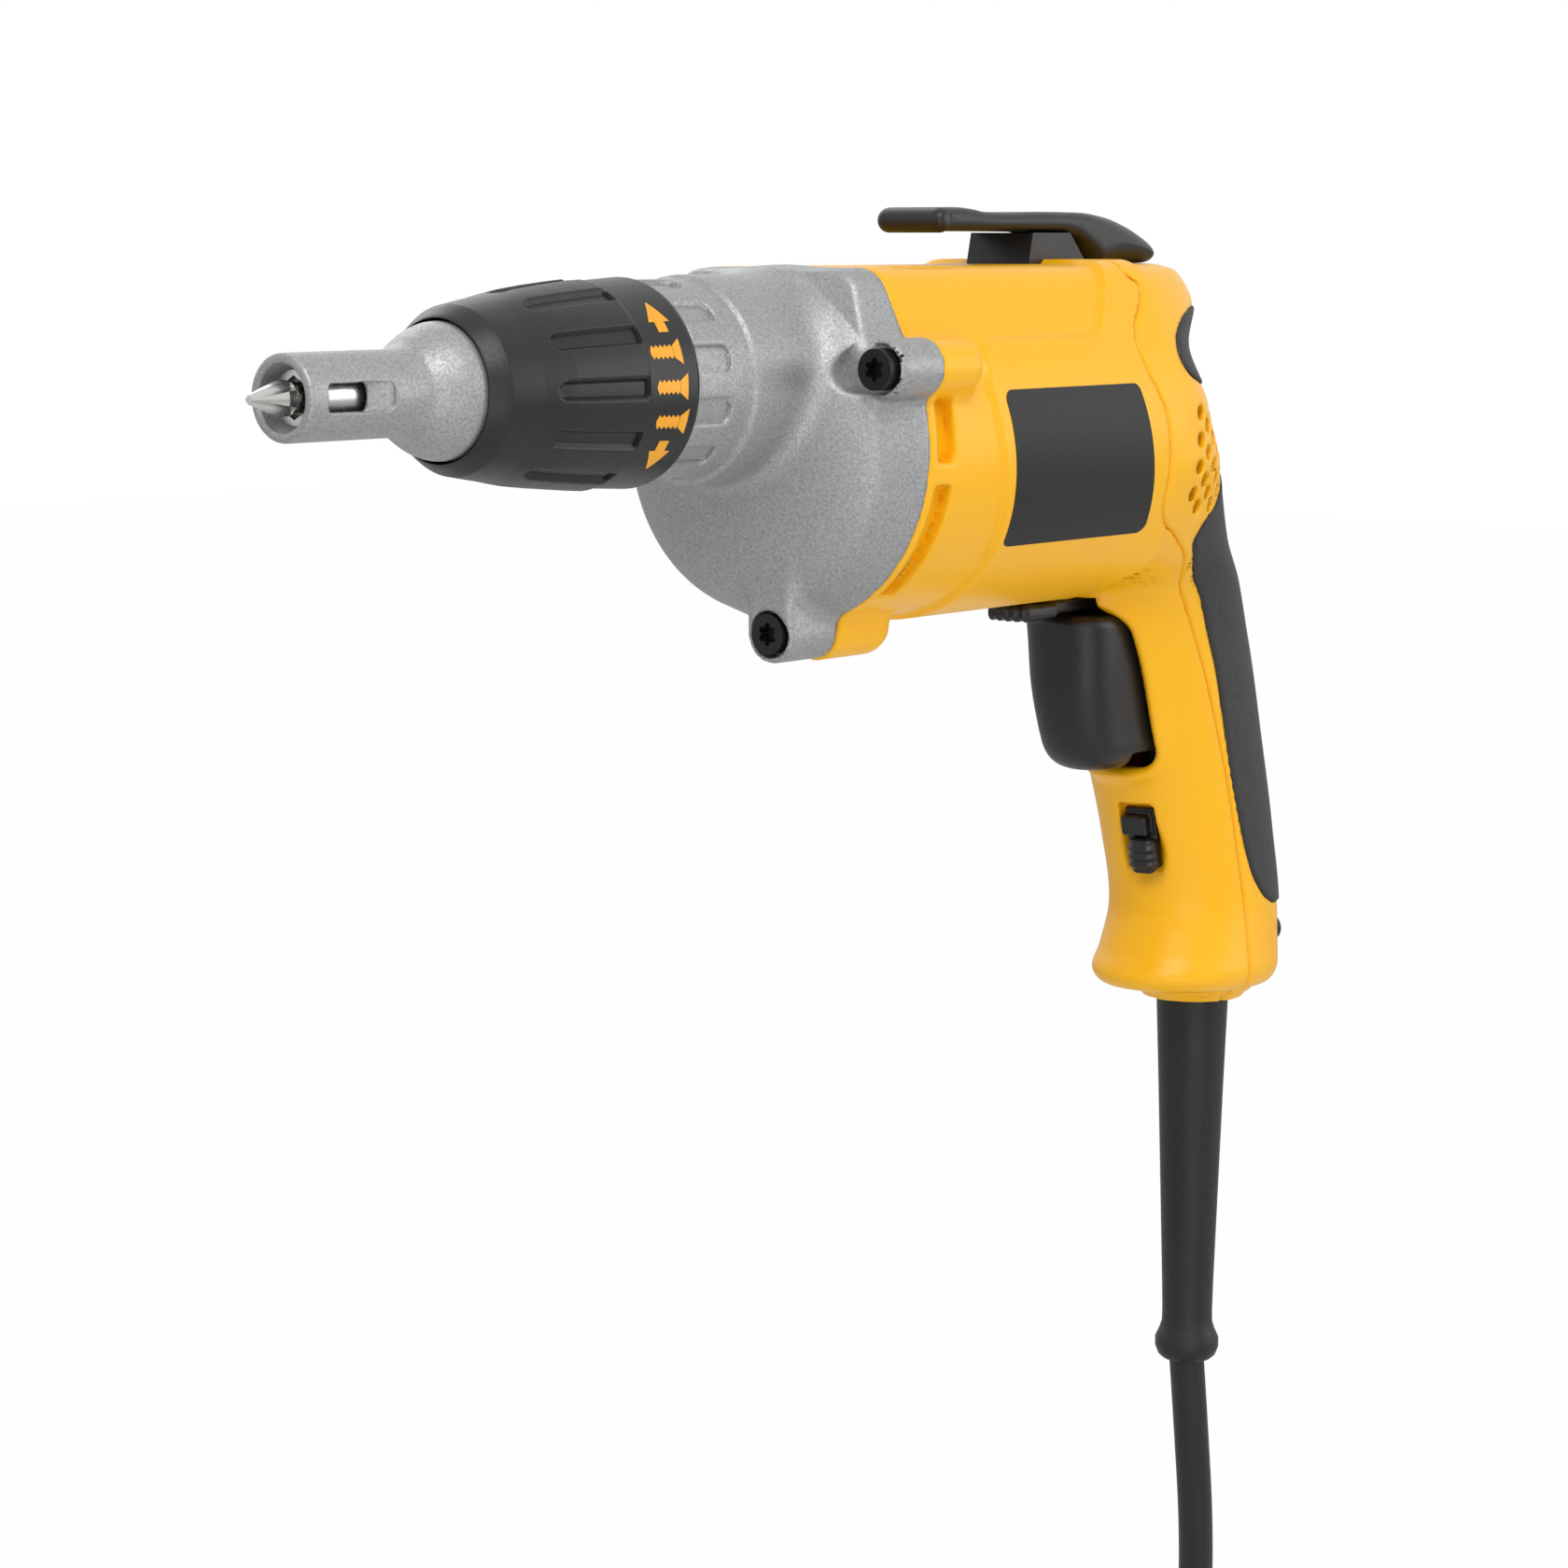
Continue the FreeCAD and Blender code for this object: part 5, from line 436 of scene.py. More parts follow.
def crossings(gap, value, axes, step, axis):
    """Where grid edges along one axis cross the surface, by false position, with the ring of four cells round
    each edge, turned so that it faces outwards."""
    unit = np.eye(3, dtype=int)
    u, v = unit[(axis + 1) % 3], unit[(axis + 2) % 3]
    inside = value < 0.0
    nearer = tuple(slice(None, -1) if i == axis else slice(None) for i in range(3))
    farther = tuple(slice(1, None) if i == axis else slice(None) for i in range(3))
    at = np.argwhere(inside[nearer] != inside[farther])
    near = value[tuple(at.T)]
    far = value[tuple((at + unit[axis]).T)]
    base = np.stack([axes[i][at[:, i]] for i in range(3)], axis=1)
    low, high = np.zeros(len(at)), np.ones(len(at))
    low_value, high_value = near.copy(), far.copy()
    for _ in range(REFINEMENTS):
        share = low + (high - low) * low_value / (low_value - high_value)
        points = base + np.outer(share, step * unit[axis])
        middle = gap(*points.T)
        same = (middle < 0.0) == (low_value < 0.0)
        low, low_value = np.where(same, share, low), np.where(same, middle, low_value)
        high, high_value = np.where(same, high, share), np.where(same, high_value, middle)
        flat = np.abs(low_value - high_value) < 1e-9
        high_value = np.where(flat, low_value + np.where(near < 0.0, 1e-9, -1e-9), high_value)
    ring = np.stack([at, at - u, at - u - v, at - v], axis=1)
    ring[near >= 0.0] = ring[near >= 0.0][:, ::-1]
    return points, ring


def contoured(gap, low, high, step):
    """Vertices and four-sided faces of the surface where a gap is zero, between two corners: each vertex
    solves its cell's tangent planes by least squares about the mean of the crossings."""
    axes = [np.arange(a - step, b + 1.6 * step, step) for a, b in zip(low, high)]
    value = gap(*np.meshgrid(*axes, indexing="ij", sparse=True))
    cells = tuple(len(axis) - 1 for axis in axes)
    found = [crossings(gap, value, axes, step, axis) for axis in range(3)]
    points = np.concatenate([points for points, _ in found])
    rings = np.concatenate([ring for _, ring in found])
    owner_ids = np.ravel_multi_index(np.moveaxis(rings, 2, 0), cells)
    used, faces = np.unique(owner_ids, return_inverse=True)
    faces = faces.reshape(owner_ids.shape)
    owner = faces.ravel()
    planes = np.repeat(outward(gap, points), 4, axis=0)
    touched = np.repeat(points, 4, axis=0)
    number = np.bincount(owner)[:, None]
    mean = np.stack([np.bincount(owner, touched[:, i]) for i in range(3)], axis=1) / number
    offset = np.einsum("ij,ij->i", planes, touched - mean[owner])
    right = np.stack([np.bincount(owner, planes[:, i] * offset) for i in range(3)], axis=1)
    square = np.empty((len(used), 3, 3))
    for i in range(3):
        for j in range(3):
            square[:, i, j] = np.bincount(owner, planes[:, i] * planes[:, j])
    move = np.linalg.solve(square + PLANE_SLACK * np.eye(3), right[:, :, None])[:, :, 0]
    cell = np.stack(np.unravel_index(used, cells), axis=1)
    corner = np.stack([axes[i][cell[:, i]] for i in range(3)], axis=1)
    return np.clip(mean + move, corner - 0.05 * step, corner + 1.05 * step), faces


def dressed(mesh, name, body, material, nodes):
    """A finished mesh as a piece: linked, with its finish, riding on a body and standing for its nodes."""
    mesh.materials.append(material)
    piece = bpy.data.objects.new(name, mesh)
    bpy.context.scene.collection.objects.link(piece)
    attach(piece, body)
    if nodes:
        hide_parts(*nodes)
    print(name, "faces:", len(mesh.polygons))
    return piece


CORNER_SHARE = 0.14


def moulded(name, gap, low, high, step, body, material, nodes):
    """A piece from its gap. Each face corner is shaded with the direction a little way into its own face, so
    rims stay crisp and round walls smooth."""
    vertices, faces = contoured(gap, low, high, step)
    mesh = bpy.data.meshes.new(name)
    mesh.from_pydata(placed(vertices).tolist(), [], faces.tolist())
    corners = vertices[faces]
    inner = corners + CORNER_SHARE * (corners.mean(axis=1, keepdims=True) - corners)
    mesh.shade_smooth()
    mesh.normals_split_custom_set(outward(gap, inner.reshape(-1, 3)).tolist())
    return dressed(mesh, name, body, material, nodes)


print("a body's grid edges are met by false position,", REFINEMENTS, "times")

# %% [markdown]
# ## Motor housing
# On the real tool a round motor barrel lies under a flat deck, and the handle grows out of its back. A raised
# sleeve carries the plate, bulges on the sides and a foot below take the case screws, and windows by the flange
# let the fan's air out. All of it is one nylon moulding, parted from its rear cover along an S-shaped line.

# %% The barrel under its deck, and the handle's column
MOTOR_Z = -13.3
BARREL_R = 35.3
DECK_Z = 20.9
DECK_HALF = 22.6
DECK_ROUND = 4.5
FLANGE_X = 131.5
BARREL_END = 216.0
WALL = 2.8
OVAL_POWER = 2.15
# Height, front edge, rear edge and half width of the handle's level sections, from the bottom up
HANDLE_SECTIONS = np.array([
    (-152.0, 246.8, 297.0, 18.5), (-137.5, 247.2, 297.0, 18.5), (-131.5, 250.8, 296.8, 17.9),
    (-122.0, 254.0, 296.3, 17.2), (-106.0, 250.2, 293.6, 16.9), (-88.0, 243.6, 289.6, 16.9),
    (-62.0, 232.2, 282.4, 17.6), (-48.0, 223.0, 275.2, 20.3), (-38.0, 190.0, 266.0, 27.5),
    (-28.0, 175.5, 257.8, 33.5), (-18.0, 183.0, 250.3, 36.3), (-8.0, 188.0, 243.6, 36.2),
    (3.0, 190.5, 238.2, 32.8), (14.4, 179.5, 251.6, 26.4), (19.4, 181.5, 250.2, 22.1),
    (20.9, 185.0, 247.0, 18.8)])


def barrel_gap(y, z, middle, radius, top, half):
    """Outside a barrel's section: a circle, and above it straight sides that touch it and lean in to the
    deck's edges. The side is a tangent line, met where the polar angle passes its touching point."""
    rise = top - middle
    touch = np.arctan2(rise, half) - np.arccos(radius / np.hypot(half, rise))
    width, height = np.abs(y), z - middle
    side = width * np.cos(touch) + height * np.sin(touch) - radius
    round_part = np.hypot(width, height) - radius
    return soft_max(np.where(np.arctan2(height, width) > touch, side, round_part), z - top, DECK_ROUND)


def column_gap(x, y, z, inset):
    """Outside the handle: level sections are ovals of power 2.15, and the gap is the oval's value less one,
    divided by its slope."""
    heights, fronts, rears, halves = HANDLE_SECTIONS.T
    front, rear = through(heights, fronts, z), through(heights, rears, z)
    depth, half = 0.5 * (rear - front) - inset, through(heights, halves, z) - inset
    along, across = np.abs(x - 0.5 * (front + rear)) / depth, np.abs(y) / half
    slope = np.hypot(along ** (OVAL_POWER - 1.0) / depth, across ** (OVAL_POWER - 1.0) / half)
    return (along ** OVAL_POWER + across ** OVAL_POWER - 1.0) / np.maximum(OVAL_POWER * slope, 0.02)


print("barrel, mm across:", 2.0 * BARREL_R, "handle sections:", len(HANDLE_SECTIONS))

# %% The housing's outside
SLEEVE_STEP = 1.1
SLEEVE_EDGE = 1.0
SLEEVE_TOP = 7.0
SIDE_BOSS = (33.0, 2.3, 5.4, 147.0)
FOOT = (-7.0, -48.7, 6.2, 149.7)
HEEL = (-141.2, 273.0, 2.8 / 48.0, 6.0)
CORD_X = CORD_EXIT[0]


def heel_z(x):
    """The handle's sloping underside: a height at its middle, less the slope times the way back."""
    middle_z, middle_x, slope, _ = HEEL
    return middle_z - slope * (x - middle_x)


def capsule_gap(y, z, radius, rise=0.0):
    """A round bar seen end on, drawn out upwards by a rise."""
    return np.hypot(y, z - np.clip(z, 0.0, rise)) - radius


def shell_outside(x, y, z):
    """Outside both halves of the housing: barrel and handle melt together, more so below, then come the
    sleeve's step, the screw bulges, the foot, the flange's edge, the heel and the cord's collar."""
    sleeve_x = 151.0 + 10.0 * eased((5.0 - z) / 55.0)
    panel_top = SLEEVE_TOP + 24.0 * eased((x - 190.0) / 24.0)
    panel = soft_max(sleeve_x - x, z - panel_top, 9.0)
    raised = SLEEVE_STEP * eased(0.5 - panel / SLEEVE_EDGE)
    barrel = barrel_gap(y, z, MOTOR_Z, BARREL_R, DECK_Z, DECK_HALF) - raised
    barrel = np.maximum(barrel, x - BARREL_END)
    handle = soft_max(column_gap(x, y, z, 0.0), z - DECK_Z, 2.0)
    body = soft_min(barrel, handle, 0.6 + 8.0 * eased((-30.0 - z) / 14.0))
    boss_y, boss_z, boss_r, boss_end = SIDE_BOSS
    along = np.maximum(x - boss_end + boss_r, 0.0)
    boss = np.sqrt((np.abs(y) - boss_y) ** 2 + (z - boss_z) ** 2 + along ** 2) - boss_r
    body = soft_min(body, boss, 3.0)
    foot_y, foot_z, foot_r, foot_end = FOOT
    foot = soft_max(capsule_gap(y - foot_y, z - foot_z, foot_r, 14.0), x - foot_end, 5.0)
    body = soft_min(body, foot, 2.5)
    body = soft_max(body, FLANGE_X - x, 0.9)
    body = soft_max(body, heel_z(x) - z, HEEL[3])
    ring = np.hypot(x - CORD_X, y)
    collar = np.maximum(soft_max(ring - 13.4, -142.8 - z, 1.2), z + 130.0)
    spigot = np.maximum(soft_max(ring - 11.8, -144.2 - z, 1.0), z + 130.0)
    return soft_min(soft_min(body, collar, 1.2), spigot, 0.8)


print("raised sleeve, mm:", SLEEVE_STEP)

# %% The housing's inside, windows and pockets
BEARING_WALL = (203.0, 212.0)
PARTING = np.array([
    (-160.0, 271.2), (-128.0, 271.2), (-106.0, 267.1), (-76.0, 257.0), (-60.0, 249.0), (-50.0, 241.5),
    (-40.6, 231.9), (-34.3, 220.6), (-32.3, 216.0), (-29.7, 213.0), (-26.5, 211.5), (-18.7, 210.5),
    (-8.4, 208.6), (-4.6, 206.9), (-0.3, 205.0), (4.2, 204.4), (8.5, 206.2), (14.0, 211.8), (16.5, 213.2),
    (19.3, 210.0), (40.0, 209.0)])
SEAM = 0.26
SEAM_ROUND = 1.0
VENT_X, VENT_HALF, VENT_ROUND = 136.65, 2.65, 1.1
VENT_ARCS = ((-4.0, 16.0), (-55.0, -11.0))
LOCK_PLACE = (249.9, -2.2, -103.6)
LOCK_LEAN, LOCK_TURN = np.radians(14.0), np.radians(9.0)


def shell_gap(x, y, z):
    """The housing's wall: its outside less the motor bore, the bearing's seat, the hollow of the handle and
    the hole for the cord's sleeve."""
    bore = np.maximum(
        barrel_gap(y, z, MOTOR_Z, BARREL_R - WALL, DECK_Z - WALL, DECK_HALF - 0.6 * WALL), x - BEARING_WALL[0])
    hollow = np.maximum(column_gap(x, y, z, WALL), BEARING_WALL[1] - x)
    hollow = np.maximum(np.maximum(hollow, heel_z(x) + WALL - z), z - DECK_Z + WALL)
    axle = np.hypot(y, z - MOTOR_Z)
    seat = np.minimum(np.maximum(axle - 9.6, x - 210.1), np.maximum(axle - 4.0, x - 220.0))
    sleeve_hole = np.maximum(np.hypot(x - CORD_X, y) - 8.2, z + 132.0)
    space = np.minimum(np.minimum(bore, hollow), np.minimum(np.maximum(seat, 190.0 - x), sleeve_hole))
    return soft_max(shell_outside(x, y, z), -space, 0.5)


def parted(x, z):
    """How far a point lies behind the S-shaped parting line, squared up by the line's own slope."""
    heights, places = PARTING.T
    lean = (through(heights, places, z + 0.5) - through(heights, places, z - 0.5))
    return (x - through(heights, places, z)) / np.sqrt(1.0 + lean * lean)


def at_lock(x, y, z):
    """Coordinates at the lock slide: out of the handle's face backwards, across it, and along the travel."""
    x, y, z = x - LOCK_PLACE[0], y - LOCK_PLACE[1], z - LOCK_PLACE[2]
    turned_x = x * np.cos(LOCK_TURN) + y * np.sin(LOCK_TURN)
    across = y * np.cos(LOCK_TURN) - x * np.sin(LOCK_TURN)
    return (turned_x * np.cos(LOCK_LEAN) + z * np.sin(LOCK_LEAN), across,
            z * np.cos(LOCK_LEAN) - turned_x * np.sin(LOCK_LEAN))


def narrowing(z):
    """How much narrower, on each side, the trigger and its mouth are towards the bottom: an eased step."""
    return 1.2 * eased((-58.0 - z) / 28.0)


def housing_gap(x, y, z):
    """The front half: the wall with a rolled rim round the trigger, a backing for the lock and a louvre ring
    behind the windows, less windows, deck slots, the trigger's pocket, the lever's slot, the lock's scoop and
    track, the screw holes and everything behind the parting line."""
    mouth = box_gap((np.abs(y) + narrowing(z), z + 70.8), (10.7, 17.85), 4.5)
    rim = 2.2 * np.exp(-((mouth - 2.0) / 1.9) ** 2) * eased((252.0 - x) / 10.0) * eased((x - 214.0) / 10.0)
    wall = shell_gap(x, y, z) - rim
    depth, across, travel = at_lock(x, y, z)
    backing = box_gap((depth - 3.3, across, travel + 3.0), (4.0, 8.0, 14.0), 1.0)
    wall = np.minimum(wall, np.maximum(backing, column_gap(x, y, z, 1.4)))
    angle = np.degrees(np.arctan2(z - MOTOR_Z, np.abs(y)))
    for low, high in VENT_ARCS:
        half = np.radians(0.5 * (high - low)) * BARREL_R
        arc = np.radians(angle - 0.5 * (high + low)) * BARREL_R
        window = box_gap((x - VENT_X, arc), (VENT_HALF, half), VENT_ROUND)
        window = np.maximum(window, 24.0 - np.hypot(y, z - MOTOR_Z))
        wall = soft_max(wall, -window, 0.7)
    louvre = box_gap((x - 139.2, np.hypot(y, z - MOTOR_Z) - 31.35), (2.9, 1.3), 0.4)
    wall = np.minimum(wall, louvre)
    slot = box_gap((x - 149.5, np.abs(np.abs(y) - 13.5) - 4.5), (10.0, 1.6), 1.4)
    wall = soft_max(wall, -np.maximum(slot, DECK_Z - 2.2 - z), 0.5)
    pocket = np.maximum(mouth, np.maximum(208.0 - x, x - 257.0))
    wall = soft_max(wall, -pocket, 1.0)
    lever_slot = box_gap((y, z + 51.35), (7.7, 1.7), 0.6)
    wall = soft_max(wall, -np.maximum(lever_slot, np.maximum(196.0 - x, x - 254.5)), 0.5)
    scoop = np.sqrt((depth + 8.0) ** 2 + (1.35 * across) ** 2 + (0.85 * (travel + 5.5)) ** 2) - 11.6
    wall = soft_max(wall, -scoop, 1.2)
    track = box_gap((depth + 3.0, across, travel + 1.6), (6.2, 4.4, 8.6), 1.6)
    wall = soft_max(wall, -track, 0.4)
    for side in (-1.0, 1.0):
        screw = np.maximum(np.hypot(y - side * SIDE_BOSS[0], z - SIDE_BOSS[1]) - 2.4, x - 146.3)
        wall = np.maximum(wall, -screw)
    wall = np.maximum(wall, -np.maximum(np.hypot(y - FOOT[0], z - FOOT[1]) - 2.4, x - 146.3))
    return soft_max(wall, parted(x, z), SEAM_ROUND)


moulded(
    "housing_moulding", housing_gap, (131.4, -39.6, -146.6), (277.0, 39.6, 21.2), 1.05, "frame",
    YELLOW_NYLON, ["motor_housing"])

# %% [markdown]
# ## Rear cover and its soft pieces
# The cover closes the back with two screws. Rows of small holes let air in, and two soft pieces are moulded
# over it: a pad for the web of the hand, and the grip down the handle's back. They stand a little proud, with
# a rounded border, and the cover has a shallow bed for each.

# %% Cover, back grip and thumb pad
GRIP_PROUD = 0.5
GRIP_BED = 1.6
BACK_GRIP = np.array([
    (-124.5, 310.0), (-122.4, 283.0), (-119.1, 277.0), (-113.2, 272.6), (-95.5, 265.6), (-67.6, 256.8),
    (-50.4, 247.0), (-40.1, 234.4), (-36.4, 231.0), (-33.4, 231.6), (-29.4, 236.5), (-25.6, 241.0),
    (-19.0, 247.0), (-15.0, 262.0), (-13.0, 310.0)])
THUMB_PAD = np.array([
    (-6.0, 272.0), (-4.6, 236.0), (-3.0, 224.0), (-1.4, 220.0), (0.5, 218.2), (2.6, 217.6), (5.4, 218.6),
    (9.1, 224.0), (12.0, 235.0), (13.4, 272.0)])
HOLE_CENTRE_X, HOLE_R = 225.0, 1.65
HOLE_ANGLES = (57.8, 6.2, 7)
HOLE_ROWS = (-9.3, 5.6, 4)


def ahead_of(edge, x, z):
    """How far a point lies in front of a soft piece's border, squared up by the border's slope."""
    heights, places = edge.T
    lean = through(heights, places, z + 0.4) - through(heights, places, z - 0.4)
    gap = (through(heights, places, z) - x) / np.sqrt(1.0 + (lean / 0.8) ** 2)
    return np.maximum(gap, np.maximum(heights[0] - z, z - heights[-1]))


def soft_layer(edge):
    """The gap of a soft piece: a layer between two insets of the handle, behind its border."""
    def gap(x, y, z):
        layer = np.maximum(column_gap(x, y, z, -GRIP_PROUD), -column_gap(x, y, z, GRIP_BED))
        return soft_max(layer, ahead_of(edge, x, z), 1.3)
    return gap


def cover_gap(x, y, z):
    """The back half: the wall behind the parting line, less the soft pieces' beds, the nearest of the air
    holes, which fan out from one axis in staggered columns, and the screws' counterbores."""
    wall = soft_max(shell_gap(x, y, z), SEAM - parted(x, z), SEAM_ROUND)
    bed = np.minimum(ahead_of(BACK_GRIP, x, z), ahead_of(THUMB_PAD, x, z)) - 0.1
    wall = soft_max(wall, -np.maximum(bed, -column_gap(x, y, z, GRIP_BED + 0.05)), 0.4)
    first, pitch, count = HOLE_ANGLES
    angle = np.degrees(np.arctan2(np.abs(y), x - HOLE_CENTRE_X))
    column = np.clip(np.round((angle - first) / pitch), 0, count - 1)
    top, row_pitch, rows = HOLE_ROWS
    start = top - 0.5 * row_pitch * (column % 2)
    row = np.clip(np.round((start - z) / row_pitch), 0, rows - 1)
    reach = np.hypot(x - HOLE_CENTRE_X, y)
    aside = reach * np.sin(np.radians(angle - first - pitch * column))
    hole = np.maximum(np.hypot(aside, z - start + row_pitch * row) - HOLE_R, 12.0 - reach)
    wall = soft_max(wall, -hole, 0.4)
    screw = np.hypot(np.abs(y) - 10.8, z + 129.8)
    return soft_max(wall, -np.minimum(np.maximum(screw - 3.5, 288.0 - x), screw - 2.0), 0.5)


moulded(
    "rear_cover_moulding", cover_gap, (203.6, -37.6, -146.6), (298.0, 37.6, 21.2), 0.9, "frame",
    YELLOW_NYLON, ["rear_cover"])
moulded(
    "back_grip_overmould", soft_layer(BACK_GRIP), (229.0, -37.4, -126.0), (299.5, 37.4, -11.5), 0.7, "frame",
    BLACK_ELASTOMER, ["back_grip"])
moulded(
    "thumb_pad_overmould", soft_layer(THUMB_PAD), (215.5, -37.8, -7.5), (258.0, 37.8, 14.8), 0.6, "frame",
    BLACK_ELASTOMER, ["thumb_pad"])

# %% [markdown]
# ## Gear case
# The case is die-cast aluminium: a band with a ring of shallow notches, a smooth neck round the spindle, and a
# dome over the gears that swells to the flange. Three bosses take the screws, each with a recess that runs out
# of the dome like the mark of a cutter. Casting rounds every edge, so the fillets here are wide.

# %% Case from neck, dome and bosses
DOME_CENTRE, DOME_DEPTH, DOME_R = 131.0, 19.8, 36.5
DOME_EDGE, EDGE_SHARE = 33.0, 0.3
RIM_SLOPE = 0.36
NECK_R, BAND_R, SEAT_R = 19.7, 18.9, 16.1
NOTCHES = 12
SCREW_SEAT = 121.3


def drum_gap(x, ring, start, end, radius, edge):
    """A round bar along x, given the distance from its axis, with rounded rims."""
    return box_gap((x - 0.5 * (start + end), ring), (0.5 * (end - start), radius), edge)


def dome_gap(x, axle, depth, radius):
    """Half an ellipsoid about the motor axis: its value less one, divided by its slope."""
    back = np.maximum(DOME_CENTRE - x, 0.0)
    value = (back / depth) ** 2 + (axle / radius) ** 2
    return (value - 1.0) / np.maximum(2.0 * np.hypot(back / depth ** 2, axle / radius ** 2), 0.02)


def case_gap(x, y, z):
    """The casting: a neck and a dome with a fillet. Past the dome's edge its distance grows by a share only,
    which fills the shoulder, and the rim cuts it: a section like the barrel's that grows towards the flange.
    Then come bosses, less notches, recesses and chambers."""
    ring, axle = np.hypot(y, z), np.hypot(y, z - MOTOR_Z)
    shrink = RIM_SLOPE * np.maximum(FLANGE_X - x, 0.0)
    rim_top = DECK_Z - 0.06 * (FLANGE_X - x)
    rim = barrel_gap(y, z, MOTOR_Z, BARREL_R - shrink, rim_top, DECK_HALF - 0.6 * shrink)
    spread = np.minimum(axle, DOME_EDGE + EDGE_SHARE * (axle - DOME_EDGE))
    dome = soft_max(dome_gap(x, spread, DOME_DEPTH, DOME_R), rim, 0.8)
    body = soft_min(drum_gap(x, ring, 99.6, 140.0, NECK_R, 0.9), dome, 4.0)
    boss_y, boss_z, boss_r, _ = SIDE_BOSS
    ahead = np.maximum(122.0 - x, 0.0)
    boss = np.sqrt((np.abs(y) - boss_y) ** 2 + (z - boss_z) ** 2 + ahead ** 2) - boss_r - 0.3
    body = soft_min(body, boss, 2.6)
    foot = soft_max(capsule_gap(y - FOOT[0], z - FOOT[1], 5.7, 13.0), 117.2 - x, 2.4)
    body = soft_min(body, foot, 2.6)
    turn = np.arctan2(y, z) * NOTCHES / (2.0 * np.pi) - 0.5
    arc = (turn - np.round(turn)) * 2.0 * np.pi / NOTCHES * BAND_R
    notch = np.maximum(box_gap((x - 87.0, arc), (7.0, 2.4), 1.6), BAND_R - 0.9 - ring)
    band = soft_max(drum_gap(x, ring, 84.4, 104.0, BAND_R, 0.4), -notch, 0.7)
    body = soft_min(body, band, 0.4)
    body = np.minimum(body, drum_gap(x, ring, 68.5, 90.0, SEAT_R, 0.3))
    body = np.minimum(body, drum_gap(x, ring, 58.0, 75.0, 11.4, 0.3))
    for middle_y, middle_z, reach in ((np.sign(y) * boss_y, boss_z, 6.0), (FOOT[0], FOOT[1], 0.0)):
        screw = np.hypot(y - middle_y, z - middle_z)
        inward = np.clip(-np.sign(middle_y) * (y - middle_y), 0.0, reach)
        oblong = np.hypot(y - middle_y + np.sign(middle_y) * inward, z - middle_z)
        recess = np.maximum(oblong - 4.5, np.maximum(x - SCREW_SEAT, 104.0 - x))
        body = soft_max(body, -np.minimum(recess, np.maximum(screw - 2.6, 118.0 - x)), 1.0)
    body = soft_max(body, x - FLANGE_X + 0.06, 0.7)
    space = np.minimum(np.maximum(ring - 9.0, x - 82.0), np.maximum(ring - 6.3, x - 90.0))
    space = np.minimum(space, np.maximum(ring - 11.95, 88.5 - x))
    space = np.minimum(space, np.maximum(axle - 5.5, 103.5 - x))
    space = np.minimum(space, dome_gap(x, axle, DOME_DEPTH - 4.5, DOME_R - 4.5))
    space = np.minimum(space, np.maximum(axle - 27.0, 126.7 - x))
    groove = np.maximum(14.9 - ring, np.abs(x - 76.0) - 1.02)
    return np.maximum(body, -np.minimum(space, groove))


moulded(
    "case_casting", case_gap, (58.0, -39.4, -55.0), (131.6, 39.4, 21.4), 0.8, "frame", CAST_ALUMINIUM,
    ["gear_case"])

# %% [markdown]
# ## Nosepiece
# The locator is another small casting: a tube with a window on each side, through which the bit holder shines,
# and a bell that hides the collar's thread. The cutter that opened the window ran out behind it.

# %% Nosepiece from a turned outline
NOSE_OUTSIDE = np.array([
    (0.0, 7.6), (20.0, 7.6), (23.5, 7.6), (27.4, 8.2), (30.3, 10.0), (33.6, 11.6), (36.2, 12.2), (40.0, 12.3),
    (43.4, 12.2), (44.0, 14.5), (64.0, 14.5)])
NOSE_INSIDE = np.array([
    (-1.0, 5.75), (14.0, 5.6), (24.0, 5.6), (34.7, 8.4), (45.4, 8.8), (45.6, 11.8), (65.0, 11.8)])


def nose_gap(x, y, z):
    """A turned tube: the distance from the axis less the outline's radius, less a bore, with a window right
    through and a shallow run-out behind it."""
    ring = np.hypot(y, z)
    outside = ring - through(NOSE_OUTSIDE[:, 0], NOSE_OUTSIDE[:, 1], x)
    body = soft_max(soft_max(outside, -x, 0.9), x - 64.0, 0.5)
    body = soft_max(body, np.interp(x, NOSE_INSIDE[:, 0], NOSE_INSIDE[:, 1]) - ring, 0.8)
    window = box_gap((x - 9.2, z), (5.0, 2.45), 1.1)
    body = soft_max(body, -window, 0.5)
    run_out = np.maximum(box_gap((x - 15.0, z), (4.6, 2.45), 1.3), 6.2 + 0.14 * (x - 14.0) - np.abs(y))
    return soft_max(body, -run_out, 0.4)


moulded(
    "nose_casting", nose_gap, (-0.1, -14.6, -14.6), (64.1, 14.6, 14.6), 0.42, "nose", CAST_ALUMINIUM,
    ["nosepiece"])

# %% [markdown]
# ## Trigger, lever and lock
# The finger meets these three. The trigger is a deep blade with a rounded nose, the reversing lever a ribbed
# knob under the barrel, and the lock a small slide with a ribbed oval pad. Ribs are a cosine added to the gap.

# %% Trigger, reversing lever and lock slide
TRIGGER_FRONT = np.array([(-88.0, 225.8), (-78.0, 221.9), (-68.0, 219.9), (-60.0, 219.4), (-54.4, 218.6)])


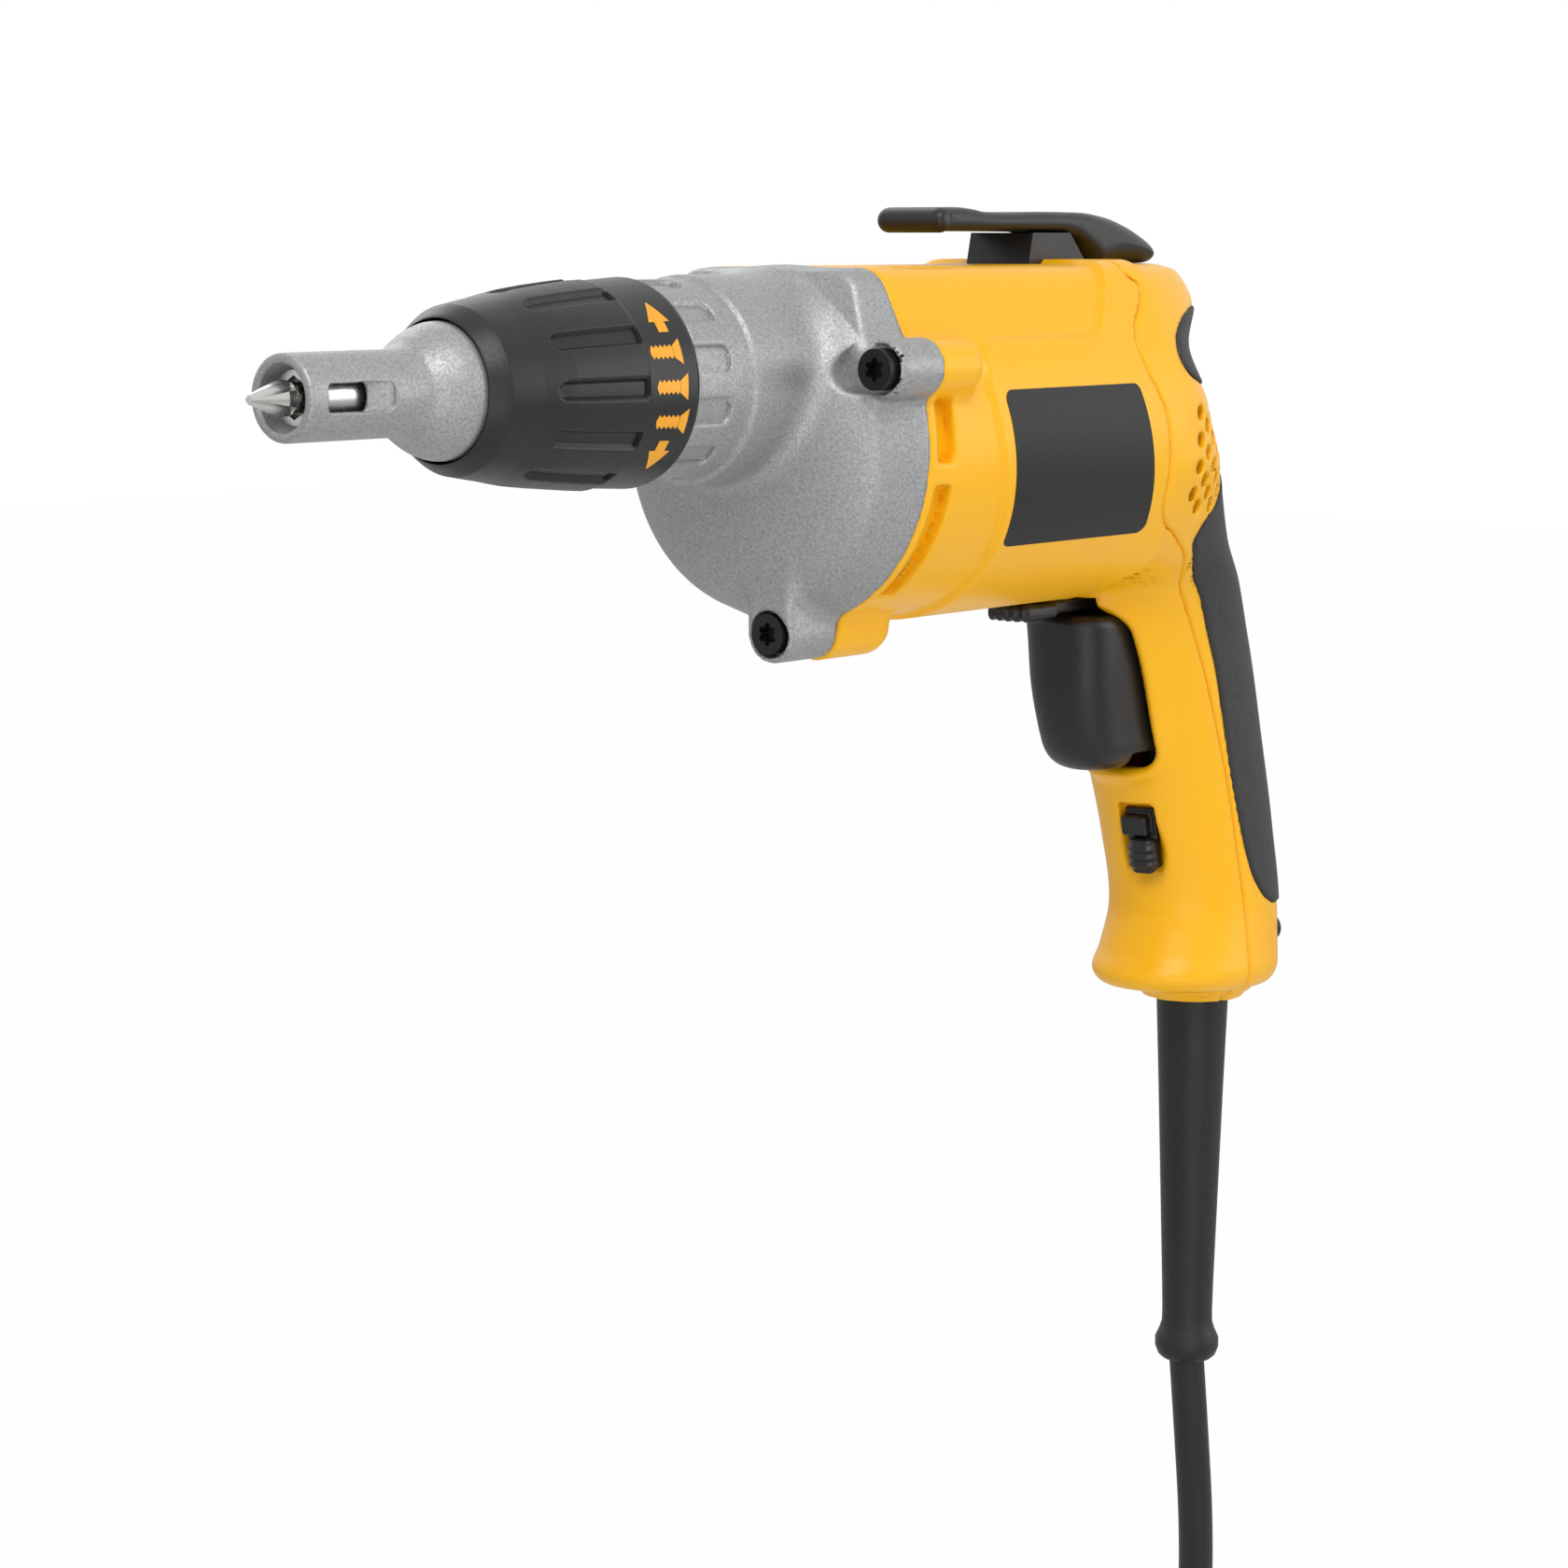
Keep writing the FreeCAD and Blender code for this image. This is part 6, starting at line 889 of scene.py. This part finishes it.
def trigger_gap(x, y, z):
    """A blade whose level sections are half an oval of power 2.5 in front of a straight body, with rounded
    ends and a skirt back along each side, plus the square stem that works the switch."""
    front = through(TRIGGER_FRONT[:, 0], TRIGGER_FRONT[:, 1], z)
    ahead = np.maximum(front + 9.5 - x, 0.0) / 9.5
    oval = (ahead ** 2.5 + ((np.abs(y) + narrowing(z)) / 10.2) ** 2.5) ** (1.0 / 2.5)
    blade = soft_max((oval - 1.0) * 9.8, z + 53.5, 2.8)
    blade = soft_max(blade, -88.0 - z, 6.0)
    skirt = np.where(np.abs(y) > 8.2, 242.2 + 0.2 * (-54.0 - z), 238.0)
    blade = soft_max(blade, x - skirt, 0.6)
    return np.minimum(blade, box_gap((x - 244.0, y, z + 71.0), (10.4, 3.0, 3.0), 0.3))


def lever_gap(x, y, z):
    """A knob with five ribs across its front, an arm back to the pivot, and the pivot's pin."""
    ribs = 0.25 * np.cos(2.0 * np.pi * y / 2.2) * eased((210.0 - x) / 6.0)
    crown = 1.6 * (y / 5.4) ** 2
    knob = box_gap((x - 208.2 - 0.5 * crown, y, z + 51.6), (5.6, 5.6, 1.65), 1.2) - ribs
    arm = box_gap((x - 232.0, y, z + 51.35), (21.5, 3.5, 1.3), 0.6)
    pin = np.maximum(np.hypot(x - 250.0, y) - 2.0, np.maximum(-58.2 - z, z + 51.0))
    return np.minimum(soft_min(knob, arm, 1.0), pin)


def lock_gap(x, y, z):
    """A block and a ribbed oval pad on one plate, in the lock's own coordinates, with a stem behind."""
    depth, across, travel = at_lock(x, y, z)
    ribs = 0.22 * np.cos(2.0 * np.pi * (travel + 5.6) / 1.9) * eased((0.5 - depth) / 2.0)
    pad = box_gap((depth - 0.4, across + 0.6, travel + 5.6), (2.6, 3.3, 4.2), 2.3) - ribs
    block = box_gap((depth - 0.9, across - 0.8, travel - 1.3), (1.9, 3.0, 2.2), 0.6)
    plate = box_gap((depth - 2.4, across, travel + 2.2), (0.8, 3.6, 7.0), 0.4)
    stem = box_gap((depth - 5.0, across, travel), (3.0, 1.5, 3.0), 0.2)
    return np.minimum(soft_min(soft_min(pad, plate, 0.6), block, 0.6), stem)


moulded(
    "trigger_blade", trigger_gap, (218.0, -10.5, -88.4), (254.8, 10.5, -53.2), 0.6, "trigger",
    BLACK_NYLON, ["trigger"])
moulded(
    "reversing_knob", lever_gap, (200.2, -8.6, -58.6), (253.9, 8.6, -49.6), 0.35, "reversing_lever",
    BLACK_NYLON, ["reversing_lever"])
moulded(
    "lock_pad", lock_gap, (244.0, -8.0, -117.0), (262.0, 4.0, -95.0), 0.3, "lock_slide",
    BLACK_NYLON, ["lock_slide"])

# %% [markdown]
# ## Belt clip
# The clip is bent from one thick moulding: a rolled tip, a long arm over the deck, and a block that comes down
# behind and takes the screw. Its outline is drawn from the side by two lines, and the width is rounded off.

# %% Belt clip from its side outline
CLIP_TOP = np.array([
    (168.0, 32.4), (176.0, 32.5), (181.0, 32.2), (186.0, 31.6), (192.0, 31.5), (205.0, 31.7), (218.0, 31.6),
    (229.0, 30.8), (237.0, 29.2), (243.0, 27.0), (248.0, 24.4)])
CLIP_LOW = np.array([
    (168.0, 27.7), (190.0, 27.7), (210.0, 27.6), (216.0, 26.8), (221.0, 24.0), (226.0, 20.95), (234.0, 20.95),
    (248.0, 20.95)])
CLIP_TIP = (171.2, 29.9, 2.5)
CLIP_HALF = 8.5


def line_and_lean(line, x):
    """An outline's height at a place, and how far it rises over the millimetre about it."""
    places, heights = line.T
    return through(places, heights, x), through(places, heights, x + 0.5) - through(places, heights, x - 0.5)


def clip_gap(x, y, z):
    """Between a top and a low line, squared up by their slopes, closed by a rolled tip, cut off behind and
    rounded at the sides, with a counterbore for the screw."""
    top, top_lean = line_and_lean(CLIP_TOP, x)
    low, low_lean = line_and_lean(CLIP_LOW, x)
    above = (z - top) / np.hypot(1.0, top_lean)
    below = (np.maximum(low, 20.95) - z) / np.hypot(1.0, low_lean)
    arm = np.maximum(soft_max(above, below, 0.8), CLIP_TIP[0] - x)
    arm = np.minimum(arm, np.hypot(x - CLIP_TIP[0], z - CLIP_TIP[1]) - CLIP_TIP[2])
    side_round = 2.4 + 4.0 * eased((x - 215.0) / 25.0)
    arm = soft_max(soft_max(arm, x - 248.0, 2.0), np.abs(y) - CLIP_HALF, side_round)
    screw = np.hypot(x - 236.0, y)
    return soft_max(arm, -np.minimum(np.maximum(screw - 3.7, 23.8 - z), screw - 2.2), 0.5)


moulded(
    "belt_clip_moulding", clip_gap, (167.4, -8.6, 20.9), (248.1, 8.6, 33.6), 0.55, "frame",
    BLACK_NYLON, ["belt_clip"])

# %% [markdown]
# ## Surfaces on two parameters
# What is turned, wrapped or drawn along a path does have two parameters. Such a piece is an array of rows and
# columns of points. It closes on itself both ways, or it is a thin plate with a front, a back and four rims.

# %% Meshes from arrays of points
SHARP_ANGLE = np.radians(38.0)


def facing_out(points, faces):
    """The same faces, turned over if the volume that they close, summed over their triangles as seen from the
    origin, comes out negative."""
    a, b, c, d = (points[faces[:, i]] for i in range(4))
    volume = np.einsum("ij,ij->", a, np.cross(b, c)) + np.einsum("ij,ij->", a, np.cross(c, d))
    return faces if volume > 0.0 else faces[:, ::-1]


def smooth_mesh(name, points, faces):
    """A mesh whose faces look outwards and where only folds past a set angle stay sharp."""
    mesh = bpy.data.meshes.new(name)
    mesh.from_pydata(points.tolist(), [], facing_out(points, faces).tolist())
    mesh.shade_smooth()
    mesh.set_sharp_from_angle(angle=SHARP_ANGLE)
    return mesh


def closed_grid(rows):
    """Points and faces of an array that closes on itself along its rows and its columns."""
    count, width = rows.shape[:2]
    i, j = np.meshgrid(np.arange(count), np.arange(width), indexing="ij")
    ahead, aside = (i + 1) % count, (j + 1) % width
    faces = np.stack([i * width + j, ahead * width + j, ahead * width + aside, i * width + aside], axis=-1)
    return rows.reshape(-1, 3), faces.reshape(-1, 4)


def plate_grid(front, back):
    """Points and faces of a thin plate: both arrays side by side, wrapped round as one closed band whose two
    open ends are joined strip by strip."""
    band = np.concatenate([front, back[:, ::-1]], axis=1)
    count, width = band.shape[:2]
    i, j = np.meshgrid(np.arange(count - 1), np.arange(width), indexing="ij")
    aside = (j + 1) % width
    faces = np.stack([i * width + j, (i + 1) * width + j, (i + 1) * width + aside, i * width + aside], axis=-1)
    k = np.arange(front.shape[1] - 1)
    first = np.stack([k, k + 1, width - 2 - k, width - 1 - k], axis=-1)
    last = first[:, ::-1] + (count - 1) * width
    return band.reshape(-1, 3), np.concatenate([faces.reshape(-1, 4), first, last])


def turned_rows(profile, count, bend):
    """A closed outline of axial places and radii carried round the spindle axis in equal steps. The bend
    changes the radius by place and angle."""
    angle = np.linspace(0.0, 2.0 * np.pi, count, endpoint=False)[None, :]
    place, radius = profile[:, :1] + 0.0 * angle, profile[:, 1:] + 0.0 * angle
    radius = bend(place, radius, angle)
    return np.stack([place, -radius * np.sin(angle), radius * np.cos(angle)], axis=-1)


def grid_piece(name, grid, body, material, nodes):
    """A piece from the points and faces of an array."""
    return dressed(smooth_mesh(name, *grid), name, body, material, nodes)


print("edges sharper than", round(float(np.degrees(SHARP_ANGLE))), "degrees stay sharp")

# %% [markdown]
# ## Depth collar
# The collar is turned by hand, so its cone carries twelve broad lands with slots between them, rounded in front
# and stepped off before the smooth band. It could be cut with booleans. As a surface of place and angle, the
# slots are one formula: a step down inside a slot's outline.

# %% Collar with lands and slots
COLLAR_OUTSIDE = np.array([
    (36.6, 12.9), (36.9, 13.2), (37.6, 13.7), (39.0, 14.6), (40.0, 15.15), (43.5, 15.75), (47.0, 16.3),
    (50.0, 16.9), (54.0, 17.6), (60.0, 18.3), (66.0, 18.85), (70.6, 19.2), (71.0, 19.1), (71.5, 18.75),
    (76.0, 18.95), (83.4, 19.4), (84.1, 19.2)])
COLLAR_INSIDE = np.array([
    (84.1, 16.2), (67.0, 16.2), (66.9, 14.85), (40.1, 14.85), (40.0, 12.75), (36.6, 12.75)])
SLOT_HALF, SLOT_DEPTH, SLOT_WALL = 2.0, 1.05, 0.8
SLOT_START, SLOT_END = 52.4, 71.2
LANDS = 12


def slotted(place, radius, angle):
    """The collar's radius less a slot: the gap to a slot's outline, round in front and square behind, eased
    from its border to its floor."""
    turn = angle * LANDS / (2.0 * np.pi)
    arc = (turn - np.round(turn)) * 2.0 * np.pi / LANDS * 18.0
    outline = np.hypot(np.minimum(place - SLOT_START, 0.0) * 0.75, arc) - SLOT_HALF
    outside = (radius > 16.3) & (place < SLOT_END)
    return radius - np.where(outside, SLOT_DEPTH * eased(-outline / SLOT_WALL), 0.0)


place = np.unique(np.concatenate([
    np.linspace(36.6, 84.1, 90), np.linspace(48.5, 53.0, 22), COLLAR_OUTSIDE[:, 0]]))
outside = np.stack([place, np.interp(place, COLLAR_OUTSIDE[:, 0], COLLAR_OUTSIDE[:, 1])], axis=1)
rows = turned_rows(np.concatenate([outside, COLLAR_INSIDE]), 384, slotted)
grid_piece(
    "depth_collar", closed_grid(placed(rows)), "collar", BLACK_NYLON, ["adjusting_collar"])

# %% [markdown]
# ## Printed marks and the bare plate
# Round the collar's band runs a printed row of signs: arrows both ways and screws set to three depths, drawn
# here in a plain form of its own. The sleeve carries a dark plate with rounded corners, which stays bare. Both
# are thin plates bent round a cylinder.

# %% Depth marks on the collar
MARK_RISE = 0.05
MARK_SINK = 0.25
BAND_SLOPE = (84.1 - 71.5, 19.4 - 18.75)


def on_band(arc, place, lift):
    """A point of the collar's band: an arc length up from the left-hand side, a place along the axis and a
    lift, on the band's slightly widening radius."""
    radius = 18.75 + (place - 71.5) * BAND_SLOPE[1] / BAND_SLOPE[0] + lift
    angle = arc / 19.0
    return placed(np.stack([place + 0.0 * angle, -radius * np.cos(angle), radius * np.sin(angle)], axis=-1))


def mark(arc, place):
    """A thin plate whose front and back follow the band, from arrays of arc lengths and places."""
    return plate_grid(on_band(arc, place, MARK_RISE), on_band(arc, place, -MARK_SINK))


def tapered(start, end, half_widths, middle, rows=9, columns=9):
    """Arrays for a sign: the way runs evenly from start to end, and the width follows a row of half widths."""
    way = np.linspace(start, end, rows)[:, None]
    share = np.linspace(0.0, 1.0, len(half_widths))
    half = np.interp(np.linspace(0.0, 1.0, rows), share, half_widths)[:, None]
    across = middle + half * np.linspace(-1.0, 1.0, columns)[None, :]
    return way + 0.0 * across, across


signs = []
for way in (-1.0, 1.0):
    arc, place = tapered(way * 12.4, way * 17.0, (2.6, 0.15), 77.6)
    signs.append(mark(arc, place))
    arc, place = tapered(way * 10.2, way * 12.4, (1.2, 1.2), 77.6, 4, 5)
    signs.append(mark(arc, place))
for number, shift in enumerate((-0.7, 0.0, 0.7)):
    middle = 6.4 * (1 - number)
    place, arc = tapered(79.0 + shift, 81.0 + shift, (1.1, 2.4), middle)
    signs.append(mark(arc, place))
    threads = (0.8, 1.35) * 5 + (0.3,)
    place, arc = tapered(78.9 + shift, 73.2 + shift, threads, middle, 31, 5)
    signs.append(mark(arc, place))
starts = np.cumsum([0] + [len(points) for points, _ in signs[:-1]])
mark_points = np.concatenate([points for points, _ in signs])
mark_faces = np.concatenate([
    facing_out(points, faces) + start for (points, faces), start in zip(signs, starts)])
grid_piece("depth_marks", (mark_points, mark_faces), "collar", SCREEN_INK, [])

# %% Bare plate on the sleeve
PLATE_LOW_X, PLATE_HIGH_X = (160.3, 208.4), (155.2, 200.6)
PLATE_Z = (-33.4, -2.6)
PLATE_R = 36.4
PLATE_CORNER = 2.2
PLATE_RISE, PLATE_SINK = 0.14, 0.3

low, high = (np.arcsin((z - MOTOR_Z) / PLATE_R) * PLATE_R for z in PLATE_Z)
ease = 0.5 - 0.5 * np.cos(np.pi * np.linspace(0.0, 1.0, 60))
length = PLATE_LOW_X[1] - PLATE_LOW_X[0]
near_end = np.minimum(length * np.minimum(ease, 1.0 - ease), PLATE_CORNER)[:, None]
inset = PLATE_CORNER - np.sqrt(np.maximum(PLATE_CORNER ** 2 - (PLATE_CORNER - near_end) ** 2, 0.0))
share = np.linspace(0.0, 1.0, 48)[None, :]
angle = (low + inset + (high - low - 2.0 * inset) * share) / PLATE_R
first, last = (a + (b - a) * share for a, b in zip(PLATE_LOW_X, PLATE_HIGH_X))
place = first + (last - first) * ease[:, None]


def on_sleeve(radius):
    """Points of the sleeve on the tool's left: a radius from the motor axis at each angle and place."""
    across, height = -radius * np.cos(angle), MOTOR_Z + radius * np.sin(angle)
    return placed(np.stack([place + 0.0 * angle, across, height], axis=-1))


plate = plate_grid(on_sleeve(PLATE_R + PLATE_RISE), on_sleeve(PLATE_R - PLATE_SINK))
grid_piece("bare_plate", plate, "frame", PLATE_FILM, [])

# %% [markdown]
# ## Cord sleeve, strap and plug
# These rubber and textile pieces belong to the cord. The sleeve is turned about the cord's line, with a bead at
# its end. The strap is a flat band on an oblong path round the loops, and the plug is a row of rounded sections
# with finger ribs on its neck.

# %% Sleeve round the cord
SLEEVE_OUTLINE = np.array([
    (-134.8, 4.12), (-134.7, 9.9), (-135.1, 10.5), (-136.8, 10.5), (-137.2, 8.1), (-146.0, 8.1), (-165.0, 7.4),
    (-190.0, 6.6), (-212.0, 5.9), (-218.6, 5.75), (-221.5, 5.8), (-223.4, 6.4), (-225.4, 7.3), (-227.4, 7.3),
    (-229.2, 6.6), (-230.0, 5.7), (-230.0, 4.12)])

angle = np.linspace(0.0, 2.0 * np.pi, 96, endpoint=False)[None, :]
height, radius = SLEEVE_OUTLINE[:, :1] + 0.0 * angle, SLEEVE_OUTLINE[:, 1:] + 0.0 * angle
rows = np.stack([CORD_X + radius * np.cos(angle), radius * np.sin(angle), height], axis=-1)
grid_piece("cord_sleeve", closed_grid(placed(rows)), "frame", RUBBER_JACKET, ["cord_protector"])

# %% Strap round the loops
STRAP_ENDS = (251.2, 288.0)
STRAP_MIDDLE = (30.0, -455.0)
STRAP_INNER, STRAP_THICK, STRAP_HALF = 4.35, 1.2, 4.0

turn = np.linspace(0.0, 1.0, 160, endpoint=False)
section = np.array([
    (0.0, -1.0), (0.15, -1.06), (0.85, -1.06), (1.0, -1.0), (1.0, 1.0), (0.85, 1.06), (0.15, 1.06), (0.0, 1.0)])
loop = 2.0 * np.pi * turn[:, None]
radius = STRAP_INNER + STRAP_THICK * section[None, :, 0]
end_x = np.where(np.cos(loop) >= 0.0, STRAP_ENDS[1], STRAP_ENDS[0])
rows = np.stack([
    end_x + radius * np.cos(loop), STRAP_MIDDLE[0] + radius * np.sin(loop),
    STRAP_MIDDLE[1] + 0.94 * STRAP_HALF * section[None, :, 1] + 0.0 * loop], axis=-1)
strap = grid_piece("loop_strap", closed_grid(placed(rows)), "frame", STRAP_WEAVE, ["cord_tie"])

# %% Plug body
PLUG_X, PLUG_Y, PLUG_FOOT = PLUG_END
PLUG_STATIONS = np.array([
    (-400.0, 6.2, 6.2), (-391.0, 6.6, 7.0), (-384.0, 7.4, 9.2), (-378.0, 8.5, 11.9), (-371.0, 9.0, 13.0),
    (-363.0, 9.0, 13.0), (-362.0, 8.3, 12.3)])
PLUG_POWER = 2.6
PLUG_NEEDLE = 0.01

height = np.linspace(PLUG_FOOT, PLUG_STATIONS[-1, 0], 96)[:, None]
depth = through(PLUG_STATIONS[:, 0], PLUG_STATIONS[:, 1], height)
half = through(PLUG_STATIONS[:, 0], PLUG_STATIONS[:, 2], height)
ribs = 0.45 * eased((-386.0 - height) / 3.0) * np.cos(2.0 * np.pi * height / 3.4)
angle = np.linspace(0.0, 2.0 * np.pi, 80, endpoint=False)[None, :]
along = np.sign(np.cos(angle)) * np.abs(np.cos(angle)) ** (2.0 / PLUG_POWER)
across = np.sign(np.sin(angle)) * np.abs(np.sin(angle)) ** (2.0 / PLUG_POWER)
rows = np.stack([
    PLUG_X + (depth + ribs) * along, PLUG_Y + (half + ribs) * across, height + 0.0 * angle], axis=-1)
core = np.array([PLUG_X, PLUG_Y])
ends = rows[[-1, 0]].copy()
ends[..., :2] = core + PLUG_NEEDLE * (ends[..., :2] - core)
plug_grid = closed_grid(placed(np.concatenate([rows, ends])))
plug = grid_piece("plug_moulding", plug_grid, "frame", RUBBER_JACKET, ["plug_body"])

# %% The cord's facts
print("cord of", CORD_DIAMETER, "mm ends in its plug")

# %% [markdown]
# ## Last step
# The view layer is brought up to date.

bpy.context.view_layer.update()
